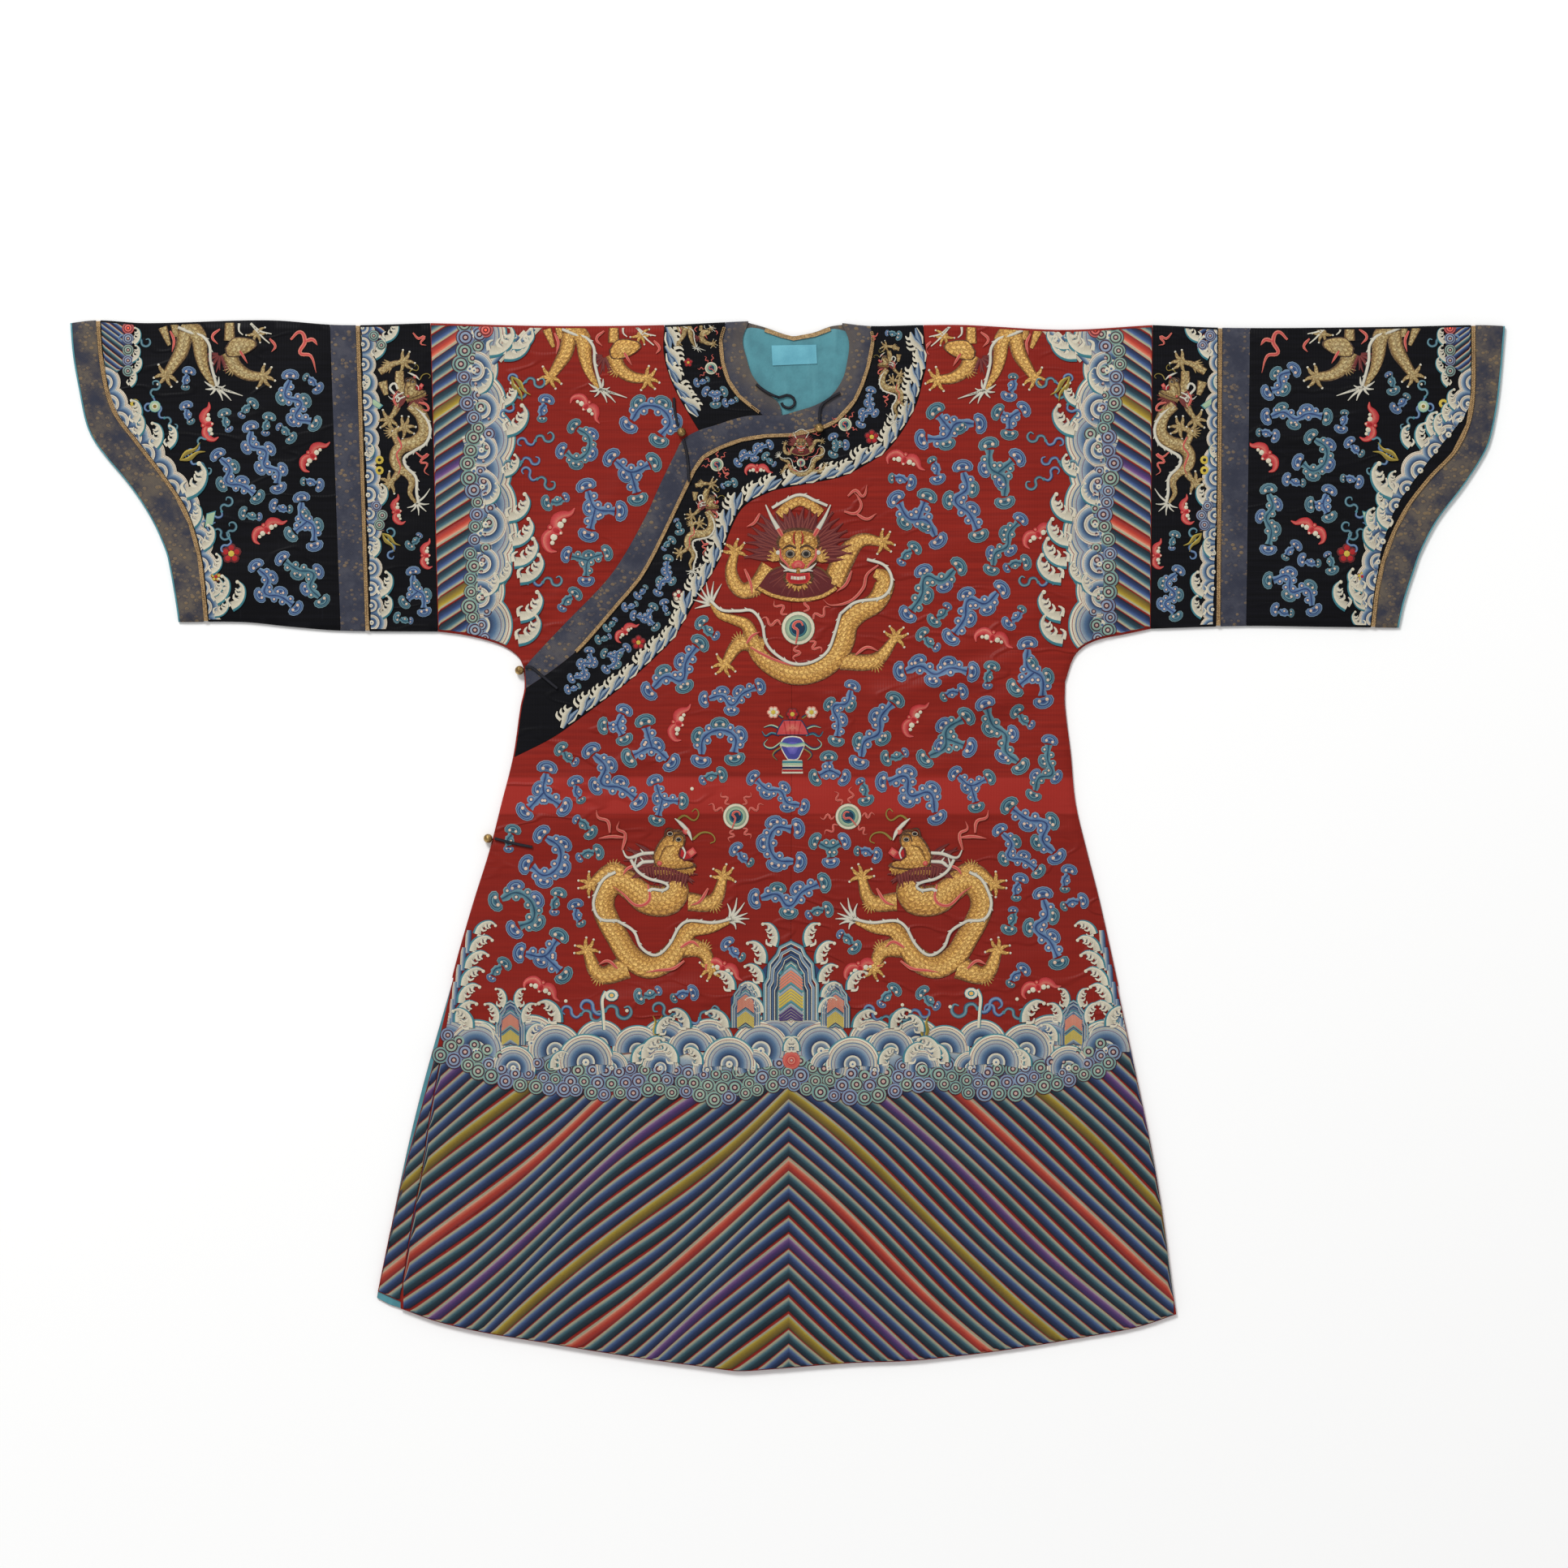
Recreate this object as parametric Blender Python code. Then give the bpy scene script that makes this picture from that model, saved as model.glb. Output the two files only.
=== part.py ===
"""A lined silk dragon robe, laid flat on a table with its front up.

The robe is cut as it is sewn. Two body lengths are folded over the shoulders,
and an overlap front closes from the centre to the wearer's right side. Each
sleeve is a row of flattened tubes, and the collar and neck bands run in one
piece round the neck. Every panel is a middle surface with a wall put round it.
Tables are in millimetres from the middle of the robe: x to the viewer's right,
y towards the neck. Left and right in names are the wearer's.
"""

import math

import bpy
import numpy as np
from mathutils import Vector
from mathutils.bvhtree import BVHTree
from mathutils.geometry import delaunay_2d_cdt

MM = 0.001

# Cloth and stacking, in millimetres.
WALL = 1.2  # thickness of a lined silk panel
THIN = 1.0  # thickness of a lining or ribbon
GAP = 0.3  # space between layers that touch
SEAM = 0.16  # how far a panel stops short of a seam line, so seams stay 0.32 apart
BACK_MID = WALL / 2
LINING_MID = WALL + GAP + THIN / 2
UNDER_MID = LINING_MID + THIN / 2 + GAP + WALL / 2  # under front, sleeves
LAYER = WALL + GAP  # the overlap lies this much above the under front

# Fullness of the laid front.
GRID = 30.0  # spacing of the cloth's inner points
EDGE_STEP = 30.0  # spacing along seams and edges
PUFF = 2.4  # how far the front stands off the back in the open
PUFF_RUN = 45.0  # distance from a fold over which it rises
OVERLAP_ENDS = (20.0, 230.0)  # x over which the doubled layer thins out

BUTTON_RADIUS = 4.8
CORD_RADIUS = 1.5
PIPING_WIDTH = 3.6
BINDING_WIDTH = 4.2
CUFF_EDGE_WIDTH = 2.0
SLEEVE_PIPING_WIDTH = 4.4
SLEEVE_ROWS = 11

# Points where seams meet, x, y.
NECK_RIGHT = (-41, 548)  # under band's inner edge at the shoulder fold
BAND_RIGHT = (-65, 547)
COLLAR_RIGHT = (-129, 544)
NECK_LEFT = (57, 546)
BAND_LEFT = (87, 543)
COLLAR_LEFT = (142, 544)
SLEEVE_RIGHT_TOP = (-374, 546)
SLEEVE_RIGHT_LOW = (-366, 226)
SLEEVE_LEFT_TOP = (382, 544)
SLEEVE_LEFT_LOW = (380, 229)
BAND_TIP_UP = (-275, 187)  # ends of the overlap's bands at the side
BAND_TIP_LOW = (-274, 165)
COLLAR_TIP = (-286, 93)
VENT_RIGHT = (-350, -138)  # tops of the side vents
VENT_LEFT = (345, -147)
UNDER_MEETS_EDGE = (-417, -407)
UNDER_HEM = (-429, -466)
FRONT_TRIM_LOW = (-405, -477)
CORNER_RIGHT = (-430, -473)
CORNER_LEFT = (407, -490)
HEM_FRONT_EDGE = (-405, -484)
HEM_JOIN = (-366, -498)
HEM_CENTRE = (-9, -547)
CENTRE_TOP = (4, 376)
CENTRE_BACK_TOP = (4, 444)
UNDER_BAND_END = (-6, 451)
UNDER_BAND_OUT = (-26, 451)
UNDER_COLLAR_END = (-93, 435)
HIDDEN_MID = (4, 430)  # under pieces end below the overlap's band seam
HIDDEN_BAND = (-23, 429)
HIDDEN_COLLAR = (-88, 407)

# Seam and edge lines, each a row of x, y.
TOP_RIGHT = [SLEEVE_RIGHT_TOP, (-247, 543), COLLAR_RIGHT, BAND_RIGHT, NECK_RIGHT]
NECK_BACK = [NECK_RIGHT, (-23, 543), (-6, 537), (6, 534), (28, 538), (44, 544), NECK_LEFT]
TOP_LEFT = [NECK_LEFT, BAND_LEFT, COLLAR_LEFT, (187, 544), (289, 539), SLEEVE_LEFT_TOP]
SEAM_LEFT = [SLEEVE_LEFT_TOP, SLEEVE_LEFT_LOW]
ARM_LEFT = [SLEEVE_LEFT_LOW, (352, 223), (327, 218), (309, 210), (298, 198), (289, 172)]
SIDE_LEFT = [(289, 172), (289, 147), (295, 96), (300, 45), (312, -6), (325, -57), VENT_LEFT]
VENT_EDGE_LEFT = [VENT_LEFT, (364, -236), (380, -312), (393, -389), (403, -465), CORNER_LEFT]
HEM_LEFT = [CORNER_LEFT, (365, -504), (306, -515), (246, -525), (187, -533), (127, -539),
            (68, -541), HEM_CENTRE]
HEM_RIGHT = [HEM_CENTRE, (-51, -549.6), (-81, -546), (-141, -538), (-200, -529), (-260, -519),
             (-319, -509), HEM_JOIN, HEM_FRONT_EDGE, (-417, -480), CORNER_RIGHT]
VENT_EDGE_RIGHT = [CORNER_RIGHT, UNDER_HEM, UNDER_MEETS_EDGE, (-397, -312), (-378, -236),
                   VENT_RIGHT]
SIDE_RIGHT = [VENT_RIGHT, (-342, -108), (-327, -57), (-311, -6), (-298, 45), COLLAR_TIP,
              (-278, 147), BAND_TIP_LOW, BAND_TIP_UP]
ARM_RIGHT = [BAND_TIP_UP, (-280, 198), (-294, 209), (-315, 217), (-342, 223),
             SLEEVE_RIGHT_LOW]
SEAM_RIGHT = [SLEEVE_RIGHT_LOW, SLEEVE_RIGHT_TOP]

UNDER_BAND_IN = [NECK_RIGHT, (-47, 530), (-43, 511), (-37, 493), (-23, 476), (-9, 463),
                 UNDER_BAND_END]
UNDER_BAND_SEAM = [BAND_RIGHT, (-70, 528), (-68, 506), (-62, 487), (-51, 471),
                   UNDER_BAND_OUT]
UNDER_COLLAR_SEAM = [COLLAR_RIGHT, (-130, 520), (-126, 499), (-117, 476), (-107, 458),
                     UNDER_COLLAR_END]
OVER_BAND_IN = [NECK_LEFT, (64, 528), (62, 506), (57, 488), (45, 471), (28, 461), (12, 456),
                UNDER_BAND_END, UNDER_BAND_OUT, (-48, 449), (-77, 440), UNDER_COLLAR_END,
                (-110, 425), (-118, 410), (-127, 392), (-136, 373), (-148, 346),
                (-175, 298), (-194, 273), (-233, 233), (-266, 198), BAND_TIP_UP]
OVER_BAND_SEAM = [BAND_LEFT, (89, 527), (84, 501), (70, 466), (51, 445), (32, 436),
                  HIDDEN_MID, HIDDEN_BAND, (-48, 425), (-70, 417), HIDDEN_COLLAR,
                  (-98, 393), (-111, 366), (-139, 308), (-155, 280), (-177, 254),
                  (-200, 227), (-221, 204), (-246, 184), BAND_TIP_LOW]
COLLAR_SEAM = [COLLAR_LEFT, (145, 504), (142, 490), (135, 463), (121, 436), (104, 414),
               (85, 401), (58, 387), (26, 380), CENTRE_TOP, (-17, 371), (-45, 356),
               (-58, 335), (-72, 298), (-95, 259), (-119, 218), (-136, 200), (-168, 171),
               (-210, 139), (-245, 114), COLLAR_TIP]
CENTRE_SEAM = [CENTRE_TOP, (4, 74), (2, -261), (-2, -389), (-6, -474), HEM_CENTRE]
FRONT_EDGE = [VENT_RIGHT, (-364, -229), (-374, -283), (-383, -346), (-391, -385),
              FRONT_TRIM_LOW, HEM_FRONT_EDGE]
UNDER_EDGE = [VENT_RIGHT, (-368, -215), (-383, -272), (-402, -342), UNDER_MEETS_EDGE]
UNDER_HEM_EDGE = [UNDER_HEM, FRONT_TRIM_LOW, HEM_JOIN]  # the under front's short corner
BACK_BAND_SEAM = [BAND_RIGHT, (-55, 526), (-27, 510), (8, 505), (45, 510), (76, 526),
                  BAND_LEFT]
BACK_COLLAR_SEAM = [COLLAR_RIGHT, (-119, 507), (-90, 474), (-45, 451), CENTRE_BACK_TOP,
                    (56, 451), (102, 474), (132, 507), COLLAR_LEFT]

# Sleeve seams from the shoulder fold down to the underarm, x, y.
RIGHT_STATIONS = {
    "mouth": [(-751, 546), (-748, 512), (-742, 478), (-735, 444), (-728, 427), (-716, 410),
              (-688, 376), (-666, 342), (-651, 308), (-647, 291), (-641, 257), (-638, 236)],
    "cuff": [(-724, 547), (-719, 496), (-708, 455), (-685, 423), (-657, 387), (-633, 350),
             (-618, 303), (-612, 252), (-611, 236)],
    "strip_out": [(-479, 544), (-468, 228)],
    "strip_in": [(-452, 544), (-442, 227)],
    "seam": [SLEEVE_RIGHT_TOP, SLEEVE_RIGHT_LOW],
}
LEFT_STATIONS = {
    "mouth": [(751, 543), (747, 495), (743, 461), (736, 427), (729, 410), (707, 376),
              (681, 342), (663, 308), (657, 291), (646, 257), (640, 230)],
    "cuff": [(720, 544), (718, 458), (703, 417), (674, 385), (649, 352), (630, 312),
             (620, 273), (615, 230)],
    "strip_out": [(484, 540), (480, 231)],
    "strip_in": [(455, 542), (453, 231)],
    "seam": [SLEEVE_LEFT_TOP, SLEEVE_LEFT_LOW],
}
RIGHT_TOP_LINE = [(-751, 546), (-723, 549), (-672, 546), (-544, 549), (-468, 544),
                  SLEEVE_RIGHT_TOP]
RIGHT_LOW_LINE = [(-638, 236), (-570, 236), (-519, 231), (-468, 227), SLEEVE_RIGHT_LOW]
LEFT_TOP_LINE = [SLEEVE_LEFT_TOP, (467, 541), (624, 542), (722, 544), (751, 543)]
LEFT_LOW_LINE = [SLEEVE_LEFT_LOW, (480, 232), (560, 231), (640, 230)]

# The largest folds: a soft ridge from x0, y0 to x1, y1, its half width and height.
FOLDS = [
    # x0, y0, x1, y1, half width, height
    (110, 150, 235, 196, 20, 2.6),
    (95, 98, 215, 136, 22, -1.4),
    (215, 150, 292, 188, 18, 2.2),
    (150, 40, 285, 76, 26, 2.0),
    (-255, 20, -120, 52, 24, 1.8),
    (-215, -190, -75, -160, 24, 2.6),
    (40, -150, 190, -185, 26, 2.0),
    (-330, 250, -215, 330, 26, 2.2),
    (-352, 300, -300, 420, 24, 1.6),
    (325, 245, 235, 330, 26, 2.4),
    (350, 300, 300, 410, 24, 1.6),
    (-612, 262, -520, 300, 24, 2.4),
    (-560, 420, -500, 500, 28, 1.4),
    (600, 262, 505, 305, 24, 2.0),
    (540, 430, 630, 500, 28, 1.4),
    (-52, -470, -30, -300, 22, 2.2),
    (45, -520, 60, -330, 26, 1.8),
    (-300, -440, -230, -300, 30, 1.6),
    (250, -480, 215, -320, 30, 1.8),
    (-60, 240, 70, 170, 30, 1.2),
]


def spaced(points, step):
    """Points along a smooth line through every given point, at most step apart."""
    pts = np.array(points, float)
    if len(pts) == 2:
        count = max(1, math.ceil(np.linalg.norm(pts[1] - pts[0]) / step))
        return [tuple(pts[0] + (pts[1] - pts[0]) * i / count) for i in range(count)] + [
            tuple(pts[1])
        ]
    line = [tuple(pts[0])]
    for i in range(len(pts) - 1):
        a, b = pts[i], pts[i + 1]
        before = pts[i - 1] if i else 2 * a - b
        after = pts[i + 2] if i + 2 < len(pts) else 2 * b - a
        length = np.linalg.norm(b - a)
        lead = (b - before) / max(np.linalg.norm(b - before), 1e-6) * length
        trail = (after - a) / max(np.linalg.norm(after - a), 1e-6) * length
        count = max(1, math.ceil(length / step))
        for k in range(1, count + 1):
            t = k / count
            h = np.array([2 * t**3 - 3 * t**2 + 1, t**3 - 2 * t**2 + t,
                          3 * t**2 - 2 * t**3, t**3 - t**2])
            line.append(tuple(h @ np.array([a, lead, b, trail])))
    line[-1] = tuple(pts[-1])
    return line


def joined(*lines):
    """One closed loop from lines that run end to end."""
    loop = []
    for line in lines:
        loop += line[:-1]
    return loop


def part_of(line, start, end):
    """The stretch of a spaced line between two of its points, in either direction."""
    keys = [key(p) for p in line]
    i, j = keys.index(key(start)), keys.index(key(end))
    return line[i:j + 1] if i <= j else line[j:i + 1][::-1]


def key(point):
    return (round(point[0], 2), round(point[1], 2))


def inside(point, loop):
    """Whether a point lies inside a closed loop."""
    x, y = point
    odd = False
    for (x0, y0), (x1, y1) in zip(loop, loop[1:] + loop[:1]):
        if (y0 > y) != (y1 > y) and x < x0 + (y - y0) * (x1 - x0) / (y1 - y0):
            odd = not odd
    return odd


def near_line(point, segments):
    """Distance from a point to the nearest of many segments, given as an array."""
    a, b = segments[:, 0], segments[:, 1]
    run = b - a
    t = ((point - a) * run).sum(1) / np.maximum((run * run).sum(1), 1e-9)
    near = a + run * np.clip(t, 0, 1)[:, None]
    return float(np.sqrt(((point - near) ** 2).sum(1)).min())


def segments_of(*lines):
    return np.array([(a, b) for line in lines for a, b in zip(line[:-1], line[1:])])


def smoothstep(t):
    t = min(max(t, 0.0), 1.0)
    return t * t * (3 - 2 * t)


def step_line(points):
    return spaced(points, EDGE_STEP)


# Spaced seam lines.
TOP_R, NECK_B, TOP_L = step_line(TOP_RIGHT), step_line(NECK_BACK), step_line(TOP_LEFT)
SEAM_L, ARM_L, SIDE_L = step_line(SEAM_LEFT), step_line(ARM_LEFT), step_line(SIDE_LEFT)
VENT_L, HEM_L, HEM_R = step_line(VENT_EDGE_LEFT), step_line(HEM_LEFT), step_line(HEM_RIGHT)
VENT_R, SIDE_R, ARM_R = step_line(VENT_EDGE_RIGHT), step_line(SIDE_RIGHT), step_line(ARM_RIGHT)
SEAM_R = step_line(SEAM_RIGHT)
UNDER_IN, UNDER_SEAM = step_line(UNDER_BAND_IN), step_line(UNDER_BAND_SEAM)
UNDER_COLLAR, OVER_IN = step_line(UNDER_COLLAR_SEAM), step_line(OVER_BAND_IN)
OVER_SEAM, COLLAR = step_line(OVER_BAND_SEAM), step_line(COLLAR_SEAM)
CENTRE, FRONT_E = step_line(CENTRE_SEAM), step_line(FRONT_EDGE)
UNDER_E = step_line(UNDER_EDGE)
UNDER_H = UNDER_HEM_EDGE
BACK_BAND, BACK_COLLAR = step_line(BACK_BAND_SEAM), step_line(BACK_COLLAR_SEAM)
CENTRE_BACK = step_line([CENTRE_BACK_TOP, CENTRE_TOP])[:-1] + CENTRE
CENTRE_UNDER = step_line([HIDDEN_MID, CENTRE_TOP])[:-1] + CENTRE
HIDDEN_LINES = [
    [UNDER_BAND_END, HIDDEN_MID],
    [UNDER_BAND_OUT, HIDDEN_BAND],
    [UNDER_COLLAR_END, HIDDEN_COLLAR],
    CENTRE_UNDER,
]

BODY_LOOP = joined(TOP_R, NECK_B, TOP_L, SEAM_L, ARM_L, SIDE_L, VENT_L, HEM_L, HEM_R,
                   VENT_R, SIDE_R, ARM_R, SEAM_R)
SILHOUETTE = segments_of(
    step_line(RIGHT_TOP_LINE), TOP_R, NECK_B, TOP_L, step_line(LEFT_TOP_LINE),
    step_line(LEFT_STATIONS["mouth"]), step_line(LEFT_LOW_LINE), ARM_L, SIDE_L, VENT_L,
    HEM_L, HEM_R, VENT_R, SIDE_R, ARM_R, step_line(RIGHT_LOW_LINE),
    step_line(RIGHT_STATIONS["mouth"]),
)


def lift(x, y):
    """How far the laid front stands above its lowest place, in millimetres."""
    point = np.array((x, y), float)
    edge = near_line(point, SILHOUETTE)
    rise = 1 - math.exp(-edge / PUFF_RUN)
    folds = 0.0
    for x0, y0, x1, y1, half, height in FOLDS:
        run = np.array((x1 - x0, y1 - y0), float)
        along = float((point - (x0, y0)) @ run / (run @ run))
        side = (point - (x0, y0) - run * min(max(along, 0.0), 1.0)) / half
        folds += height * math.exp(-float(side @ side))
    return max(PUFF * rise + folds * smoothstep(edge / 30), 0.0)


def doubled(x):
    """How much of the overlap's extra layer still lies under the front at x."""
    low, high = OVERLAP_ENDS
    return 1 - smoothstep((x - low) / (high - low))


def under_level(x, y):
    return UNDER_MID + lift(x, y)


def over_level(x, y):
    return UNDER_MID + lift(x, y) + LAYER * doubled(x)


def back_level(x, y):
    return BACK_MID


def triangulate(lines, loop, grid):
    """Points and triangles that fill a loop and keep every given line as edges."""
    places, index = [], {}

    def number(p):
        if key(p) not in index:
            index[key(p)] = len(places)
            places.append(p)
        return index[key(p)]

    edges = set()
    for line in lines:
        for a, b in zip(line[:-1], line[1:]):
            i, j = number(a), number(b)
            if i != j:
                edges.add((min(i, j), max(i, j)))
    walls = segments_of(*lines)
    low, high = np.min(loop, 0), np.max(loop, 0)
    row = 0
    y = low[1] + grid / 2
    while y < high[1]:
        x = low[0] + grid / 2 + (row % 2) * grid / 2
        while x < high[0]:
            if inside((x, y), loop) and near_line(np.array((x, y)), walls) > grid * 0.55:
                number((x, y))
            x += grid
        y += grid * math.sqrt(3) / 2
        row += 1
    verts, _, faces, *_ = delaunay_2d_cdt(
        [Vector(p) for p in places], sorted(edges), [], 0, 0.001, True
    )
    return [tuple(v) for v in verts], [tuple(f) for f in faces]


def pick(net, loop):
    """The triangles of a net whose middles lie in a loop."""
    verts, faces = net
    return [
        f for f in faces
        if inside(np.mean([verts[i] for i in f], 0), loop)
    ]


class Sheet:
    """A panel's middle surface, put together from stretches of the two nets."""

    def __init__(self):
        self.points = []
        self.faces = []

    def add(self, net, loop, level, joins=(), flip=False):
        """Adds a stretch of a net and returns its edges that lie on the fold lines.

        Its other edges draw back from the seam they lie on.
        """
        verts, faces = net[0], pick(net, loop)
        used = sorted({i for f in faces for i in f})
        directed = {(f[k], f[k - 2]) for f in faces for k in range(3)}
        fold_keys = {
            frozenset((key(a), key(b)))
            for line in joins for a, b in zip(line[:-1], line[1:])
        }
        shift = {i: [] for i in used}
        folds = []
        for a, b in sorted(directed):
            if (b, a) in directed:
                continue
            if frozenset((key(verts[a]), key(verts[b]))) in fold_keys:
                folds.append((a, b))
                continue
            run = np.subtract(verts[b], verts[a])
            run = run / np.linalg.norm(run)
            inward = np.array((-run[1], run[0]))
            shift[a].append(inward)
            shift[b].append(inward)
        first = len(self.points)
        place = {}
        for n, i in enumerate(used):
            x, y = verts[i]
            move = np.zeros(2)
            if len(shift[i]) == 1:
                move = shift[i][0]
            elif len(shift[i]) >= 2:
                total = shift[i][0] + shift[i][1]
                move = total / max(1 + shift[i][0] @ shift[i][1], 0.35)
            place[i] = first + n
            self.points.append((x + move[0] * SEAM, y + move[1] * SEAM, level(x, y)))
        for f in faces:
            ids = [place[i] for i in f]
            self.faces.append(ids[::-1] if flip else ids)
        return {
            (key(verts[a]), key(verts[b])): (place[a], place[b]) for a, b in folds
        }

    def fold(self, front, back):
        """Joins a front and a back stretch along the folds that both have."""
        for edge, (a, b) in front.items():
            if edge in back:
                back_a, back_b = back[edge]
                self.faces.append([b, a, back_a, back_b])


def material(name, colour, roughness, metallic=0.0):
    made = bpy.data.materials.new(name)
    made.use_nodes = True
    shader = made.node_tree.nodes["Principled BSDF"]
    shader.inputs["Base Color"].default_value = (*colour, 1)
    shader.inputs["Roughness"].default_value = roughness
    shader.inputs["Metallic"].default_value = metallic
    return made


def solid(name, points, faces, finish, wall):
    """An object with a wall of even thickness round a middle surface.

    The wall's mitred corners are pressed flat where they would reach into the table.
    """
    middle = bpy.data.meshes.new(name)
    middle.from_pydata([(x * MM, y * MM, z * MM) for x, y, z in points], [], faces)
    made = bpy.data.objects.new(name, middle)
    bpy.context.scene.collection.objects.link(made)
    around = made.modifiers.new("wall", "SOLIDIFY")
    around.thickness = wall * MM
    around.offset = 0
    around.use_even_offset = True
    graph = bpy.context.evaluated_depsgraph_get()
    walled = bpy.data.meshes.new_from_object(made.evaluated_get(graph))
    made.modifiers.clear()
    made.data = walled
    for vertex in walled.vertices:
        vertex.co.z = max(vertex.co.z, 0.0)
    walled.materials.clear()
    walled.materials.append(finish)
    return made


def panel(name, sheet, finish):
    return solid(name, sheet.points, sheet.faces, finish, WALL)


def flat_piece(name, loop, middle, finish, wall=THIN):
    """A flat piece of one layer, filled from its outline."""
    net = triangulate([loop + loop[:1]], loop, 1000)
    faces = pick(net, loop)
    return solid(name, [(x, y, middle) for x, y in net[0]], faces, finish, wall)


def station_line(points, rows):
    """A sleeve seam as rows of evenly spaced points from the fold to the underarm."""
    fine = np.array(spaced(points, 4.0))
    run = np.concatenate([[0], np.cumsum(np.linalg.norm(np.diff(fine, axis=0), axis=1))])
    at = np.linspace(0, run[-1], rows)
    return np.stack([np.interp(at, run, fine[:, 0]), np.interp(at, run, fine[:, 1])], 1)


def height_on(line, x):
    fine = np.array(sorted(spaced(line, 10.0)))
    return float(np.interp(x, fine[:, 0], fine[:, 1]))


def sleeve_ring(name, outer, inner, top_line, low_line, finish, raise_by=0.0):
    """A flattened tube between two seam lines, each an array of rows."""
    width = float(np.abs(outer - inner).max())
    columns = max(1, math.ceil(width / GRID))
    towards = np.sign(inner[0, 0] - outer[0, 0])
    points, faces = [], []
    rows = len(outer)
    for c in range(columns + 1):
        t = c / columns
        line = outer * (1 - t) + inner * t
        down = np.linspace(0, 1, rows)
        line[:, 1] += (1 - down) * (height_on(top_line, line[0, 0]) - line[0, 1])
        line[:, 1] += down * (height_on(low_line, line[-1, 0]) - line[-1, 1])
        if c == 0:
            line[:, 0] += towards * SEAM
        if c == columns:
            line[:, 0] -= towards * SEAM
        ring = [(x, y, under_level(x, y) + raise_by) for x, y in line]
        ring += [(x, y, BACK_MID) for x, y in line[::-1]]
        points += ring
    size = 2 * rows
    for c in range(columns):
        for k in range(size):
            a, b = c * size + k, c * size + (k + 1) % size
            face = [a, b, b + size, a + size]
            faces.append(face if towards > 0 else face[::-1])
    return solid(name, points, faces, finish, WALL)


def shifted(line, by):
    """A seam line moved along x, in millimetres."""
    return line + np.array((by, 0.0))


def sleeve(side, stations, top_line, low_line):
    rows = {name: station_line(line, SLEEVE_ROWS) for name, line in stations.items()}
    inward = np.sign(rows["seam"][0, 0] - rows["mouth"][0, 0])
    edge = shifted(rows["mouth"], inward * CUFF_EDGE_WIDTH)
    cuff_in = shifted(rows["cuff"], inward * SLEEVE_PIPING_WIDTH)
    strip_in = shifted(rows["strip_in"], inward * SLEEVE_PIPING_WIDTH)
    for part, outer, inner, finish, raise_by in (
        ("cuff_edge", rows["mouth"], edge, TEAL, 0.0),
        ("cuff_border", edge, rows["cuff"], BROCADE, 0.0),
        ("cuff_piping", rows["cuff"], cuff_in, GOLD, 0.5),
        ("lower_sleeve", cuff_in, rows["strip_out"], BLACK, 0.0),
        ("sleeve_strip", rows["strip_out"], rows["strip_in"], BROCADE, 0.0),
        ("sleeve_piping", rows["strip_in"], strip_in, GOLD, 0.5),
        ("sleeve_band", strip_in, rows["seam"], BLACK, 0.0),
    ):
        sleeve_ring(f"{side}_{part}", outer, inner, top_line, low_line, finish, raise_by)


def offset_line(line, by):
    """A line moved sideways, to the left of its own direction if by is positive."""
    pts = np.array(line)
    ahead = np.gradient(pts, axis=0)
    ahead /= np.linalg.norm(ahead, axis=1)[:, None]
    return pts + np.stack([-ahead[:, 1], ahead[:, 0]], 1) * by


def ribbon(name, line, width, level, finish, wall=THIN):
    """A narrow ribbon that lies along a line, level(x, y) high at its middle."""
    left, right = offset_line(line, width / 2), offset_line(line, -width / 2)
    points = [(x, y, level(x, y)) for x, y in left] + [
        (x, y, level(x, y)) for x, y in right
    ]
    count = len(line)
    faces = [[k, k + count, k + count + 1, k + 1] for k in range(count - 1)]
    return solid(name, points, faces, finish, wall)


def surface_of(objects):
    """The upper side of some finished panels, for pieces that lie on them."""
    graph = bpy.context.evaluated_depsgraph_get()
    verts, faces = [], []
    for made in objects:
        mesh = made.evaluated_get(graph).to_mesh()
        first = len(verts)
        verts += [v.co.copy() for v in mesh.vertices]
        faces += [[first + i for i in p.vertices] for p in mesh.polygons]
    tree = BVHTree.FromPolygons(verts, faces)

    def top(x, y):
        hit = tree.ray_cast(Vector((x * MM, y * MM, 0.1)), Vector((0, 0, -1)))
        return hit[0].z / MM if hit[0] else 0.0

    return top


def highest(top, x, y, radius):
    """The highest place of the cloth within a radius."""
    places = [(x, y)]
    for k in range(8):
        turn = math.tau * k / 8
        places.append((x + radius * math.cos(turn), y + radius * math.sin(turn)))
    return max(top(*p) for p in places)


def cord(name, route, top, finish, lowest=CORD_RADIUS + GAP):
    """A round silk cord that lies on whatever is under it."""
    line = spaced(route, 5.0)
    heights = [
        max(highest(top, x, y, CORD_RADIUS + 0.9) + GAP + CORD_RADIUS, lowest)
        for x, y in line
    ]
    eased = [max(heights[max(i - 1, 0):i + 2]) for i in range(len(heights))]
    curve = bpy.data.curves.new(name, "CURVE")
    curve.dimensions = "3D"
    curve.bevel_depth = CORD_RADIUS * MM
    curve.bevel_resolution = 1
    curve.use_fill_caps = True
    spline = curve.splines.new("POLY")
    spline.points.add(len(line) - 1)
    for point, (x, y), z in zip(spline.points, line, eased):
        point.co = (x * MM, y * MM, z * MM, 1)
    curve.materials.append(finish)
    made = bpy.data.objects.new(name, curve)
    bpy.context.scene.collection.objects.link(made)
    return made


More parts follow.
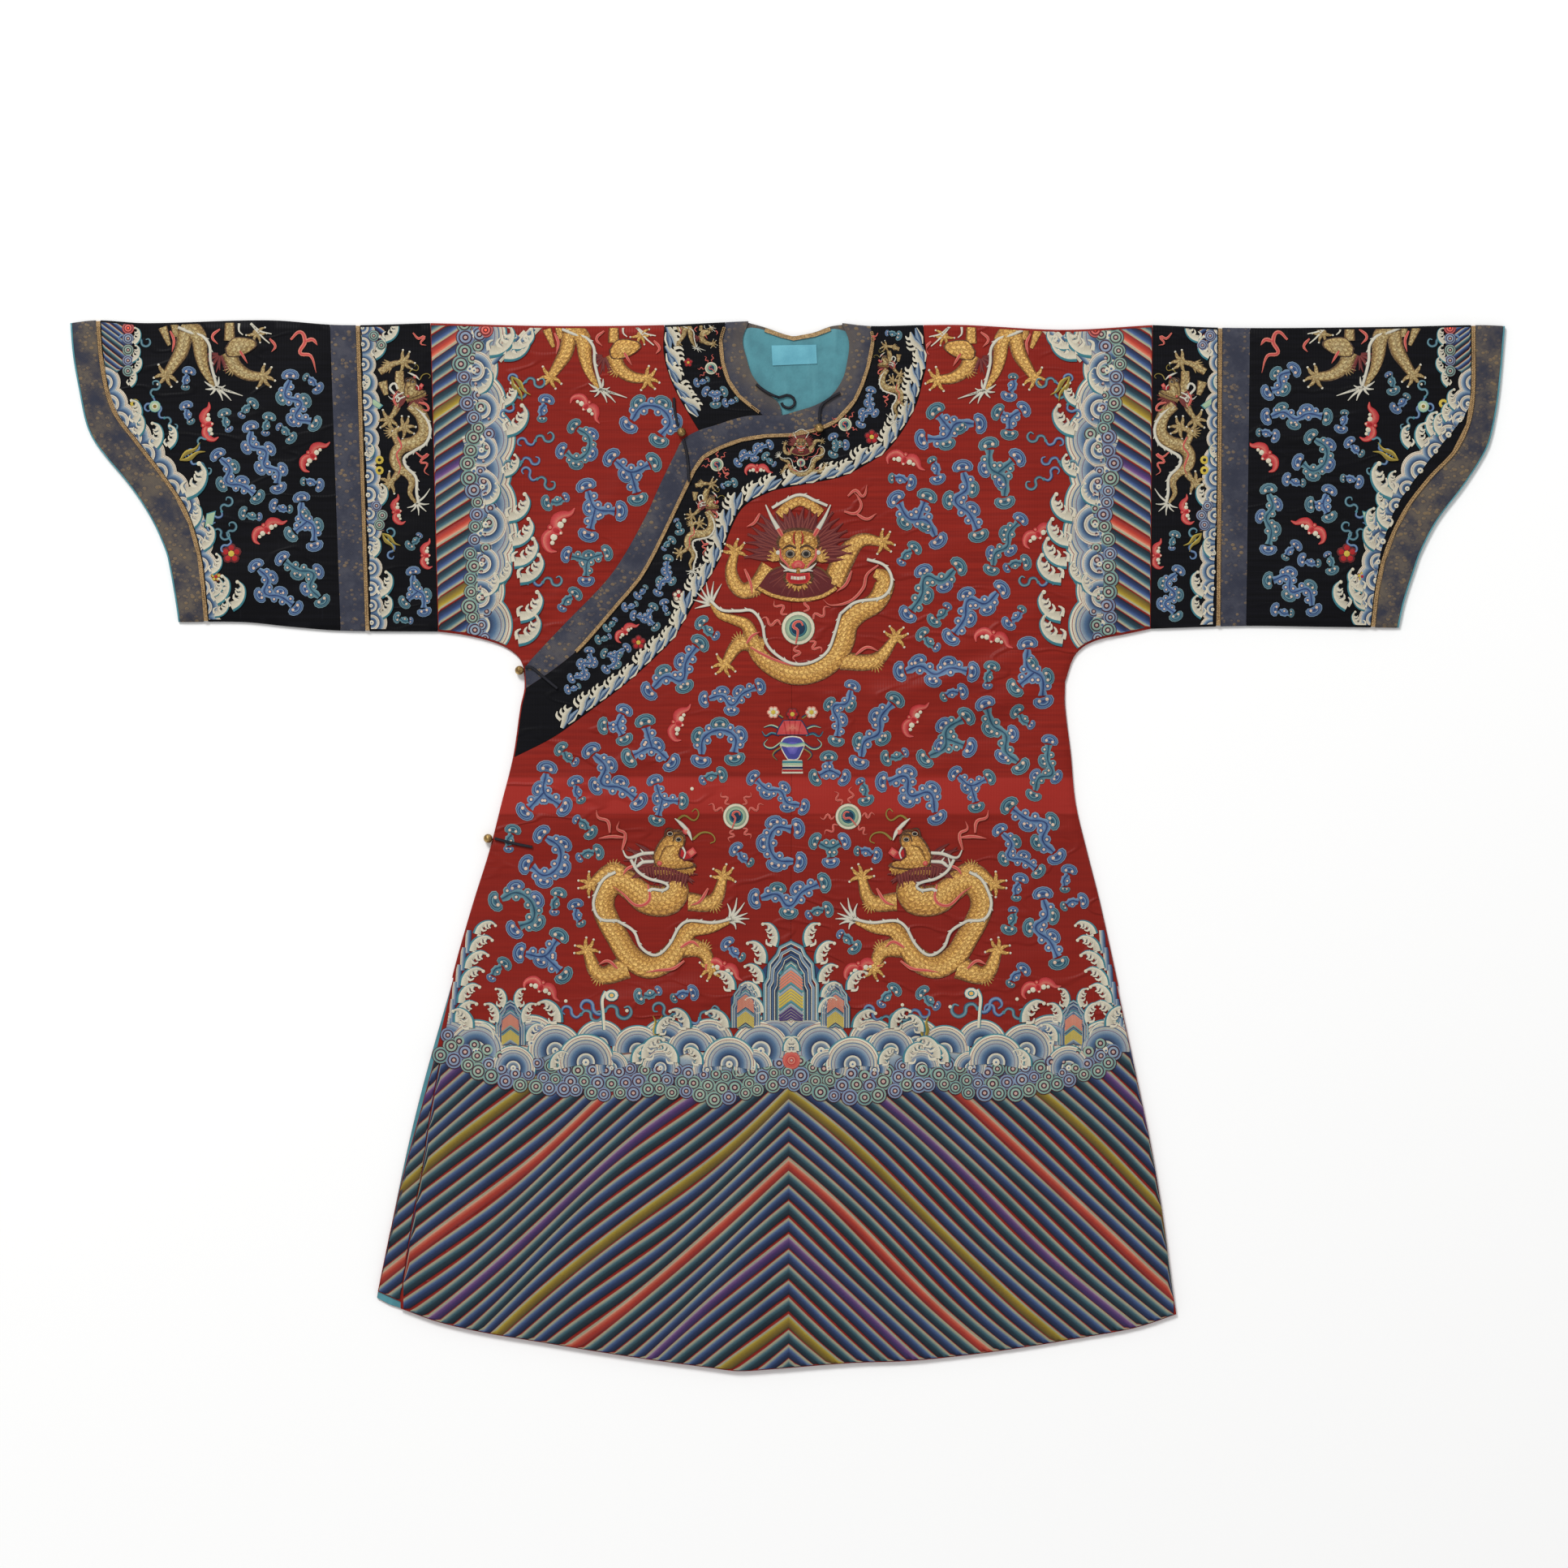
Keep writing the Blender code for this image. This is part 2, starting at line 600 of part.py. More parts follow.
def button(name, x, y, z):
    """A gilt ball button."""
    segments, rings = 14, 8
    points = [(x, y, z + BUTTON_RADIUS)]
    for r in range(1, rings):
        tilt = math.pi * r / rings
        for s in range(segments):
            turn = math.tau * s / segments
            points.append((
                x + BUTTON_RADIUS * math.sin(tilt) * math.cos(turn),
                y + BUTTON_RADIUS * math.sin(tilt) * math.sin(turn),
                z + BUTTON_RADIUS * math.cos(tilt),
            ))
    points.append((x, y, z - BUTTON_RADIUS))
    faces = []
    last = len(points) - 1
    for s in range(segments):
        nxt = (s + 1) % segments
        faces.append([0, 1 + s, 1 + nxt])
        for r in range(rings - 2):
            a, b = 1 + r * segments + s, 1 + r * segments + nxt
            faces.append([a, a + segments, b + segments, b])
        low = 1 + (rings - 2) * segments
        faces.append([low + s, last, low + nxt])
    mesh = bpy.data.meshes.new(name)
    mesh.from_pydata([(px * MM, py * MM, pz * MM) for px, py, pz in points], [], faces)
    mesh.materials.append(GILT)
    mesh.shade_smooth()
    made = bpy.data.objects.new(name, mesh)
    bpy.context.scene.collection.objects.link(made)
    return made


for old in list(bpy.data.objects):
    bpy.data.objects.remove(old)

RED = material("red_silk", (0.36, 0.022, 0.018), 0.45)
BLACK = material("black_silk", (0.012, 0.013, 0.018), 0.45)
BROCADE = material("grey_brocade", (0.12, 0.13, 0.18), 0.6)
GOLD = material("gold_braid", (0.42, 0.25, 0.08), 0.5, 0.2)
TEAL = material("turquoise_silk", (0.06, 0.34, 0.38), 0.5)
GILT = material("gilt_brass", (0.62, 0.42, 0.1), 0.3, 1.0)
CORD = material("black_cord", (0.01, 0.01, 0.012), 0.7)

# Front and back nets that every panel is cut from.
OUTLINE_LINES = [TOP_R, NECK_B, TOP_L, SEAM_L, ARM_L, SIDE_L, VENT_L, HEM_L, HEM_R, VENT_R,
                 SIDE_R, ARM_R, SEAM_R]
FRONT_NET = triangulate(
    OUTLINE_LINES + [UNDER_IN, UNDER_SEAM, UNDER_COLLAR, OVER_IN, OVER_SEAM, COLLAR, CENTRE,
                     FRONT_E, UNDER_E, UNDER_H] + HIDDEN_LINES,
    BODY_LOOP, GRID,
)
BACK_NET = triangulate(OUTLINE_LINES + [BACK_BAND, BACK_COLLAR, CENTRE_BACK], BODY_LOOP, 150)

# Loops of the panels.
HIDDEN_SEAM = part_of(OVER_SEAM, HIDDEN_COLLAR, HIDDEN_MID)
TOP_R_BODY = part_of(TOP_R, SLEEVE_RIGHT_TOP, COLLAR_RIGHT)
TOP_R_COLLAR = part_of(TOP_R, COLLAR_RIGHT, BAND_RIGHT)
TOP_R_BAND = part_of(TOP_R, BAND_RIGHT, NECK_RIGHT)
TOP_L_BAND = part_of(TOP_L, NECK_LEFT, BAND_LEFT)
TOP_L_COLLAR = part_of(TOP_L, BAND_LEFT, COLLAR_LEFT)
TOP_L_BODY = part_of(TOP_L, COLLAR_LEFT, SLEEVE_LEFT_TOP)

right_back = joined(TOP_R_BODY, part_of(BACK_COLLAR, COLLAR_RIGHT, CENTRE_BACK_TOP),
                    CENTRE_BACK, HEM_R, VENT_R, SIDE_R, ARM_R, SEAM_R)
left_back = joined(TOP_L_BODY, SEAM_L, ARM_L, SIDE_L, VENT_L, HEM_L, CENTRE_BACK[::-1],
                   part_of(BACK_COLLAR, CENTRE_BACK_TOP, COLLAR_LEFT))
right_front = joined(
    TOP_R_BODY, UNDER_COLLAR, [UNDER_COLLAR_END, HIDDEN_COLLAR], HIDDEN_SEAM, CENTRE_UNDER,
    part_of(HEM_R, HEM_CENTRE, HEM_JOIN), UNDER_H[::-1],
    part_of(VENT_R, UNDER_HEM, UNDER_MEETS_EDGE), UNDER_E[::-1], SIDE_R, ARM_R, SEAM_R,
)
left_front = joined(TOP_L_BODY, SEAM_L, ARM_L, SIDE_L, VENT_L, HEM_L, CENTRE[::-1],
                    part_of(COLLAR, CENTRE_TOP, COLLAR_LEFT))
overlap_loop = joined(
    part_of(COLLAR, COLLAR_TIP, CENTRE_TOP), CENTRE,
    part_of(HEM_R, HEM_CENTRE, HEM_FRONT_EDGE), FRONT_E[::-1],
    part_of(SIDE_R, VENT_RIGHT, COLLAR_TIP),
)
over_collar = joined(TOP_L_COLLAR, COLLAR, part_of(SIDE_R, COLLAR_TIP, BAND_TIP_LOW),
                     OVER_SEAM[::-1])
under_collar = joined(TOP_R_COLLAR, UNDER_SEAM, [UNDER_BAND_OUT, HIDDEN_BAND],
                      part_of(OVER_SEAM, HIDDEN_BAND, HIDDEN_COLLAR),
                      [HIDDEN_COLLAR, UNDER_COLLAR_END], UNDER_COLLAR[::-1])
back_collar = joined(TOP_R_COLLAR, BACK_BAND, TOP_L_COLLAR, BACK_COLLAR[::-1])
over_band = joined(TOP_L_BAND, OVER_SEAM, part_of(SIDE_R, BAND_TIP_LOW, BAND_TIP_UP),
                   OVER_IN[::-1])
under_band = joined(TOP_R_BAND, UNDER_IN, [UNDER_BAND_END, HIDDEN_MID],
                    part_of(OVER_SEAM, HIDDEN_MID, HIDDEN_BAND),
                    [HIDDEN_BAND, UNDER_BAND_OUT], UNDER_SEAM[::-1])
back_band = joined(TOP_R_BAND, NECK_B, TOP_L_BAND, BACK_BAND[::-1])


def folded(name, fronts, back, folds, finish):
    """A panel whose front stretches fold over into its back stretch."""
    sheet = Sheet()
    behind = sheet.add(BACK_NET, back, back_level, folds, flip=True)
    for loop, level in fronts:
        before = sheet.add(FRONT_NET, loop, level, folds)
        sheet.fold(before, behind)
    return panel(name, sheet, finish)


body_right = folded("body_right", [(right_front, under_level)], right_back,
                    [TOP_R_BODY, ARM_R, SIDE_R], RED)
body_left = folded("body_left", [(left_front, over_level)], left_back,
                   [TOP_L_BODY, ARM_L, SIDE_L], RED)
collar_border = folded("collar_border",
                       [(over_collar, over_level), (under_collar, under_level)],
                       back_collar, [TOP_R_COLLAR, TOP_L_COLLAR], BLACK)
neck_band = folded("neck_band", [(over_band, over_level), (under_band, under_level)],
                   back_band, [TOP_R_BAND, TOP_L_BAND], BROCADE)
front = Sheet()
front.add(FRONT_NET, overlap_loop, over_level)
overlap_front = panel("overlap_front", front, RED)

sleeve("right", RIGHT_STATIONS, RIGHT_TOP_LINE, RIGHT_LOW_LINE)
sleeve("left", LEFT_STATIONS, LEFT_TOP_LINE, LEFT_LOW_LINE)

# The lining where it shows: inside the neck and along the right vent.
flat_piece("neck_lining", spaced(
    [(-50, 540), (-38, 543), (-23, 540), (-6, 534), (6, 531), (28, 535), (44, 541), (54, 541),
     (71, 533), (78, 500), (64, 462), (40, 442), (0, 436), (-38, 441), (-68, 465), (-80, 500),
     (-70, 529)], 40), LINING_MID, TEAL)
flat_piece("label_patch", [(-17, 524), (30, 525), (31, 505), (-16, 503)],
           LINING_MID + THIN + GAP, TEAL)
vent_back = part_of(VENT_R, VENT_RIGHT, CORNER_RIGHT) + [(-417, -480), HEM_FRONT_EDGE]
vent_in = [(x + 24, y + 10) for x, y in (HEM_FRONT_EDGE, UNDER_HEM, (-397, -312), (-378, -236))]
flat_piece("vent_lining", offset_line(vent_back, 0.3).tolist() + vent_in
           + [(-338, -150)], LINING_MID, TEAL)

cloth_top = surface_of([body_right, body_left, collar_border, neck_band, overlap_front])


def on_cloth(x, y):
    return cloth_top(x, y) + GAP + THIN / 2 + 0.1


def on_lining(x, y):
    return LINING_MID + THIN + GAP


ribbon("neck_piping", part_of(OVER_SEAM, BAND_LEFT, (-221, 204))[1:], PIPING_WIDTH,
       on_cloth, GOLD)
ribbon("under_neck_piping", UNDER_SEAM[1:-1], PIPING_WIDTH, on_cloth, GOLD)
binding_line = offset_line(NECK_B, -BINDING_WIDTH / 2 - 0.6)[1:-1]
ribbon("back_neck_binding", binding_line, BINDING_WIDTH, on_lining, GOLD)

# Ball buttons, and the silk cords that hold them.
trimmed_top = surface_of([body_right, body_left, collar_border, neck_band, overlap_front,
                          bpy.data.objects["neck_piping"],
                          bpy.data.objects["under_neck_piping"],
                          bpy.data.objects["neck_lining"]])
BUTTONS = [
    # name, x, y, whether it hangs just off the edge
    ("button_neck", 33, 437, False),
    ("button_shoulder", -111, 433, False),
    ("button_underarm", -280.6, 184, True),
    ("button_side", -313.5, 8, True),
]
for name, x, y, off_edge in BUTTONS:
    rest = highest(trimmed_top, x, y, BUTTON_RADIUS) + GAP + BUTTON_RADIUS
    button(name, x, y, BUTTON_RADIUS + GAP if off_edge else rest)

CORDS = {
    "neck_loop": [(-33, 483), (-22, 475), (-9, 469.5), (-1, 472), (6, 469), (7, 462),
                  (1, 458.5), (-5, 461), (-6.5, 464)],
    "neck_tail": [(55, 474), (44, 468), (35, 460), (33.3, 444.6)],
    "shoulder_tail": [(-119, 469), (-118, 455), (-114.6, 439.6)],
    "shoulder_loop": [(-109, 425.8), (-105, 407), (-103, 381)],
    "underarm_loop": [(-274.6, 187.2), (-268, 187), (-258, 179), (-241, 165)],
    "side_loop": [(-306.4, 8), (-287, 3), (-267, -1)],
}
for name, route in CORDS.items():
    cord(name, route, trimmed_top, CORD)
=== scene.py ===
"""A formal silk dragon robe, laid flat with its front up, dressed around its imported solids.

Tables are in millimetres in the robe's own frame: x to the viewer's right, y towards the neck and
z up off the table. Left and right in names are the wearer's.
"""

import math

import bpy
import numpy as np
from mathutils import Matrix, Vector
from mathutils.geometry import delaunay_2d_cdt


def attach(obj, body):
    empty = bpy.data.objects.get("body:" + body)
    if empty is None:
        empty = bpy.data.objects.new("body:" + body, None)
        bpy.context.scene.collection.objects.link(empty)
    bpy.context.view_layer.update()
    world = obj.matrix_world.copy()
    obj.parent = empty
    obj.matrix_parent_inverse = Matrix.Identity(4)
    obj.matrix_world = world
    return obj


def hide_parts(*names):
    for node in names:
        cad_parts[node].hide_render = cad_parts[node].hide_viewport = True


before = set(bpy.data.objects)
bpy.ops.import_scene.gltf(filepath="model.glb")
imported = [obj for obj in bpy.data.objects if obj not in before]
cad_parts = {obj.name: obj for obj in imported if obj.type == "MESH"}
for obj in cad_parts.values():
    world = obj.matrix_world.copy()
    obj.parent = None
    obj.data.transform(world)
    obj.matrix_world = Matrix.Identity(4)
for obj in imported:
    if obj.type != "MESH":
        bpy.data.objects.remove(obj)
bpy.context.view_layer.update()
MM = 0.001

# ---- The table and the studio ------------------------------------------------------------------
# A pale matt board that the robe is laid out on. Light comes evenly from all sides, and a large
# soft lamp stands a little towards the neck, so folds and raised stitches shade gently.
BOARD = 6.0  # metres across
BOARD_TOP = -0.0006
BOARD_COLOUR, BOARD_ROUGHNESS = (0.99, 0.99, 0.985), 0.9
VIEW_WIDTH = 1.6422  # metres across the picture at the robe
VIEW_CENTRE = (-0.0038, 0.0650)
CAMERA_HEIGHT = 6.0
SENSOR = 36.0
LAMP_PLACE = (-3.4, 6.8, 7.6)
LAMP_SIZE = 3.2
LAMP_POWER = 760.0
AMBIENT = 0.56



def linked(name, data):
    """A new object in the scene."""
    made = bpy.data.objects.new(name, data)
    bpy.context.scene.collection.objects.link(made)
    return made


board_mesh = bpy.data.meshes.new("table_board")
half = BOARD / 2
board_mesh.from_pydata(
    [(x, y, BOARD_TOP) for x, y in ((-half, -half), (half, -half), (half, half), (-half, half))],
    [], [(0, 1, 2, 3)],
)
board = linked("table_board", board_mesh)
board_finish = bpy.data.materials.new("pale_board")
board_finish.use_nodes = True
board_shader = board_finish.node_tree.nodes["Principled BSDF"]
board_shader.inputs["Base Color"].default_value = (*BOARD_COLOUR, 1)
board_shader.inputs["Roughness"].default_value = BOARD_ROUGHNESS
board_mesh.materials.append(board_finish)

camera_data = bpy.data.cameras.new("camera")
camera_data.sensor_width = SENSOR
camera_data.lens = SENSOR * CAMERA_HEIGHT / VIEW_WIDTH
camera = linked("camera", camera_data)
camera.location = (*VIEW_CENTRE, CAMERA_HEIGHT)
bpy.context.scene.camera = camera

lamp_data = bpy.data.lights.new("soft_lamp", "AREA")
lamp_data.shape = "DISK"
lamp_data.size = LAMP_SIZE
lamp_data.energy = LAMP_POWER
lamp = linked("soft_lamp", lamp_data)
lamp.location = LAMP_PLACE
lamp.rotation_euler = (Vector(LAMP_PLACE) * -1).to_track_quat("-Z", "Y").to_euler()

world = bpy.data.worlds.new("studio")
bpy.context.scene.world = world
world.use_nodes = True
world.node_tree.nodes["Background"].inputs["Color"].default_value = (1, 1, 1, 1)
world.node_tree.nodes["Background"].inputs["Strength"].default_value = AMBIENT
bpy.context.scene.view_settings.view_transform = "Standard"

# ---- The cut -----------------------------------------------------------------------------------
# The robe is cut as two body lengths folded over the shoulders, an overlap front, bands round the
# neck and flattened sleeve tubes. These are its seam and edge lines, each a row of x, y.
NECK_RIGHT, BAND_RIGHT, COLLAR_RIGHT = (-41, 548), (-65, 547), (-129, 544)
NECK_LEFT, BAND_LEFT, COLLAR_LEFT = (57, 546), (87, 543), (142, 544)
SLEEVE_RIGHT_TOP, SLEEVE_RIGHT_LOW = (-374, 546), (-366, 226)
SLEEVE_LEFT_TOP, SLEEVE_LEFT_LOW = (382, 544), (380, 229)
BAND_TIP_UP, BAND_TIP_LOW, COLLAR_TIP = (-275, 187), (-274, 165), (-286, 93)
VENT_RIGHT, VENT_LEFT = (-350, -138), (345, -147)
UNDER_MEETS_EDGE, UNDER_HEM, FRONT_TRIM_LOW = (-417, -407), (-429, -466), (-405, -477)
CORNER_RIGHT, CORNER_LEFT = (-430, -473), (407, -490)
HEM_FRONT_EDGE, HEM_JOIN, HEM_CENTRE = (-405, -484), (-366, -498), (-9, -547)
CENTRE_TOP, CENTRE_BACK_TOP = (4, 376), (4, 444)
UNDER_BAND_END, UNDER_BAND_OUT, UNDER_COLLAR_END = (-6, 451), (-26, 451), (-93, 435)
HIDDEN_MID, HIDDEN_BAND, HIDDEN_COLLAR = (4, 430), (-23, 429), (-88, 407)

TOP_RIGHT = [SLEEVE_RIGHT_TOP, (-247, 543), COLLAR_RIGHT, BAND_RIGHT, NECK_RIGHT]
NECK_BACK = [NECK_RIGHT, (-23, 543), (-6, 537), (6, 534), (28, 538), (44, 544), NECK_LEFT]
TOP_LEFT = [NECK_LEFT, BAND_LEFT, COLLAR_LEFT, (187, 544), (289, 539), SLEEVE_LEFT_TOP]
SEAM_LEFT = [SLEEVE_LEFT_TOP, SLEEVE_LEFT_LOW]
ARM_LEFT = [SLEEVE_LEFT_LOW, (352, 223), (327, 218), (309, 210), (298, 198), (289, 172)]
SIDE_LEFT = [(289, 172), (289, 147), (295, 96), (300, 45), (312, -6), (325, -57), VENT_LEFT]
VENT_EDGE_LEFT = [VENT_LEFT, (364, -236), (380, -312), (393, -389), (403, -465), CORNER_LEFT]
HEM_LEFT = [CORNER_LEFT, (365, -504), (306, -515), (246, -525), (187, -533), (127, -539),
            (68, -541), HEM_CENTRE]
HEM_RIGHT = [HEM_CENTRE, (-51, -549.6), (-81, -546), (-141, -538), (-200, -529), (-260, -519),
             (-319, -509), HEM_JOIN, HEM_FRONT_EDGE, (-417, -480), CORNER_RIGHT]
VENT_EDGE_RIGHT = [CORNER_RIGHT, UNDER_HEM, UNDER_MEETS_EDGE, (-397, -312), (-378, -236),
                   VENT_RIGHT]
SIDE_RIGHT = [VENT_RIGHT, (-342, -108), (-327, -57), (-311, -6), (-298, 45), COLLAR_TIP,
              (-278, 147), BAND_TIP_LOW, BAND_TIP_UP]
ARM_RIGHT = [BAND_TIP_UP, (-280, 198), (-294, 209), (-315, 217), (-342, 223),
             SLEEVE_RIGHT_LOW]
SEAM_RIGHT = [SLEEVE_RIGHT_LOW, SLEEVE_RIGHT_TOP]
UNDER_BAND_IN = [NECK_RIGHT, (-47, 530), (-43, 511), (-37, 493), (-23, 476), (-9, 463),
                 UNDER_BAND_END]
UNDER_BAND_SEAM = [BAND_RIGHT, (-70, 528), (-68, 506), (-62, 487), (-51, 471),
                   UNDER_BAND_OUT]
UNDER_COLLAR_SEAM = [COLLAR_RIGHT, (-130, 520), (-126, 499), (-117, 476), (-107, 458),
                     UNDER_COLLAR_END]
OVER_BAND_IN = [NECK_LEFT, (64, 528), (62, 506), (57, 488), (45, 471), (28, 461), (12, 456),
                UNDER_BAND_END, UNDER_BAND_OUT, (-48, 449), (-77, 440), UNDER_COLLAR_END,
                (-110, 425), (-118, 410), (-127, 392), (-136, 373), (-148, 346),
                (-175, 298), (-194, 273), (-233, 233), (-266, 198), BAND_TIP_UP]
OVER_BAND_SEAM = [BAND_LEFT, (89, 527), (84, 501), (70, 466), (51, 445), (32, 436),
                  HIDDEN_MID, HIDDEN_BAND, (-48, 425), (-70, 417), HIDDEN_COLLAR,
                  (-98, 393), (-111, 366), (-139, 308), (-155, 280), (-177, 254),
                  (-200, 227), (-221, 204), (-246, 184), BAND_TIP_LOW]
COLLAR_SEAM = [COLLAR_LEFT, (145, 504), (142, 490), (135, 463), (121, 436), (104, 414),
               (85, 401), (58, 387), (26, 380), CENTRE_TOP, (-17, 371), (-45, 356),
               (-58, 335), (-72, 298), (-95, 259), (-119, 218), (-136, 200), (-168, 171),
               (-210, 139), (-245, 114), COLLAR_TIP]
CENTRE_SEAM = [CENTRE_TOP, (4, 74), (2, -261), (-2, -389), (-6, -474), HEM_CENTRE]
FRONT_EDGE = [VENT_RIGHT, (-364, -229), (-374, -283), (-383, -346), (-391, -385),
              FRONT_TRIM_LOW, HEM_FRONT_EDGE]
UNDER_EDGE = [VENT_RIGHT, (-368, -215), (-383, -272), (-402, -342), UNDER_MEETS_EDGE]
UNDER_HEM_EDGE = [UNDER_HEM, FRONT_TRIM_LOW, HEM_JOIN]
BACK_BAND_SEAM = [BAND_RIGHT, (-55, 526), (-27, 510), (8, 505), (45, 510), (76, 526),
                  BAND_LEFT]
BACK_COLLAR_SEAM = [COLLAR_RIGHT, (-119, 507), (-90, 474), (-45, 451), CENTRE_BACK_TOP,
                    (56, 451), (102, 474), (132, 507), COLLAR_LEFT]
RIGHT_STATIONS = {
    "mouth": [(-751, 546), (-748, 512), (-742, 478), (-735, 444), (-728, 427), (-716, 410),
              (-688, 376), (-666, 342), (-651, 308), (-647, 291), (-641, 257), (-638, 236)],
    "cuff": [(-724, 547), (-719, 496), (-708, 455), (-685, 423), (-657, 387), (-633, 350),
             (-618, 303), (-612, 252), (-611, 236)],
    "strip_out": [(-479, 544), (-468, 228)],
    "strip_in": [(-452, 544), (-442, 227)],
    "seam": [SLEEVE_RIGHT_TOP, SLEEVE_RIGHT_LOW],
}
LEFT_STATIONS = {
    "mouth": [(751, 543), (747, 495), (743, 461), (736, 427), (729, 410), (707, 376),
              (681, 342), (663, 308), (657, 291), (646, 257), (640, 230)],
    "cuff": [(720, 544), (718, 458), (703, 417), (674, 385), (649, 352), (630, 312),
             (620, 273), (615, 230)],
    "strip_out": [(484, 540), (480, 231)],
    "strip_in": [(455, 542), (453, 231)],
    "seam": [SLEEVE_LEFT_TOP, SLEEVE_LEFT_LOW],
}
RIGHT_TOP_LINE = [(-751, 546), (-723, 549), (-672, 546), (-544, 549), (-468, 544),
                  SLEEVE_RIGHT_TOP]
RIGHT_LOW_LINE = [(-638, 236), (-570, 236), (-519, 231), (-468, 227), SLEEVE_RIGHT_LOW]
LEFT_TOP_LINE = [SLEEVE_LEFT_TOP, (467, 541), (624, 542), (722, 544), (751, 543)]
LEFT_LOW_LINE = [SLEEVE_LEFT_LOW, (480, 232), (560, 231), (640, 230)]
EDGE_STEP = 6.0  # spacing of points along seams and edges


def spaced(points, step=EDGE_STEP):
    """Points along a smooth line through every given point, at most step apart."""
    pts = np.array(points, float)
    if len(pts) == 2:
        count = max(1, math.ceil(np.linalg.norm(pts[1] - pts[0]) / step))
        return [tuple(pts[0] + (pts[1] - pts[0]) * i / count) for i in range(count)] + [
            tuple(pts[1])
        ]
    line = [tuple(pts[0])]
    for i in range(len(pts) - 1):
        a, b = pts[i], pts[i + 1]
        before = pts[i - 1] if i else 2 * a - b
        after = pts[i + 2] if i + 2 < len(pts) else 2 * b - a
        length = np.linalg.norm(b - a)
        lead = (b - before) / max(np.linalg.norm(b - before), 1e-6) * length
        trail = (after - a) / max(np.linalg.norm(after - a), 1e-6) * length
        count = max(1, math.ceil(length / step))
        t = np.arange(1, count + 1)[:, None] / count
        run = ((2 * t**3 - 3 * t**2 + 1) * a + (t**3 - 2 * t**2 + t) * lead
               + (3 * t**2 - 2 * t**3) * b + (t**3 - t**2) * trail)
        line += [tuple(p) for p in run]
    line[-1] = tuple(pts[-1])
    return line


def key(point):
    return (round(float(point[0]), 2), round(float(point[1]), 2))


def joined(*lines):
    """One closed loop from lines that run end to end."""
    return [p for line in lines for p in line[:-1]]


def part_of(line, start, end):
    """The stretch of a spaced line between two of its points, in either direction."""
    keys = [key(p) for p in line]
    i, j = keys.index(key(start)), keys.index(key(end))
    return line[i:j + 1] if i <= j else line[j:i + 1][::-1]


def headings(line):
    """The way a line runs at each of its points, as unit vectors."""
    run = np.gradient(line, axis=0)
    return run / np.maximum(np.linalg.norm(run, axis=1), 1e-9)[:, None]


def lengths(line):
    """How far along a line each of its points is."""
    return np.concatenate([[0], np.cumsum(np.linalg.norm(np.diff(line, axis=0), axis=1))])


def direction(degrees):
    """The unit vector that points this way."""
    angle = math.radians(degrees)
    return np.array((math.cos(angle), math.sin(angle)))


def segments_of(*lines):
    return np.array([(a, b) for line in lines for a, b in zip(line[:-1], line[1:])], float)


def distance_to(points, segments):
    """Distance from each point to the nearest of many segments."""
    best = np.full(len(points), 1e9)
    for a, b in segments:
        run = b - a
        t = np.clip(((points - a) @ run) / max(run @ run, 1e-9), 0, 1)
        best = np.minimum(best, ((points - a - t[:, None] * run) ** 2).sum(1))
    return np.sqrt(best)


def within(points, loop):
    """Which points lie inside a closed loop."""
    odd = np.zeros(len(points), bool)
    x, y = points[:, 0], points[:, 1]
    for (x0, y0), (x1, y1) in zip(loop, np.roll(loop, -1, 0)):
        if y0 != y1:
            odd ^= ((y0 > y) != (y1 > y)) & (x < x0 + (y - y0) * (x1 - x0) / (y1 - y0))
    return odd


def smoothstep(t):
    t = np.clip(t, 0.0, 1.0)
    return t * t * (3 - 2 * t)


TOP_R, NECK_B, TOP_L = spaced(TOP_RIGHT), spaced(NECK_BACK), spaced(TOP_LEFT)
SEAM_L, ARM_L, SIDE_L = spaced(SEAM_LEFT), spaced(ARM_LEFT), spaced(SIDE_LEFT)
VENT_L, HEM_L, HEM_R = spaced(VENT_EDGE_LEFT), spaced(HEM_LEFT), spaced(HEM_RIGHT)
VENT_R, SIDE_R, ARM_R = spaced(VENT_EDGE_RIGHT), spaced(SIDE_RIGHT), spaced(ARM_RIGHT)
SEAM_R = spaced(SEAM_RIGHT)
UNDER_IN, UNDER_SEAM = spaced(UNDER_BAND_IN), spaced(UNDER_BAND_SEAM)
UNDER_COLLAR, OVER_IN = spaced(UNDER_COLLAR_SEAM), spaced(OVER_BAND_IN)
OVER_SEAM, COLLAR = spaced(OVER_BAND_SEAM), spaced(COLLAR_SEAM)
CENTRE, FRONT_E, UNDER_E = spaced(CENTRE_SEAM), spaced(FRONT_EDGE), spaced(UNDER_EDGE)
BACK_BAND, BACK_COLLAR = spaced(BACK_BAND_SEAM), spaced(BACK_COLLAR_SEAM)
CENTRE_BACK = spaced([CENTRE_BACK_TOP, CENTRE_TOP])[:-1] + CENTRE
CENTRE_UNDER = spaced([HIDDEN_MID, CENTRE_TOP])[:-1] + CENTRE
SILHOUETTE = segments_of(*[part[::2] + part[-1:] for part in (
    spaced(RIGHT_TOP_LINE), TOP_R, NECK_B, TOP_L, spaced(LEFT_TOP_LINE),
    spaced(LEFT_STATIONS["mouth"]), spaced(LEFT_LOW_LINE), ARM_L, SIDE_L, VENT_L,
    HEM_L, HEM_R, VENT_R, SIDE_R, ARM_R, spaced(RIGHT_LOW_LINE),
    spaced(RIGHT_STATIONS["mouth"]),
)])

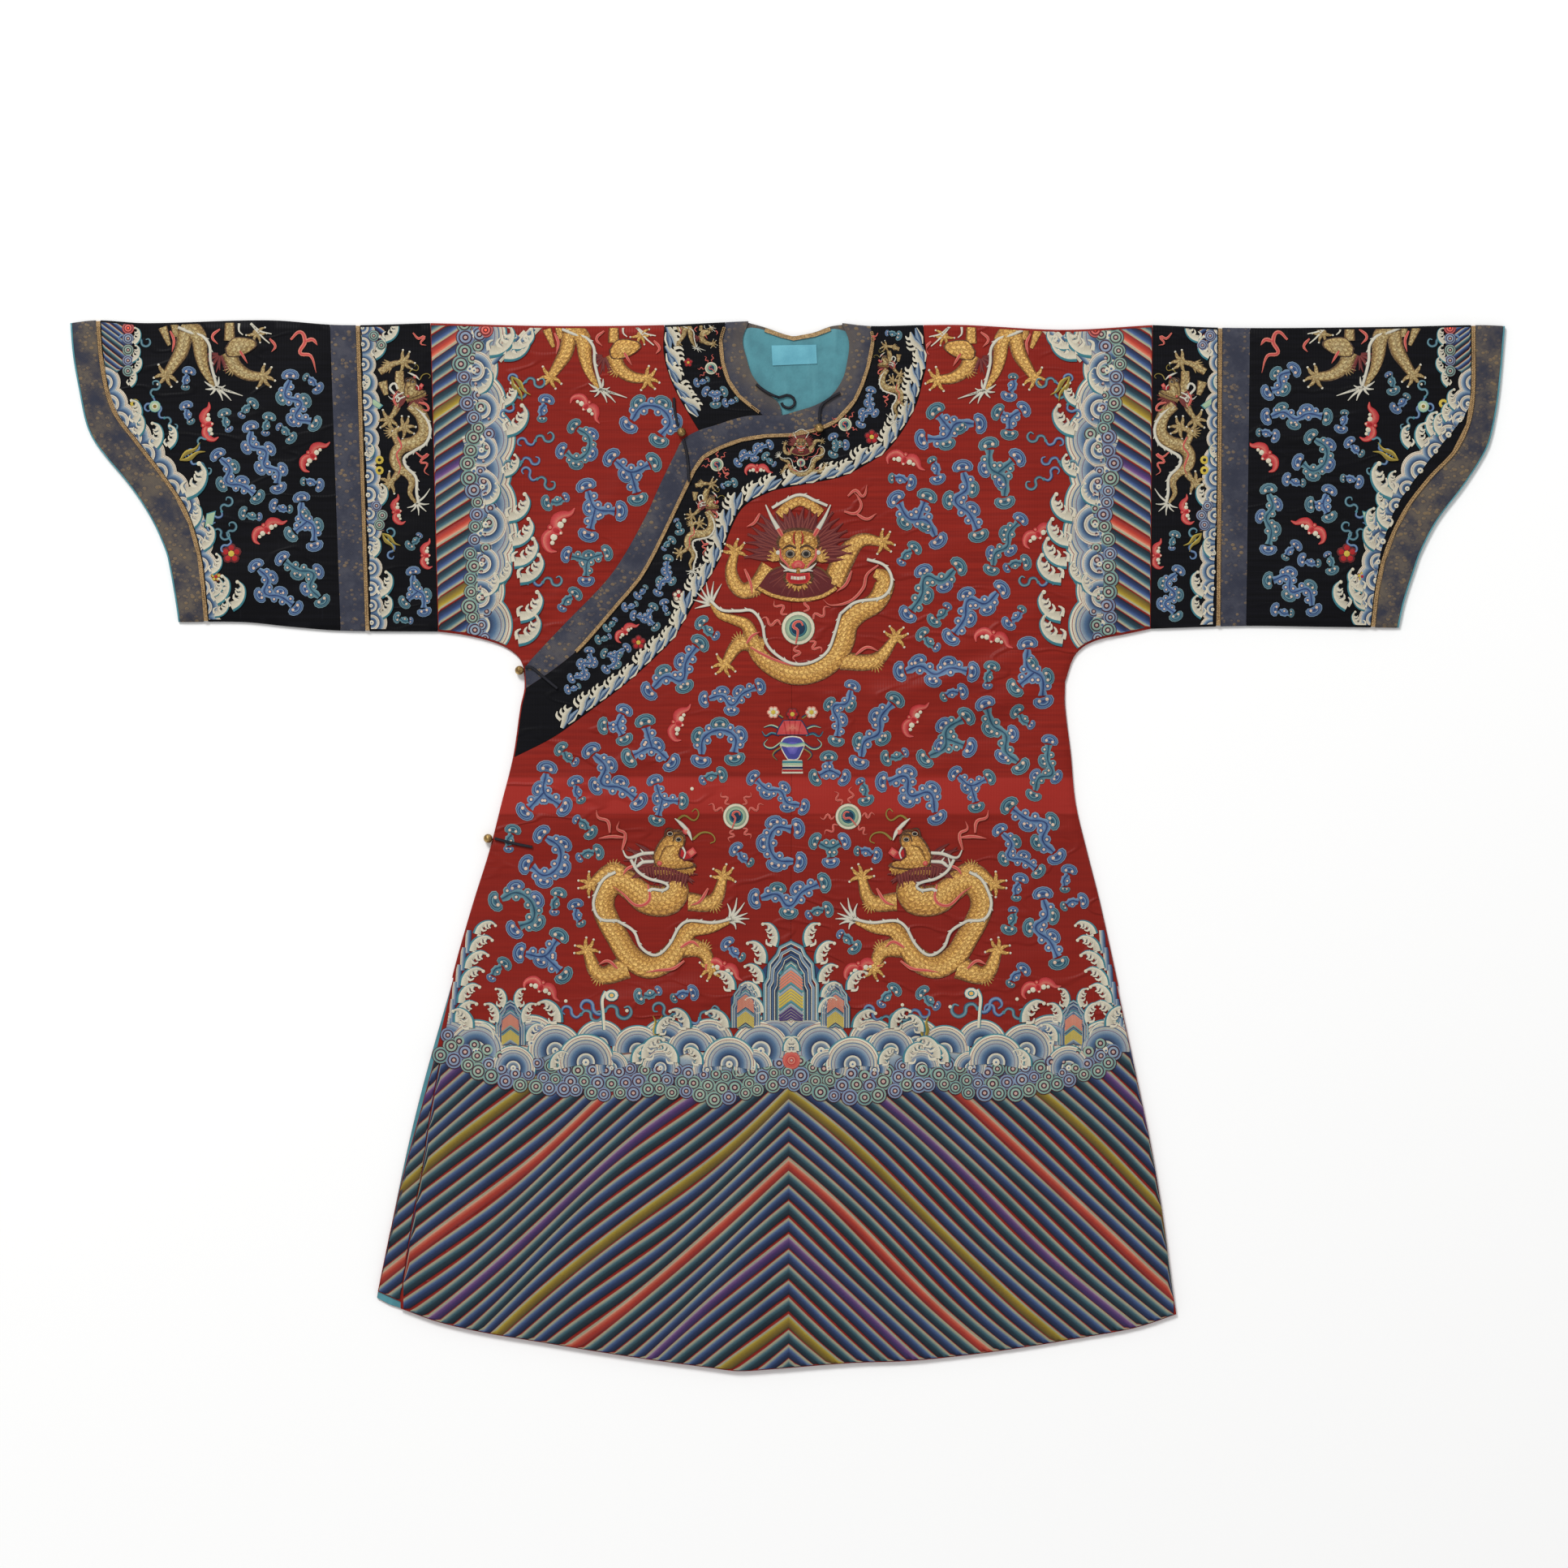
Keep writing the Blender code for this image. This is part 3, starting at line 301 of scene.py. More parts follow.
# ---- How the cloth lies ------------------------------------------------------------------------
# The robe rests on its back. The front stands off it by the lining and a little air, less towards
# the folded edges, and the overlap lies on the under front. The large folds are the solids' own,
# and the small ones are creases from folding and handling: each is a soft ridge or trough.
WALL = 1.2  # silk, interlining and lining together
THIN = 1.0
GAP = 0.3
SEAM = 0.16
BACK_MID = WALL / 2
LINING_MID = WALL + GAP + THIN / 2
UNDER_MID = LINING_MID + THIN / 2 + GAP + WALL / 2
LAYER = WALL + GAP
PUFF, PUFF_RUN = 2.4, 45.0
OVERLAP_ENDS = (20.0, 230.0)
FOLDS = [
    # x0, y0, x1, y1, half width, height
    (110, 150, 235, 196, 20, 2.6), (95, 98, 215, 136, 22, -1.4),
    (215, 150, 292, 188, 18, 2.2), (150, 40, 285, 76, 26, 2.0),
    (-255, 20, -120, 52, 24, 1.8), (-215, -190, -75, -160, 24, 2.6),
    (40, -150, 190, -185, 26, 2.0), (-330, 250, -215, 330, 26, 2.2),
    (-352, 300, -300, 420, 24, 1.6), (325, 245, 235, 330, 26, 2.4),
    (350, 300, 300, 410, 24, 1.6), (-612, 262, -520, 300, 24, 2.4),
    (-560, 420, -500, 500, 28, 1.4), (600, 262, 505, 305, 24, 2.0),
    (540, 430, 630, 500, 28, 1.4), (-52, -470, -30, -300, 22, 2.2),
    (45, -520, 60, -330, 26, 1.8), (-300, -440, -230, -300, 30, 1.6),
    (250, -480, 215, -320, 30, 1.8), (-60, 240, 70, 170, 30, 1.2),
]
CREASES = [
    # x0, y0, x1, y1, half width, height
    (96, 158, 176, 178, 9, 1.7), (118, 172, 232, 210, 8, -1.2), (150, 128, 262, 166, 9, 1.5),
    (204, 118, 285, 150, 10, -1.1), (110, 70, 190, 96, 9, 1.0), (176, 206, 262, 246, 9, 0.9),
    (-8, 166, 60, 150, 9, 0.9), (60, 300, 120, 262, 11, 0.8), (150, 300, 206, 330, 10, 0.7),
    (210, 420, 250, 350, 10, 0.9), (268, 380, 300, 300, 10, -0.8), (-262, 250, -190, 300, 9, 1.3),
    (-300, 226, -236, 276, 8, -0.9), (-205, 330, -160, 400, 10, 0.8),
    (-318, 330, -290, 410, 9, 0.9), (-246, 62, -150, 92, 9, 1.1), (-262, -20, -170, 6, 9, -0.9),
    (-180, 30, -60, 44, 9, 0.8), (-300, -60, -210, -50, 9, 0.9), (-330, -160, -250, -146, 10, 0.9),
    (-60, 56, 40, 50, 10, 0.7), (40, 6, 130, -4, 9, 0.8), (170, 4, 290, 14, 10, 0.9),
    (-190, -166, -96, -146, 8, 1.5), (-170, -186, -70, -178, 8, -1.0),
    (-60, -120, 10, -108, 9, 0.8), (60, -166, 150, -190, 8, 1.3), (76, -140, 176, -162, 8, -0.9),
    (200, -128, 292, -112, 9, 1.0), (230, -196, 320, -186, 9, 0.8), (-36, -500, -26, -410, 8, 1.4),
    (-16, -524, -12, -440, 7, -1.0), (16, -520, 24, -420, 8, 1.2), (-70, -470, -60, -380, 9, 0.9),
    (-340, -420, -310, -330, 10, 0.9), (150, -470, 140, -360, 10, 0.8),
    (320, -430, 300, -330, 10, 0.9), (-200, -470, -180, -360, 10, 0.8),
    (-700, 500, -620, 505, 9, 0.6), (-600, 330, -530, 390, 10, 0.9),
    (-585, 250, -500, 262, 9, 1.1), (-430, 250, -390, 330, 9, 0.8),
    (-545, 330, -500, 420, 10, 0.7), (420, 250, 392, 320, 9, 0.8), (600, 330, 520, 380, 10, 0.9),
    (575, 246, 500, 256, 9, 1.0), (560, 420, 620, 470, 10, 0.7), (-390, 420, -400, 500, 9, 0.6),
]
CREASE_RISE = 1.45  # the creases were set one by one and then all raised alike
LIFT_CELL = 4.0
LIFT_X = np.arange(-804.0, 808.0, LIFT_CELL)
LIFT_Y = np.arange(-604.0, 608.0, LIFT_CELL)


def lift_table():
    """How far the laid front stands above its lowest place, over the whole robe."""
    across, up = np.meshgrid(LIFT_X, LIFT_Y, indexing="ij")
    points = np.stack([across.ravel(), up.ravel()], 1)
    edge = distance_to(points, SILHOUETTE)
    folds = np.zeros(len(points))
    for x0, y0, x1, y1, half_width, height, rise in (
            [(*fold, 1.0) for fold in FOLDS] + [(*crease_and_shade, CREASE_RISE) for crease_and_shade in CREASES]):
        start, run = np.array((x0, y0), float), np.array((x1 - x0, y1 - y0), float)
        along = np.clip(((points - start) @ run) / (run @ run), 0, 1)
        side = (points - start - along[:, None] * run) / half_width
        folds += rise * height * np.exp(-(side**2).sum(1))
    raised = PUFF * (1 - np.exp(-edge / PUFF_RUN)) + folds * smoothstep(edge / 30)
    return np.maximum(raised, 0.0).reshape(across.shape)


LIFT = lift_table()


def lift(x, y):
    """The lift at many places, read between the table's cells."""
    u = np.clip((np.asarray(x, float) - LIFT_X[0]) / LIFT_CELL, 0, len(LIFT_X) - 1.001)
    v = np.clip((np.asarray(y, float) - LIFT_Y[0]) / LIFT_CELL, 0, len(LIFT_Y) - 1.001)
    i, j = u.astype(int), v.astype(int)
    u, v = u - i, v - j
    return (LIFT[i, j] * (1 - u) * (1 - v) + LIFT[i + 1, j] * u * (1 - v)
            + LIFT[i, j + 1] * (1 - u) * v + LIFT[i + 1, j + 1] * u * v)


def under_level(x, y):
    """The middle of the cloth of the under front and the sleeves."""
    return UNDER_MID + lift(x, y)


def over_level(x, y):
    """The middle of the cloth of the overlap, the left body and the collar."""
    low, high = OVERLAP_ENDS
    doubled = 1 - smoothstep((np.asarray(x, float) - low) / (high - low))
    return UNDER_MID + lift(x, y) + LAYER * doubled


def back_level(x, y):
    return np.full(np.shape(x), BACK_MID + BACK_RISE)


# ---- The body lengths --------------------------------------------------------------------------
# Two widths of red silk satin, folded over the shoulders so that front and back are one piece.
# Each is lined and lies as a thin flattened shell, with its raw seam edges turned in.
CLOTH_STEP = 6.5
BACK_STEP = 14.0
BACK_RISE = 0.55  # the back's embroidery stands between the cloth and the table
FOLD_BULGE = 0.9
SEAM_DIP = 0.35
RED = (0.268, 0.0175, 0.0100)
RED_DEEP = (0.195, 0.0125, 0.0080)
RED_BRIGHT = (0.345, 0.0260, 0.0190)
UNFADED_BAND = (34.0, 72.0)  # y of a stretch that light has bleached less


class Value:
    """A number in a material, with the arithmetic of plain numbers."""

    def __init__(self, finish, socket):
        self.finish, self.socket = finish, socket

    def _math(self, operation, *terms):
        return self.finish.node("ShaderNodeMath", {"operation": operation},
                                dict(enumerate(terms)))

    def __add__(self, other):
        return self._math("ADD", self, other)

    def __sub__(self, other):
        return self._math("SUBTRACT", self, other)

    def __rsub__(self, other):
        return self._math("SUBTRACT", other, self)

    def __mul__(self, other):
        return self._math("MULTIPLY", self, other)

    def __truediv__(self, other):
        return self._math("DIVIDE", self, other)

    def __neg__(self):
        return self * -1.0

    __radd__, __rmul__ = __add__, __mul__

    def call(self, operation, *terms):
        return self._math(operation, self, *terms)

    def step(self, low, high):
        """0 below low, 1 above high and smooth between them."""
        return self.finish.node("ShaderNodeMapRange", {"interpolation_type": "SMOOTHSTEP"},
                                {"Value": self, "From Min": low, "From Max": high})


class Finish:
    """A material while it is put together."""

    def __init__(self, name, roughness, metallic=0.0, specular=0.5):
        self.made = bpy.data.materials.new(name)
        self.made.use_nodes = True
        self.tree = self.made.node_tree
        self.shader = self.tree.nodes["Principled BSDF"]
        for socket, value in (("Roughness", roughness), ("Metallic", metallic),
                              ("Specular IOR Level", specular)):
            self.shader.inputs[socket].default_value = value

    def node(self, kind, settings=None, sockets=None, out=0):
        made = self.tree.nodes.new(kind)
        for name, value in (settings or {}).items():
            setattr(made, name, value)
        for name, value in (sockets or {}).items():
            if isinstance(value, Value):
                self.tree.links.new(value.socket, made.inputs[name])
            else:
                made.inputs[name].default_value = value
        return Value(self, made.outputs[out])

    def place(self):
        """The robe's own coordinates, in metres."""
        return self.node("ShaderNodeTexCoord", out="Object")

    def parts(self, vector):
        split = self.tree.nodes.new("ShaderNodeSeparateXYZ")
        self.tree.links.new(vector.socket, split.inputs[0])
        return [Value(self, socket) for socket in split.outputs]

    def scaled(self, vector, x, y, turn=0.0):
        return self.node("ShaderNodeMapping", None,
                         {"Vector": vector, "Rotation": (0, 0, turn), "Scale": (x, y, 1.0)})

    def noise(self, vector, scale, detail=2.0, rough=0.5):
        return self.node("ShaderNodeTexNoise", None, {
            "Vector": vector, "Scale": scale, "Detail": detail, "Roughness": rough})

    def cells(self, vector, scale):
        return self.node("ShaderNodeTexVoronoi", None, {"Vector": vector, "Scale": scale})

    def mix(self, share, first, second, blend="MIX"):
        """Two colours mixed; each is a colour or the socket of one."""
        ends = {6: first, 7: second}
        ends = {n: c if isinstance(c, Value) else (*c, 1.0) for n, c in ends.items()}
        return self.node("ShaderNodeMix", {"data_type": "RGBA", "blend_type": blend},
                         {0: share, **ends}, 2)

    def colour(self, value):
        self.tree.links.new(value.socket, self.shader.inputs["Base Color"])

    def roughness(self, value):
        self.tree.links.new(value.socket, self.shader.inputs["Roughness"])

    def bump(self, height, depth, strength=1.0):
        """Fine relief: height from 0 to 1 stands for a depth in metres."""
        raised = self.node("ShaderNodeBump", None,
                           {"Height": height, "Distance": depth, "Strength": strength})
        self.tree.links.new(raised.socket, self.shader.inputs["Normal"])


def silk_satin(name, colour, deep, bright, band=None, specular=0.11):
    """Silk satin: fine threads across, streaks along the weft, worn and darkened in places, with
    painted shade in its fine creases.
    """
    finish = Finish(name, 0.42, specular=specular)
    place = finish.place()
    across, up, _ = finish.parts(place)
    streaks = finish.noise(finish.scaled(place, 8.0, 260.0), 1.0, 3.0, 0.6)
    warp = finish.noise(finish.scaled(place, 420.0, 30.0), 1.0, 2.0, 0.6)
    wear = finish.noise(place, 5.5, 4.0, 0.6)
    base = finish.mix(streaks.step(0.30, 0.72), deep, colour)
    base = finish.mix(wear.step(0.35, 0.75) * 0.55, base, deep)
    if band:
        low, high = (edge * MM for edge in band)
        inside = up.step(low - 0.0015, low + 0.0015) * (1 - up.step(high - 0.002, high + 0.002))
        base = finish.mix(inside * 0.8, base, bright)
        base = finish.mix((1 - up.step(-0.02, 0.06)) * 0.45, base, deep)
    base = finish.mix(warp.step(0.62, 0.8) * 0.22, base, bright)
    threads = across.call("MULTIPLY", 2200.0).call("SINE") * 0.5 + 0.5
    # Fine crease lines in patches: raised by the bump, and darkened towards the deep colour as
    # painted shade.
    ruffle = finish.noise(finish.scaled(place, 9.0, 21.0), 1.0, 2.0, 0.5)
    crease_and_shade = 1 - (ruffle - 0.5).call("ABSOLUTE").step(0.0, 0.035)
    patch = finish.noise(place, 4.0, 2.0, 0.5).step(0.42, 0.58)
    base = finish.mix(crease_and_shade * patch * 0.35, base, deep)
    finish.colour(base)
    finish.roughness(wear * 0.18 + 0.36)
    finish.bump((threads * 0.35 + streaks * 0.4 + warp * 0.25) * 0.2
                + crease_and_shade * patch * (0.8 if band else 0.4), 0.0011)
    return finish.made


def signed_area(loop):
    x, y = np.array(loop, float).T
    return float((x * np.roll(y, -1) - y * np.roll(x, -1)).sum() / 2)


EDGE_CLEAR = 0.55  # least way from an inner point to the edge, as a share of the step
FRAME_ROOM = 99  # how far outside a loop its triangulation's corners stand
MERGE = 1e-4  # points as close as this are one


def filled(loop, step):
    """Points and triangles that fill a closed loop, with even rows of points inside it."""
    loop = np.array(loop, float)
    low, high = loop.min(0), loop.max(0)
    rows = np.arange(low[1] + step / 2, high[1], step * math.sqrt(3) / 2)
    inner = np.array([(x, y) for row, y in enumerate(rows)
                      for x in np.arange(low[0] + step * (0.5 + row % 2 / 2), high[0], step)])
    inner = inner.reshape(-1, 2)
    inner = inner[within(inner, loop)]
    inner = inner[distance_to(inner, np.stack([loop, np.roll(loop, -1, 0)], 1))
                  > step * EDGE_CLEAR]
    verts = np.concatenate([loop, inner])
    frame_corners = [(x, y) for x in (low[0] - FRAME_ROOM, high[0] + FRAME_ROOM)
                     for y in (low[1] - FRAME_ROOM, high[1] + FRAME_ROOM)]
    count = len(loop)
    _, _, faces, *_ = delaunay_2d_cdt(
        [Vector(p) for p in (*verts, *frame_corners)],
        [(k, (k + 1) % count) for k in range(count)], [], 0, MERGE, True)
    faces = np.array([face for face in faces if max(face) < len(verts)])
    inside = within(verts[faces].mean(1), loop)
    return verts, faces[inside].tolist()


def finish_mesh(name, points, faces, material, smooth=60.0):
    """An object at the origin from points in millimetres."""
    mesh = bpy.data.meshes.new(name)
    mesh.from_pydata([tuple(p) for p in np.asarray(points, float) * MM], [], faces)
    mesh.materials.append(material)
    mesh.shade_smooth()
    mesh.set_sharp_from_angle(angle=math.radians(smooth))
    return linked(name, mesh)


def walled(points, faces, thickness):
    """Both surfaces and the rim of a cloth whose middle is given."""
    points = np.array(points, float)
    normals = np.zeros((len(points), 3))
    rim = {}
    for face in faces:
        corner = points[face]
        facing = np.cross(corner[1] - corner[0], corner[2] - corner[0])
        if len(face) == 4:
            facing = facing + np.cross(corner[2] - corner[0], corner[3] - corner[0])
        normals[face] += facing / max(np.linalg.norm(facing), 1e-9) ** 0.5
        for i, j in zip(face, face[1:] + face[:1]):
            if (j, i) in rim:
                del rim[(j, i)]
            else:
                rim[(i, j)] = True
    normals /= np.maximum(np.linalg.norm(normals, axis=1), 1e-9)[:, None]
    outer, inner = points + normals * thickness / 2, points - normals * thickness / 2
    both = np.concatenate([outer, inner])
    both[:, 2] = np.maximum(both[:, 2], 0.0)
    count = len(points)
    shell = faces + [[count + i for i in face[::-1]] for face in faces]
    shell += [[j, i, count + i, count + j] for i, j in rim]
    return both, shell


class Cut:
    """One cut piece of cloth: its front and back stretches, joined along their folds."""

    def __init__(self, folds=()):
        self.points, self.faces, self.area = [], [], 0.0
        self.fold_keys = {frozenset((key(a), key(b)))
                          for line in folds for a, b in zip(line[:-1], line[1:])}
        self.behind = {}

    def stretch(self, loop, level, step=CLOTH_STEP, back=False):
        verts, faces = filled(loop, step)
        loop = [tuple(p) for p in loop]
        ring = loop if signed_area(loop) > 0 else loop[::-1]
        index = {key(v): i for i, v in enumerate(verts)}
        heights = level(verts[:, 0], verts[:, 1])
        shift = np.zeros((len(verts), 2))
        folds, outwards = [], {}
        for a, b in zip(ring, ring[1:] + ring[:1]):
            i, j = index[key(a)], index[key(b)]
            run = verts[j] - verts[i]
            inward = np.array((-run[1], run[0])) / max(np.linalg.norm(run), 1e-9)
            if frozenset((key(a), key(b))) in self.fold_keys:
                folds.append((i, j))
                outwards.setdefault(i, []).append(-inward)
                outwards.setdefault(j, []).append(-inward)
            else:
                shift[i] = shift[j] = inward * SEAM
                if not back:
                    heights[i] = level(*verts[i]) - SEAM_DIP
                    heights[j] = level(*verts[j]) - SEAM_DIP
        first = len(self.points)
        self.points += [(x, y, z) for (x, y), z in zip(verts + shift, heights)]
        self.faces += [[first + i for i in (f[::-1] if back else f)] for f in faces]
        self.area += abs(signed_area(loop)) * MM * MM
        if back:
            for i, j in folds:
                self.behind[(key(verts[i]), key(verts[j]))] = (first + i, first + j)
            return self
        middle = {}
        for i, j in folds:
            edge = (key(verts[i]), key(verts[j]))
            if edge not in self.behind:
                continue
            back_i, back_j = self.behind[edge]
            for here, there in ((i, back_i), (j, back_j)):
                if here not in middle:
                    out = np.mean(outwards[here], 0) * FOLD_BULGE
                    near, far = self.points[first + here], self.points[there]
                    middle[here] = len(self.points)
                    self.points.append((near[0] + out[0], near[1] + out[1],
                                        (near[2] + far[2]) / 2))
            self.faces.append([first + j, first + i, middle[i], middle[j]])
            self.faces.append([middle[j], middle[i], back_i, back_j])
        return self

    def made(self, name, material, thickness=WALL):
        return finish_mesh(name, *walled(self.points, self.faces, thickness), material, 50.0)


def sewn(piece, nodes):
    """A piece that is sewn on for good, in place of its nodes."""
    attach(piece, "root")
    if nodes:
        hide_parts(nodes)
    return piece


def lay(piece, node):
    """Puts a finished cloth piece in its node's place."""
    sewn(piece, node)


TOP_R_BODY = part_of(TOP_R, SLEEVE_RIGHT_TOP, COLLAR_RIGHT)
TOP_R_COLLAR = part_of(TOP_R, COLLAR_RIGHT, BAND_RIGHT)
TOP_R_BAND = part_of(TOP_R, BAND_RIGHT, NECK_RIGHT)
TOP_L_BAND = part_of(TOP_L, NECK_LEFT, BAND_LEFT)
TOP_L_COLLAR = part_of(TOP_L, BAND_LEFT, COLLAR_LEFT)
TOP_L_BODY = part_of(TOP_L, COLLAR_LEFT, SLEEVE_LEFT_TOP)
HIDDEN_SEAM = part_of(OVER_SEAM, HIDDEN_COLLAR, HIDDEN_MID)

right_back = joined(TOP_R_BODY, part_of(BACK_COLLAR, COLLAR_RIGHT, CENTRE_BACK_TOP),
                    CENTRE_BACK, HEM_R, VENT_R, SIDE_R, ARM_R, SEAM_R)
left_back = joined(TOP_L_BODY, SEAM_L, ARM_L, SIDE_L, VENT_L, HEM_L, CENTRE_BACK[::-1],
                   part_of(BACK_COLLAR, CENTRE_BACK_TOP, COLLAR_LEFT))
right_front = joined(
    TOP_R_BODY, UNDER_COLLAR, [UNDER_COLLAR_END, HIDDEN_COLLAR], HIDDEN_SEAM, CENTRE_UNDER,
    part_of(HEM_R, HEM_CENTRE, HEM_JOIN), UNDER_HEM_EDGE[::-1],
    part_of(VENT_R, UNDER_HEM, UNDER_MEETS_EDGE), UNDER_E[::-1], SIDE_R, ARM_R, SEAM_R,
)
left_front = joined(TOP_L_BODY, SEAM_L, ARM_L, SIDE_L, VENT_L, HEM_L, CENTRE[::-1],
                    part_of(COLLAR, CENTRE_TOP, COLLAR_LEFT))

red_silk = silk_satin("red_silk", RED, RED_DEEP, RED_BRIGHT, UNFADED_BAND)
right_cut = Cut([TOP_R_BODY, ARM_R, SIDE_R])
right_cut.stretch(right_back, back_level, BACK_STEP, back=True)
right_cut.stretch(right_front, under_level)
right_body = right_cut.made("right_body_length", red_silk)
lay(right_body, "body_right")

left_cut = Cut([TOP_L_BODY, ARM_L, SIDE_L])
left_cut.stretch(left_back, back_level, BACK_STEP, back=True)
left_cut.stretch(left_front, over_level)
left_body = left_cut.made("left_body_length", red_silk)
lay(left_body, "body_left")

# ---- The overlap front -------------------------------------------------------------------------
# A third width of the same red satin, seamed to the left length down the centre. It covers the
# under front and closes on the wearer's right, and its free edge opens the right vent.
overlap_loop = joined(
    part_of(COLLAR, COLLAR_TIP, CENTRE_TOP), CENTRE,
    part_of(HEM_R, HEM_CENTRE, HEM_FRONT_EDGE), FRONT_E[::-1],
    part_of(SIDE_R, VENT_RIGHT, COLLAR_TIP),
)
overlap_cut = Cut().stretch(overlap_loop, over_level)
overlap = overlap_cut.made("overlap_front_panel", red_silk)
lay(overlap, "overlap_front")

# ---- The collar border -------------------------------------------------------------------------
# A wide band of blue-black satin, cut in one run: from the tip under the arm along the curved
# overlap edge, round the back of the neck and down the under front.
BLACK = (0.0075, 0.0075, 0.0100)
BLACK_DEEP, BLACK_BRIGHT = (0.005, 0.005, 0.006), (0.02, 0.021, 0.027)
black_silk = silk_satin("black_silk", BLACK, BLACK_DEEP, BLACK_BRIGHT, specular=0.05)
over_collar = joined(TOP_L_COLLAR, COLLAR, part_of(SIDE_R, COLLAR_TIP, BAND_TIP_LOW),
                     OVER_SEAM[::-1])
under_collar = joined(TOP_R_COLLAR, UNDER_SEAM, [UNDER_BAND_OUT, HIDDEN_BAND],
                      part_of(OVER_SEAM, HIDDEN_BAND, HIDDEN_COLLAR),
                      [HIDDEN_COLLAR, UNDER_COLLAR_END], UNDER_COLLAR[::-1])
back_collar = joined(TOP_R_COLLAR, BACK_BAND, TOP_L_COLLAR, BACK_COLLAR[::-1])
collar_cut = Cut([TOP_R_COLLAR, TOP_L_COLLAR])
collar_cut.stretch(back_collar, back_level, BACK_STEP, back=True)
collar_cut.stretch(over_collar, over_level)
collar_cut.stretch(under_collar, under_level)
collar = collar_cut.made("collar_border_band", black_silk)
lay(collar, "collar_border")

# ---- The neck band -----------------------------------------------------------------------------
# A narrow band of grey-blue brocade along the inner edge of the collar border. Small sprays in
# brown-gold thread are woven all over it, and it has rubbed brown on the neck side.
BROCADE, BROCADE_DARK = (0.060, 0.062, 0.083), (0.028, 0.031, 0.050)
BROCADE_GOLD, BROCADE_RUBBED = (0.190, 0.130, 0.070), (0.115, 0.092, 0.070)
NECK_CENTRE = (8.0, 520.0)
RUBBED_OUT = 72.0  # how far from the neck's centre the rubbing reaches


def brocade(name, ground, rubbed_share, near_neck=False):
    """Brocade: a woven spray repeat in gold thread on a ribbed ground, rubbed in places."""
    finish = Finish(name, 0.62, specular=0.2)
    place = finish.place()
    across, up, _ = finish.parts(place)
    wander = finish.noise(place, 90.0, 2.0)
    sprays = finish.cells(finish.scaled(place, 1.0, 1.35, turn=0.6), 150.0)
    leaves = finish.cells(finish.scaled(place, 1.6, 0.8, turn=-0.5), 330.0)
    worn = finish.noise(place, 38.0, 4.0, 0.65)
    gold = (1 - sprays.step(0.26, 0.40)) * leaves.step(0.18, 0.42) * worn.step(0.36, 0.60)
    outline = sprays.step(0.36, 0.44) * (1 - sprays.step(0.46, 0.56))
    base = finish.mix(worn.step(0.3, 0.7), BROCADE_DARK, ground)
    base = finish.mix(outline * 0.5, base, BROCADE_DARK)
    base = finish.mix(worn.step(0.45, 0.75) * rubbed_share, base, BROCADE_RUBBED)
    if near_neck:
        aside, above = across - NECK_CENTRE[0] * MM, up - NECK_CENTRE[1] * MM
        reach = (aside * aside + above * above).call("SQRT")
        near = 1 - (reach + wander * 0.02).step(RUBBED_OUT * MM * 0.8, RUBBED_OUT * MM * 1.25)
        base = finish.mix(near * 0.7, base, BROCADE_RUBBED)
    base = finish.mix(gold * 0.85, base, BROCADE_GOLD)
    ribs = (up + across).call("MULTIPLY", 2600.0).call("SINE") * 0.5 + 0.5
    finish.colour(base)
    finish.roughness(0.68 - gold * 0.18)
    finish.bump(gold * 0.6 + ribs * 0.3 + worn * 0.2, 0.0003)
    return finish.made


band_brocade = brocade("neck_brocade", BROCADE, 0.45, near_neck=True)
over_band = joined(TOP_L_BAND, OVER_SEAM, part_of(SIDE_R, BAND_TIP_LOW, BAND_TIP_UP),
                   OVER_IN[::-1])
under_band = joined(TOP_R_BAND, UNDER_IN, [UNDER_BAND_END, HIDDEN_MID],
                    part_of(OVER_SEAM, HIDDEN_MID, HIDDEN_BAND),
                    [HIDDEN_BAND, UNDER_BAND_OUT], UNDER_SEAM[::-1])
back_band = joined(TOP_R_BAND, NECK_B, TOP_L_BAND, BACK_BAND[::-1])
band_cut = Cut([TOP_R_BAND, TOP_L_BAND])
band_cut.stretch(back_band, back_level, BACK_STEP, back=True)
band_cut.stretch(over_band, over_level)
band_cut.stretch(under_band, under_level)
neck_band = band_cut.made("neck_brocade_band", band_brocade)
lay(neck_band, "neck_band")

# ---- The sleeves -------------------------------------------------------------------------------
# Each sleeve is a row of flattened tubes seamed together: a black band at the body, a brocade
# strip, the long black lower sleeve, and the brocade border of the horseshoe-shaped cuff, whose
# turquoise lining shows as a fine edge.
CUFF_EDGE_WIDTH, SLEEVE_PIPING_WIDTH = 2.0, 4.4
# The bright teal is the painted highlight along the lining's pressed folds.
TEAL, TEAL_DEEP, TEAL_FOLD_HIGHLIGHT = (0.066, 0.255, 0.300), (0.048, 0.195, 0.235), (0.110, 0.340, 0.390)


def lining_silk(name, colour, deep, bright):
    """Thin plain-weave silk: pressed folds lightened with a painted highlight, a soft mottling and
    the glue's stains.
    """
    finish = Finish(name, 0.5)
    place = finish.place()
    mottle = finish.noise(place, 60.0, 4.0, 0.6)
    weave = finish.noise(finish.scaled(place, 900.0, 300.0), 1.0, 2.0)
    folds_and_highlight = finish.noise(finish.scaled(place, 60.0, 9.0, turn=0.35), 1.0, 2.0)
    base = finish.mix(mottle.step(0.3, 0.7), deep, colour)
    # The pressed folds are lightened towards the bright colour: a painted highlight along them.
    base = finish.mix(folds_and_highlight.step(0.5, 0.72) * 0.45, base, bright)
    finish.colour(base)
    finish.bump(weave * 0.3 + folds_and_highlight * 0.7, 0.0006)
    return finish.made


def station_line(points):
    """A sleeve seam as evenly spaced points from the fold to the underarm."""
    return [np.array(p) for p in spaced(points)]


def height_on(line, x):
    fine = np.array(sorted(spaced(line, 10.0)))
    return float(np.interp(x, fine[:, 0], fine[:, 1]))


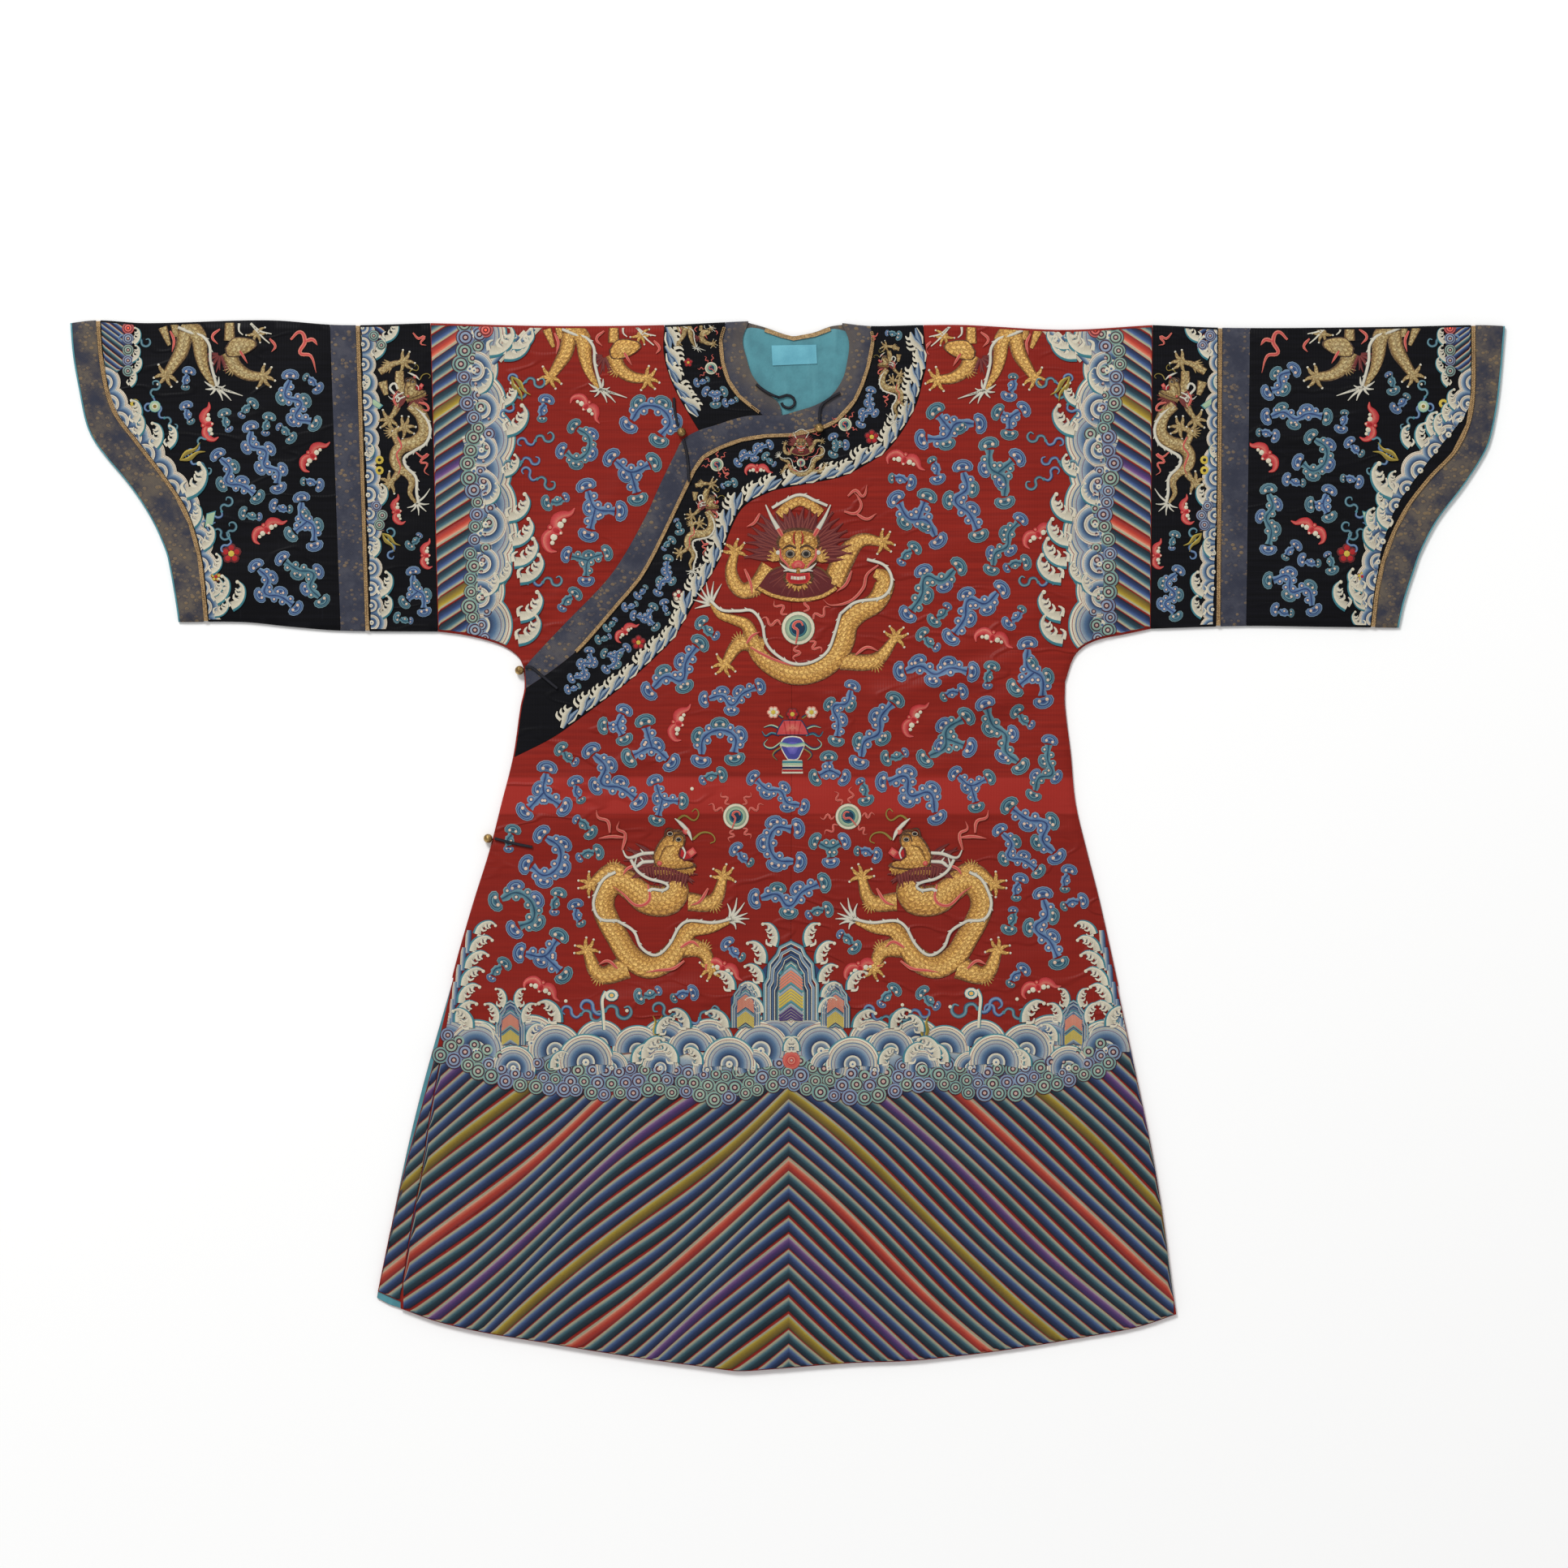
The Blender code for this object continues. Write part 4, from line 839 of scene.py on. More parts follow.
def seam_between(line, top_line, low_line, shift=0.0):
    """A sleeve seam moved along x, and stretched to end on the sleeve's two folds."""
    moved = np.array(line) + (shift, 0.0)
    down = np.linspace(0, 1, len(moved))
    moved[:, 1] += (1 - down) * (height_on(top_line, moved[0, 0]) - moved[0, 1])
    moved[:, 1] += down * (height_on(low_line, moved[-1, 0]) - moved[-1, 1])
    return [tuple(p) for p in moved]


def fold_between(line, start, end):
    """The sleeve's fold from one seam to the next."""
    count = max(1, math.ceil(abs(end[0] - start[0]) / EDGE_STEP))
    xs = np.linspace(start[0], end[0], count + 1)
    fold = [(float(x), height_on(line, x)) for x in xs]
    return [tuple(start)] + fold[1:-1] + [tuple(end)]


def sleeve_tube(name, outer, inner, lines, material, step=CLOTH_STEP):
    top, low = (fold_between(line, outer[k], inner[k])
                for line, k in zip(lines, (0, -1)))
    loop = joined(top, inner, low[::-1], outer[::-1])
    cut = Cut([top, low])
    cut.stretch(loop, back_level, max(step, BACK_STEP), back=True)
    cut.stretch(loop, under_level, step)
    return cut.made(name, material), cut


cuff_brocade = brocade("cuff_brocade", BROCADE_RUBBED, 0.7)
strip_brocade = brocade("strip_brocade", BROCADE, 0.15)
turquoise = lining_silk("turquoise_silk", TEAL, TEAL_DEEP, TEAL_FOLD_HIGHLIGHT)
SEWN_SEAMS = {}
for side, stations, lines in (
    ("right", RIGHT_STATIONS, (RIGHT_TOP_LINE, RIGHT_LOW_LINE)),
    ("left", LEFT_STATIONS, (LEFT_TOP_LINE, LEFT_LOW_LINE)),
):
    inward = 1.0 if side == "right" else -1.0
    base = {name: station_line(points) for name, points in stations.items()}
    mouth = seam_between(base["mouth"], *lines)
    edge = seam_between(base["mouth"], *lines, inward * CUFF_EDGE_WIDTH)
    cuff = seam_between(base["cuff"], *lines)
    cuff_in = seam_between(base["cuff"], *lines, inward * SLEEVE_PIPING_WIDTH)
    strip_out = seam_between(base["strip_out"], *lines)
    strip_in = seam_between(base["strip_in"], *lines)
    piped = seam_between(base["strip_in"], *lines, inward * SLEEVE_PIPING_WIDTH)
    seam = seam_between(base["seam"], *lines)
    SEWN_SEAMS[side] = {"mouth": mouth, "cuff": cuff, "cuff_in": cuff_in, "piped": piped,
                        "strip_in": strip_in, "strip_out": strip_out, "seam": seam}
    lining_edge, _ = sleeve_tube(f"{side}_cuff_lining_edge", mouth, edge, lines, turquoise, 20.0)
    sewn(lining_edge, f"{side}_cuff_edge")
    border, cut = sleeve_tube(f"{side}_cuff_brocade_border", edge, cuff, lines, cuff_brocade)
    lay(border, f"{side}_cuff_border")
    for part, outer, inner, material, slot, width in (
        ("lower_sleeve", cuff_in, strip_out, black_silk, "black_silk", 0.25),
        ("sleeve_strip", strip_out, strip_in, strip_brocade, "grey_brocade", 0.029),
        ("sleeve_band", piped, seam, black_silk, "black_silk", 0.077),
    ):
        tube, cut = sleeve_tube(f"{side}_{part}_tube", outer, inner, lines, material)
        lay(tube, f"{side}_{part}")

# ---- The lining where it shows -----------------------------------------------------------------
# Turquoise plain-weave silk lines the robe. It shows inside the neck, where a bare lighter patch
# is tacked on, and as a strip along the right vent, where the back stands past the front.
PATCH = (0.130, 0.420, 0.510)
# The bright patch colour is the painted highlight along its pressed folds.
PATCH_DEEP, PATCH_FOLD_HIGHLIGHT = (0.095, 0.340, 0.430), (0.200, 0.520, 0.600)


def flat_layer(name, node, loop, middle, material, step):
    cut = Cut().stretch(loop, lambda x, y: np.full(np.shape(x), middle + SEAM_DIP), step)
    piece = cut.made(name, material, THIN)
    lay(piece, node)


neck_loop_line = spaced(
    [(-50, 540), (-38, 543), (-23, 540), (-6, 534), (6, 531), (28, 535), (44, 541), (54, 541),
     (71, 533), (78, 500), (64, 462), (40, 442), (0, 436), (-38, 441), (-68, 465), (-80, 500),
     (-70, 529)], 8.0)
flat_layer("neck_lining_silk", "neck_lining", neck_loop_line, LINING_MID - SEAM_DIP, turquoise,
           6.0)
patch_silk = lining_silk("patch_silk", PATCH, PATCH_DEEP, PATCH_FOLD_HIGHLIGHT)
flat_layer("bare_label_patch", "label_patch", [(-17, 524), (30, 525), (31, 505), (-16, 503)],
           LINING_MID + THIN + GAP - SEAM_DIP, patch_silk, 6.0)


# ---- The striped hem ---------------------------------------------------------------------------
# Slanting bands of "standing water" in satin stitch: floss silk, dyed from cream to navy or dark
# teal across each band, meets in chevrons at the centre seam. A fine red line parts the bands.
EMBROIDERY = 0.34  # least height of stitches over the cloth
STRIPE_PITCH = 15.6  # from one band to the next, straight down
STRIPE_SLOPE = {"left": 0.83, "right": 0.90}  # fall from the centre seam to either side
STRIPE_TOP = -250.0  # where the first yellow chevron meets the centre seam
STRIPE_STEP = 6.5
ACCENT_EVERY = 5
STRIPE_MARKS = (0.0, 0.08, 0.20, 0.28, 0.40, 0.62, 1.0)


def dyed(*levels):
    """A silk's colour from how it looks to the eye, 0 to 255."""
    return tuple(v / 255 / 12.92 if v <= 10 else ((v / 255 + 0.055) / 1.055) ** 2.4
                 for v in levels)


CREAM, PALE, GREY_GREEN = dyed(178, 176, 144), dyed(222, 214, 186), dyed(132, 145, 124)
RED_LINE = dyed(168, 44, 34)
BANDS = {
    "teal": (CREAM, dyed(130, 150, 148), dyed(68, 108, 120), dyed(28, 58, 72), dyed(9, 18, 26)),
    "navy": (CREAM, dyed(124, 142, 166), dyed(70, 98, 146), dyed(36, 56, 100), dyed(12, 16, 36)),
    "yellow": (CREAM, dyed(196, 172, 66), dyed(172, 146, 44), dyed(140, 114, 36), dyed(84, 66, 30)),
    "red": (CREAM, dyed(226, 176, 148), dyed(222, 112, 84), dyed(196, 62, 44), dyed(140, 36, 34)),
    "purple": (CREAM, dyed(176, 150, 170), dyed(120, 84, 140), dyed(80, 50, 112), dyed(44, 30, 66)),
}
ACCENTS = ("yellow", "red", "purple")


NO_STITCH = 2e-3  # stitches of less than half this many square millimetres are left out
BEHIND_SHARE, BEHIND_LOWEST = 0.16, 0.02  # how much of its relief the pressed back keeps


class Threads:
    """Embroidery as grids of stitches, each corner with its colour and height over the cloth."""

    def __init__(self):
        self.parts, self.count = [], 0

    def grid(self, places, heights, cells, stitches):
        """Rows of points; cells has the colours of each column's near and far side."""
        rows, cols = places.shape[:2]
        index = np.arange(rows * cols).reshape(rows, cols)
        faces = np.stack([index[:-1, :-1], index[:-1, 1:], index[1:, 1:], index[1:, :-1]], -1)
        cells = np.asarray(cells, float)
        shades = np.broadcast_to(cells[..., (0, 1, 1, 0), :], (rows - 1, cols - 1, 4, 3))
        self.add(places.reshape(-1, 2), np.broadcast_to(heights, (rows, cols)).reshape(-1),
                 faces.reshape(-1, 4), shades.reshape(-1, 4, 3), stitches.reshape(-1, 2))

    def add(self, points, heights, faces, shades, stitches):
        self.parts.append((points, heights, faces + self.count, shades, stitches))
        self.count += len(points)

    def stroke(self, path, width, cells, crown=0.45, base=0.0, step=2.4, smooth=True):
        """A band of stitches along a path. width is a number or pairs of place and width."""
        line = np.array(spaced(path, step) if smooth else path, float)
        run, along = headings(line), lengths(line)
        left = np.stack([-run[:, 1], run[:, 0]], 1)
        if isinstance(width, (int, float)):
            wide = np.full(len(line), float(width))
        else:
            wide = np.interp(along / along[-1], *zip(*width))
        marks = np.array([cells[0][0]] + [cell[1] for cell in cells])
        off = (0.5 - marks)[None, :] * wide[:, None]
        places = line[:, None] + left[:, None] * off[..., None]
        heights = base + crown * (1 - (2 * marks - 1) ** 2)
        stitches = np.stack([np.broadcast_to(along[:, None], off.shape), off], -1)
        self.grid(places, heights, [cell[2:4] for cell in cells], stitches)

    def blob(self, outline, rings, crown=0.4, base=0.0, centre=None):
        """A filled shape in rings, each a colour out to a share of the way to the outline."""
        outline = np.array(outline, float)
        if signed_area(outline) < 0:
            outline = outline[::-1]
        centre = outline.mean(0) if centre is None else np.array(centre, float)
        outline = np.concatenate([outline, outline[:1]])
        marks = np.array([0.02] + [ring[0] for ring in rings])
        places = centre + (outline - centre)[:, None] * marks[None, :, None]
        shades = [(ring[1], ring[2] if len(ring) > 2 else ring[1]) for ring in rings]
        self.grid(places, base + crown * (1 - marks**2), shades, places - centre)

    def disc(self, x, y, radius, rings, crown=0.4, base=0.0, sides=10, tall=1.0, turn=0.0):
        angle = np.linspace(0, 2 * math.pi, sides, endpoint=False)
        around = np.stack([np.cos(angle), np.sin(angle) * tall], 1) * radius
        self.blob(around @ turning(turn) + (x, y), rings, crown, base)

    def gathered(self):
        return [np.concatenate(column) for column in zip(*self.parts)]

    def stamp(self, other, x=0.0, y=0.0, turn=0.0, size=1.0, mirror=False, base=0.0, tint=None):
        """Another piece of embroidery worked again at a place, turned in degrees."""
        points, heights, faces, shades, stitches = other.gathered()
        if mirror:
            points, faces, shades = points * (-1, 1), faces[:, ::-1], shades[:, ::-1]
        if tint:
            shades = shades * tint
        self.add(points * size @ turning(turn) + (x, y), heights + base, faces, shades,
                 stitches * size)

    def made(self, name, level, material, slot, clip=None, behind=None):
        """The object, at its height over a cloth; clip moves points in from the folds."""
        points, heights, faces, shades, stitches = self.gathered()
        if clip:
            points = clip(points)
        corner = points[faces]
        across, up = corner[:, 2] - corner[:, 0], corner[:, 3] - corner[:, 1]
        kept = np.abs(across[:, 0] * up[:, 1] - across[:, 1] * up[:, 0]) > NO_STITCH
        faces, shades = faces[kept], shades[kept]
        used, faces = np.unique(faces, return_inverse=True)
        faces = faces.reshape(-1, 4)
        points, heights, stitches = points[used], heights[used], stitches[used]
        if behind is None:
            tops = level(points[:, 0], points[:, 1]) + WALL / 2 + EMBROIDERY * 0.5 + heights
        else:
            tops = np.maximum(behind - heights * BEHIND_SHARE, BEHIND_LOWEST)
            faces, shades = faces[:, ::-1], shades[:, ::-1]
        mesh = bpy.data.meshes.new(name)
        mesh.vertices.add(len(points))
        mesh.vertices.foreach_set(
            "co", (np.concatenate([points, tops[:, None]], 1) * MM).ravel())
        mesh.loops.add(faces.size)
        mesh.loops.foreach_set("vertex_index", faces.ravel())
        mesh.polygons.add(len(faces))
        mesh.polygons.foreach_set("loop_start", np.arange(0, faces.size, 4))
        mesh.update(calc_edges=True)
        silk = mesh.color_attributes.new("silk", "FLOAT_COLOR", "CORNER")
        full = np.ones((faces.size, 4))
        full[:, :3] = shades.reshape(-1, 3)
        silk.data.foreach_set("color", full.ravel())
        grain = mesh.uv_layers.new(name="stitch")
        grain.data.foreach_set("uv", stitches[faces.ravel()].ravel())
        mesh.shade_smooth()
        mesh.materials.append(material)
        return sewn(linked(name, mesh), [])


def turning(degrees):
    """The matrix that turns rows of points to the left."""
    c, s = math.cos(math.radians(degrees)), math.sin(math.radians(degrees))
    return np.array(((c, s), (-s, c)))


def floss_silk(name):
    """Floss silk in the colour of its stitches, lighter and darker from thread to thread."""
    finish = Finish(name, 0.5, specular=0.25)
    shade = finish.node("ShaderNodeVertexColor", {"layer_name": "silk"})
    grain = finish.node("ShaderNodeUVMap", {"uv_map": "stitch"})
    place = finish.place()
    threads = finish.noise(finish.scaled(grain, 2.6, 0.30), 1.0, 2.0, 0.6)
    wear = finish.noise(place, 26.0, 3.0, 0.6)
    light = (threads * 0.8 + wear * 0.5).step(0.25, 1.05)
    colour = finish.mix(1.0 - light, shade, finish.mix(1.0, shade, (0.62, 0.62, 0.64), "MULTIPLY"))
    finish.colour(colour)
    finish.bump(threads, 0.0004, 0.8)
    return finish.made


def along_line(line, x):
    """y of a line that runs across the robe, at each x."""
    fine = np.array(sorted(line))
    return np.interp(x, fine[:, 0], fine[:, 1])


def across_line(line, x, outside):
    """y of a slanting side edge at each x, and the value outside past its ends."""
    fine = np.array(sorted(line))
    return np.interp(x, fine[:, 0], fine[:, 1], left=outside, right=outside)


def at_height(line, y):
    fine = np.array(sorted(line, key=lambda p: p[1]))
    return np.interp(y, fine[:, 1], fine[:, 0])


def panel(left=None, right=None, high=None, low=None, inset=0.9):
    """Keeps stitches inside a panel with these side seams and upper and lower edges."""
    def clip(points):
        x, y = points.T.copy()
        if left:
            x = np.maximum(x, at_height(left, y) + inset)
        if right:
            x = np.minimum(x, at_height(right, y) - inset)
        if high:
            y = np.minimum(y, along_line(high, x) - inset)
        if low:
            y = np.maximum(y, along_line(low, x) + inset)
        return np.stack([x, y], 1)
    return clip


def band_cells(kind):
    """The colours across one band, from its red line down to its darkest edge."""
    shades = BANDS[kind]
    inner = [(a, b) for a, b in zip(shades[:-1], shades[1:])]
    return [(RED_LINE, RED_LINE)] + [(shades[0], shades[0])] + inner


def slanting_bands(work, xs, fall, low, high, pitch, numbers, cream_below=False,
                   accents=ACCENTS, shade=1.0, sway=1.0):
    """Bands one under another between two edges, all given at each of the columns xs."""
    marks = np.array(STRIPE_MARKS)
    if cream_below:
        marks = 1 - marks
    for number in numbers:
        top = (fall - number * pitch + 1.0 * np.sin(xs / 27.0 + number * 1.1)
               + sway * np.sin(xs / 50.0 + number * 0.26))
        if ((top < low) | (top - pitch > high)).all():
            continue
        kind = ("teal", "navy")[number % 2]
        if number % ACCENT_EVERY == 0:
            kind = accents[(number // ACCENT_EVERY) % len(accents)]
        rows = np.clip(top[:, None] - marks * pitch, low[:, None], high[:, None])
        places = np.stack([np.broadcast_to(xs[:, None], rows.shape), rows], -1)
        if cream_below:
            places = places[::-1]
        work.grid(places, 0.2 + 0.35 * (1 - (2 * marks - 1) ** 2),
                  np.array(band_cells(kind)) * shade, places[..., ::-1])


def hem_bands(xs, low, high):
    """The hem's bands, which fall from the centre seam to either side."""
    work = Threads()
    slope = np.where(xs < CENTRE_X, STRIPE_SLOPE["left"], STRIPE_SLOPE["right"])
    fall = STRIPE_TOP - slope * np.abs(xs - CENTRE_X) + 1.3 * np.sin(xs / 43.0)
    slanting_bands(work, xs, fall, low, np.maximum(high, low), STRIPE_PITCH, range(-27, 22),
                   shade=0.72, sway=5.0)
    return work


CENTRE_X = 1.0
HEM_INSET, OVERLAP_INSET, VENT_INSET = 1.0, 0.7, 2.0  # how far the stripes stay inside the edges
OUTSIDE = 999.0  # past any edge of the robe
KNOT_MIDDLE = [(-430, -190), (-360, -208), (-322, -222), (-286, -236), (-230, -244), (-180, -247),
               (-130, -243), (-70, -252), (-30, -244), (0, -236), (40, -246), (90, -250),
               (140, -236), (200, -246), (250, -244), (300, -232), (345, -212), (380, -200)]
silk_floss = floss_silk("silk_floss")
UNDER_HEM_EDGE_LINE = spaced(UNDER_HEM_EDGE)
hem_columns = np.arange(-402.0, 406.0, STRIPE_STEP)
hem_low = along_line(HEM_R + HEM_L, hem_columns) + HEM_INSET
hem_high = along_line(KNOT_MIDDLE, hem_columns)
hem_high = np.minimum(hem_high, across_line(FRONT_E, hem_columns, OUTSIDE) - OVERLAP_INSET)
hem_high = np.minimum(hem_high, across_line(VENT_L, hem_columns, OUTSIDE) - VENT_INSET)
hem_bands(hem_columns, hem_low, hem_high).made("hem_stripes", over_level, silk_floss, "red_silk")
SLIVER_TOP = -222.0
sliver = np.arange(-430.0, -352.0, 3.0)  # the under front where it shows past the overlap
sliver_low = np.maximum(along_line(UNDER_HEM_EDGE_LINE, sliver),
                        across_line(FRONT_E, sliver, -OUTSIDE)) + HEM_INSET
sliver_high = np.minimum(across_line(UNDER_E + part_of(VENT_R, UNDER_HEM, UNDER_MEETS_EDGE)[1:],
                                     sliver, OUTSIDE) - HEM_INSET, SLIVER_TOP)
hem_bands(sliver, sliver_low, sliver_high).made(
    "under_hem_stripes", under_level, silk_floss, "red_silk",
    panel(left=UNDER_E + part_of(VENT_R, UNDER_MEETS_EDGE, UNDER_HEM)[1:], right=FRONT_E))

# ---- The knot clouds over the stripes ----------------------------------------------------------
# Rows of ring-shaped curls, laid in couched cord and satin stitch, close the stripes at the top.
KNOT_RADIUS = 9.2
KNOT_TONES = (
    (dyed(86, 114, 152), dyed(150, 168, 184)), (dyed(92, 134, 128), dyed(156, 180, 160)),
    (dyed(98, 116, 150), dyed(142, 158, 180)), (dyed(80, 126, 130), dyed(146, 176, 160)),
)
KNOT_LINE = dyed(72, 42, 54)
KNOT_DOT = dyed(204, 172, 158)


def knot(tone, light, radius=KNOT_RADIUS):
    """One curl: rings of colour round a pale dot, each parted by a fine brown line."""
    work = Threads()
    work.disc(0, 0, radius, [
        (0.17, KNOT_DOT), (0.34, KNOT_LINE), (0.56, light), (0.70, KNOT_LINE), (0.90, tone, light),
        (1.0, KNOT_LINE)], crown=1.0, base=0.5, sides=15)
    return work


KNOTS = [knot(*tones) for tones in KNOT_TONES]
scatter_dice = np.random.default_rng(7)


def knot_rows(work, line, rows, gap, deep):
    """Curls in staggered rows, the lower ones over the upper like scales."""
    line = np.array(spaced(line, 2.0))
    run, along = headings(line), lengths(line)
    for row in range(rows):
        for s in np.arange(gap * (row % 2) / 2, along[-1], gap):
            i = int(np.searchsorted(along, s))
            side = (row - (rows - 1) / 2) * deep + scatter_dice.uniform(-2.2, 2.2)
            x, y = line[min(i, len(line) - 1)] + (run[min(i, len(run) - 1)][::-1] * (1, -1)) * side
            tone = KNOTS[int(scatter_dice.integers(len(KNOTS)))]
            work.stamp(tone, x + scatter_dice.uniform(-1.5, 1.5), y, scatter_dice.uniform(0, 40),
                       scatter_dice.uniform(0.82, 1.12), base=0.25 * row)


hem_knots = Threads()
knot_rows(hem_knots, [p for p in KNOT_MIDDLE if -400 < p[0] < 370], 3, 14.5, 11.5)
hem_knots.made("hem_knot_clouds", over_level, silk_floss, "red_silk")

# ---- The gold dragons --------------------------------------------------------------------------
# Bodies are couched: gold-wrapped thread laid in rows of scales and tied down over padding. Manes,
# horns, flames and faces are floss silk worked over the couched gold.
# GOLD is the couched gold; the lighter and darker golds are lit and shaded copies of it, and
# GOLD_DARK is the dark outline.
GOLD, GOLD_LIT = dyed(234, 182, 92), dyed(250, 206, 118)
GOLD_SHADED, GOLD_DARK = dyed(200, 148, 68), dyed(106, 68, 34)
WHITE, MAROON, MAROON_LIGHT = dyed(218, 212, 192), dyed(98, 30, 32), dyed(138, 66, 56)
PINK, SALMON, SCARLET = dyed(204, 72, 72), dyed(214, 122, 102), dyed(176, 30, 34)
BLACK_EYE, EYE_RIM, OLIVE = dyed(26, 24, 26), dyed(186, 172, 150), dyed(140, 122, 52)
NAVY, TEAL_SILK, PALE_GREEN = dyed(22, 50, 76), dyed(62, 132, 140), dyed(170, 196, 160)
# Across each couched body and limb the middle is painted lighter as a highlight and the sides
# darker as shade, inside the dark outline.
BODY = [(0, 0.09, GOLD_DARK, GOLD_SHADED), (0.09, 0.32, GOLD_SHADED, GOLD),
        (0.32, 0.6, GOLD, GOLD_LIT),
        (0.6, 0.9, GOLD_LIT, GOLD), (0.9, 1.0, GOLD_SHADED, GOLD_DARK)]
LIMB = [(0, 0.16, GOLD_DARK, GOLD_SHADED), (0.16, 0.5, GOLD, GOLD_LIT),
        (0.5, 0.84, GOLD_LIT, GOLD), (0.84, 1.0, GOLD_SHADED, GOLD_DARK)]
FLAME = [(0, 0.3, SALMON, SALMON), (0.3, 0.7, PINK, PINK), (0.7, 1.0, SALMON, SALMON)]
SPINE = [(0, 0.2, dyed(120, 128, 130), WHITE), (0.2, 0.8, WHITE, WHITE),
         (0.8, 1.0, WHITE, dyed(110, 116, 120))]
HAIR = [(0, 0.5, MAROON, MAROON_LIGHT), (0.5, 1.0, MAROON, MAROON)]


SCALE_LONG, SCALE_WIDE = 5.6, 5.0  # the couched scales, in millimetres


def couched_gold(name):
    """Couched gold thread in rows of scales, each edged by a dark tie line, with painted glints and
    specks of painted shade.
    """
    finish = Finish(name, 0.42, metallic=0.25, specular=0.5)
    shade = finish.node("ShaderNodeVertexColor", {"layer_name": "silk"})
    grain = finish.node("ShaderNodeUVMap", {"uv_map": "stitch"})
    along, across, _ = finish.parts(grain)
    row = across / SCALE_WIDE + 40.0
    odd = row.call("FLOOR").call("MODULO", 2.0)
    forth = (along / SCALE_LONG + odd * 0.5 + 40.0).call("FRACT")
    aside = row.call("FRACT") - 0.5
    reach = (forth * forth + aside * aside * 2.6).call("SQRT")
    edge = reach.step(0.62, 0.80) * (1 - reach.step(0.98, 1.04))
    threads = (reach * 34.0).call("SINE") * 0.5 + 0.5
    painted_glint_and_grain = finish.noise(finish.place(), 520.0, 3.0, 0.75)
    rubbed = finish.noise(finish.place(), 45.0, 3.0, 0.6)
    dark = finish.mix(1.0, shade, (0.46, 0.36, 0.28), "MULTIPLY")
    bright = finish.mix(1.0, shade, (1.42, 1.40, 1.36), "MULTIPLY")
    # Painted glints: the gold is darkened in specks as painted shade and lightened where the noise
    # is high as painted highlights.
    colour = finish.mix(painted_glint_and_grain.step(0.36, 0.60), dark, shade)
    colour = finish.mix(painted_glint_and_grain.step(0.58, 0.8) * 0.7, colour, bright)
    colour = finish.mix(edge * 0.85, colour, dark)
    colour = finish.mix(rubbed.step(0.55, 0.8) * 0.35, colour, dark)
    finish.colour(colour)
    finish.roughness(0.5 - threads * 0.12)
    finish.bump(threads * 0.3 + (1 - edge) * 0.6 + painted_glint_and_grain * 0.3, 0.0006)
    return finish.made


class Figure:
    """A motif in couched gold with floss silk over it."""

    def __init__(self):
        self.gold, self.silk = Threads(), Threads()

    def stamp(self, other, *place, tint=None, **how):
        self.gold.stamp(other.gold, *place, tint=tint, **how)
        self.silk.stamp(other.silk, *place, **how)

    def made(self, name, level, slot="red_silk", **how):
        self.gold.made(f"{name}_gold", level, scale_gold, "gold_braid", **how)
        self.silk.made(f"{name}_silk", level, silk_floss, slot, **how)


def beside(path, distance):
    """A line that runs beside a path: distance is a number or pairs of place and distance."""
    line = np.array(spaced(path, 3.0))
    run, share = headings(line), np.linspace(0, 1, len(line))
    if not isinstance(distance, (int, float)):
        distance = np.interp(share, *zip(*distance))
    off = np.broadcast_to(distance, share.shape)
    return line + np.stack([-run[:, 1], run[:, 0]], 1) * off[:, None]


def barbed(work, line, base=1.1, barbs=5.0, side=1):
    """The white line of the spine, with a small barb every few millimetres."""
    work.stroke(line, 3.3, SPINE, 0.5, base, smooth=False)
    run = headings(line)
    for i in range(2, len(line) - 2, max(2, int(barbs))):
        out = np.array((-run[i, 1], run[i, 0])) * side
        start = line[i] + out * 0.6
        work.stroke([start, start + out * 2.2 + run[i] * 2.6], [(0, 2.4), (1, 0.5)], SPINE, 0.3,
                    base, step=3.0)


def foot(figure, x, y, turn, claws=5, size=1.0, base=0.3):
    """A clawed foot: toes fan out from a pad and end in white nails."""
    # The pad: painted highlight in the middle, painted shade towards its rim.
    figure.gold.disc(x, y, 5.4 * size, [(0.7, GOLD_LIT, GOLD), (1.0, GOLD, GOLD_DARK)], 0.5, base)
    for k in range(claws):
        out = direction(turn + (k - (claws - 1) / 2) * 250 / claws)
        side = np.array((-out[1], out[0])) * (1 if k % 2 else -1)
        start = np.array((x, y)) + out * 2.6 * size
        tip = start + (out * 10.0 + side * 1.8) * size
        figure.gold.stroke([start, start + out * 5.5 * size, tip],
                           [(0, 5.2 * size), (0.6, 4.0 * size), (1, 1.8 * size)], LIMB, 0.5, base,
                           step=3.0)
        figure.silk.disc(*(tip + out * 0.6), 1.3 * size, [(1.0, WHITE)], 0.3, base + 0.2, sides=7)


LEG_BASE = 0.15


def leg(figure, path, foot_turn, widths=((0, 13), (0.55, 12), (1, 6.5)), size=1.0, spurs=None):
    """A couched leg with spurs of thread at its joint and a foot."""
    figure.gold.stroke(path, [(t, w * size) for t, w in widths], LIMB, 0.8, LEG_BASE)
    foot(figure, *path[-1], foot_turn, 5, size, LEG_BASE + 0.1)
    if spurs:
        joint = np.array(path[1], float)
        for k in range(7):
            out = direction(spurs + (k - 3) * 17)
            start = joint + out * 4.0 * size
            figure.gold.stroke([start, start + out * (9.5 - abs(k - 3) * 0.9) * size],
                               [(0, 3.6 * size), (1, 0.6)], LIMB, 0.4, LEG_BASE, step=4.0)


def flame(work, points, width=2.6, base=0.3):
    work.stroke(points, [(0, width * 0.5), (0.3, width), (0.7, width * 0.8), (1, 0.4)], FLAME, 0.4,
                base)


def whisker(work, points, colour, width=1.8):
    work.stroke(points, [(0, width), (1, width * 0.4)], [(0, 1, colour, colour)], 0.3, 0.8)


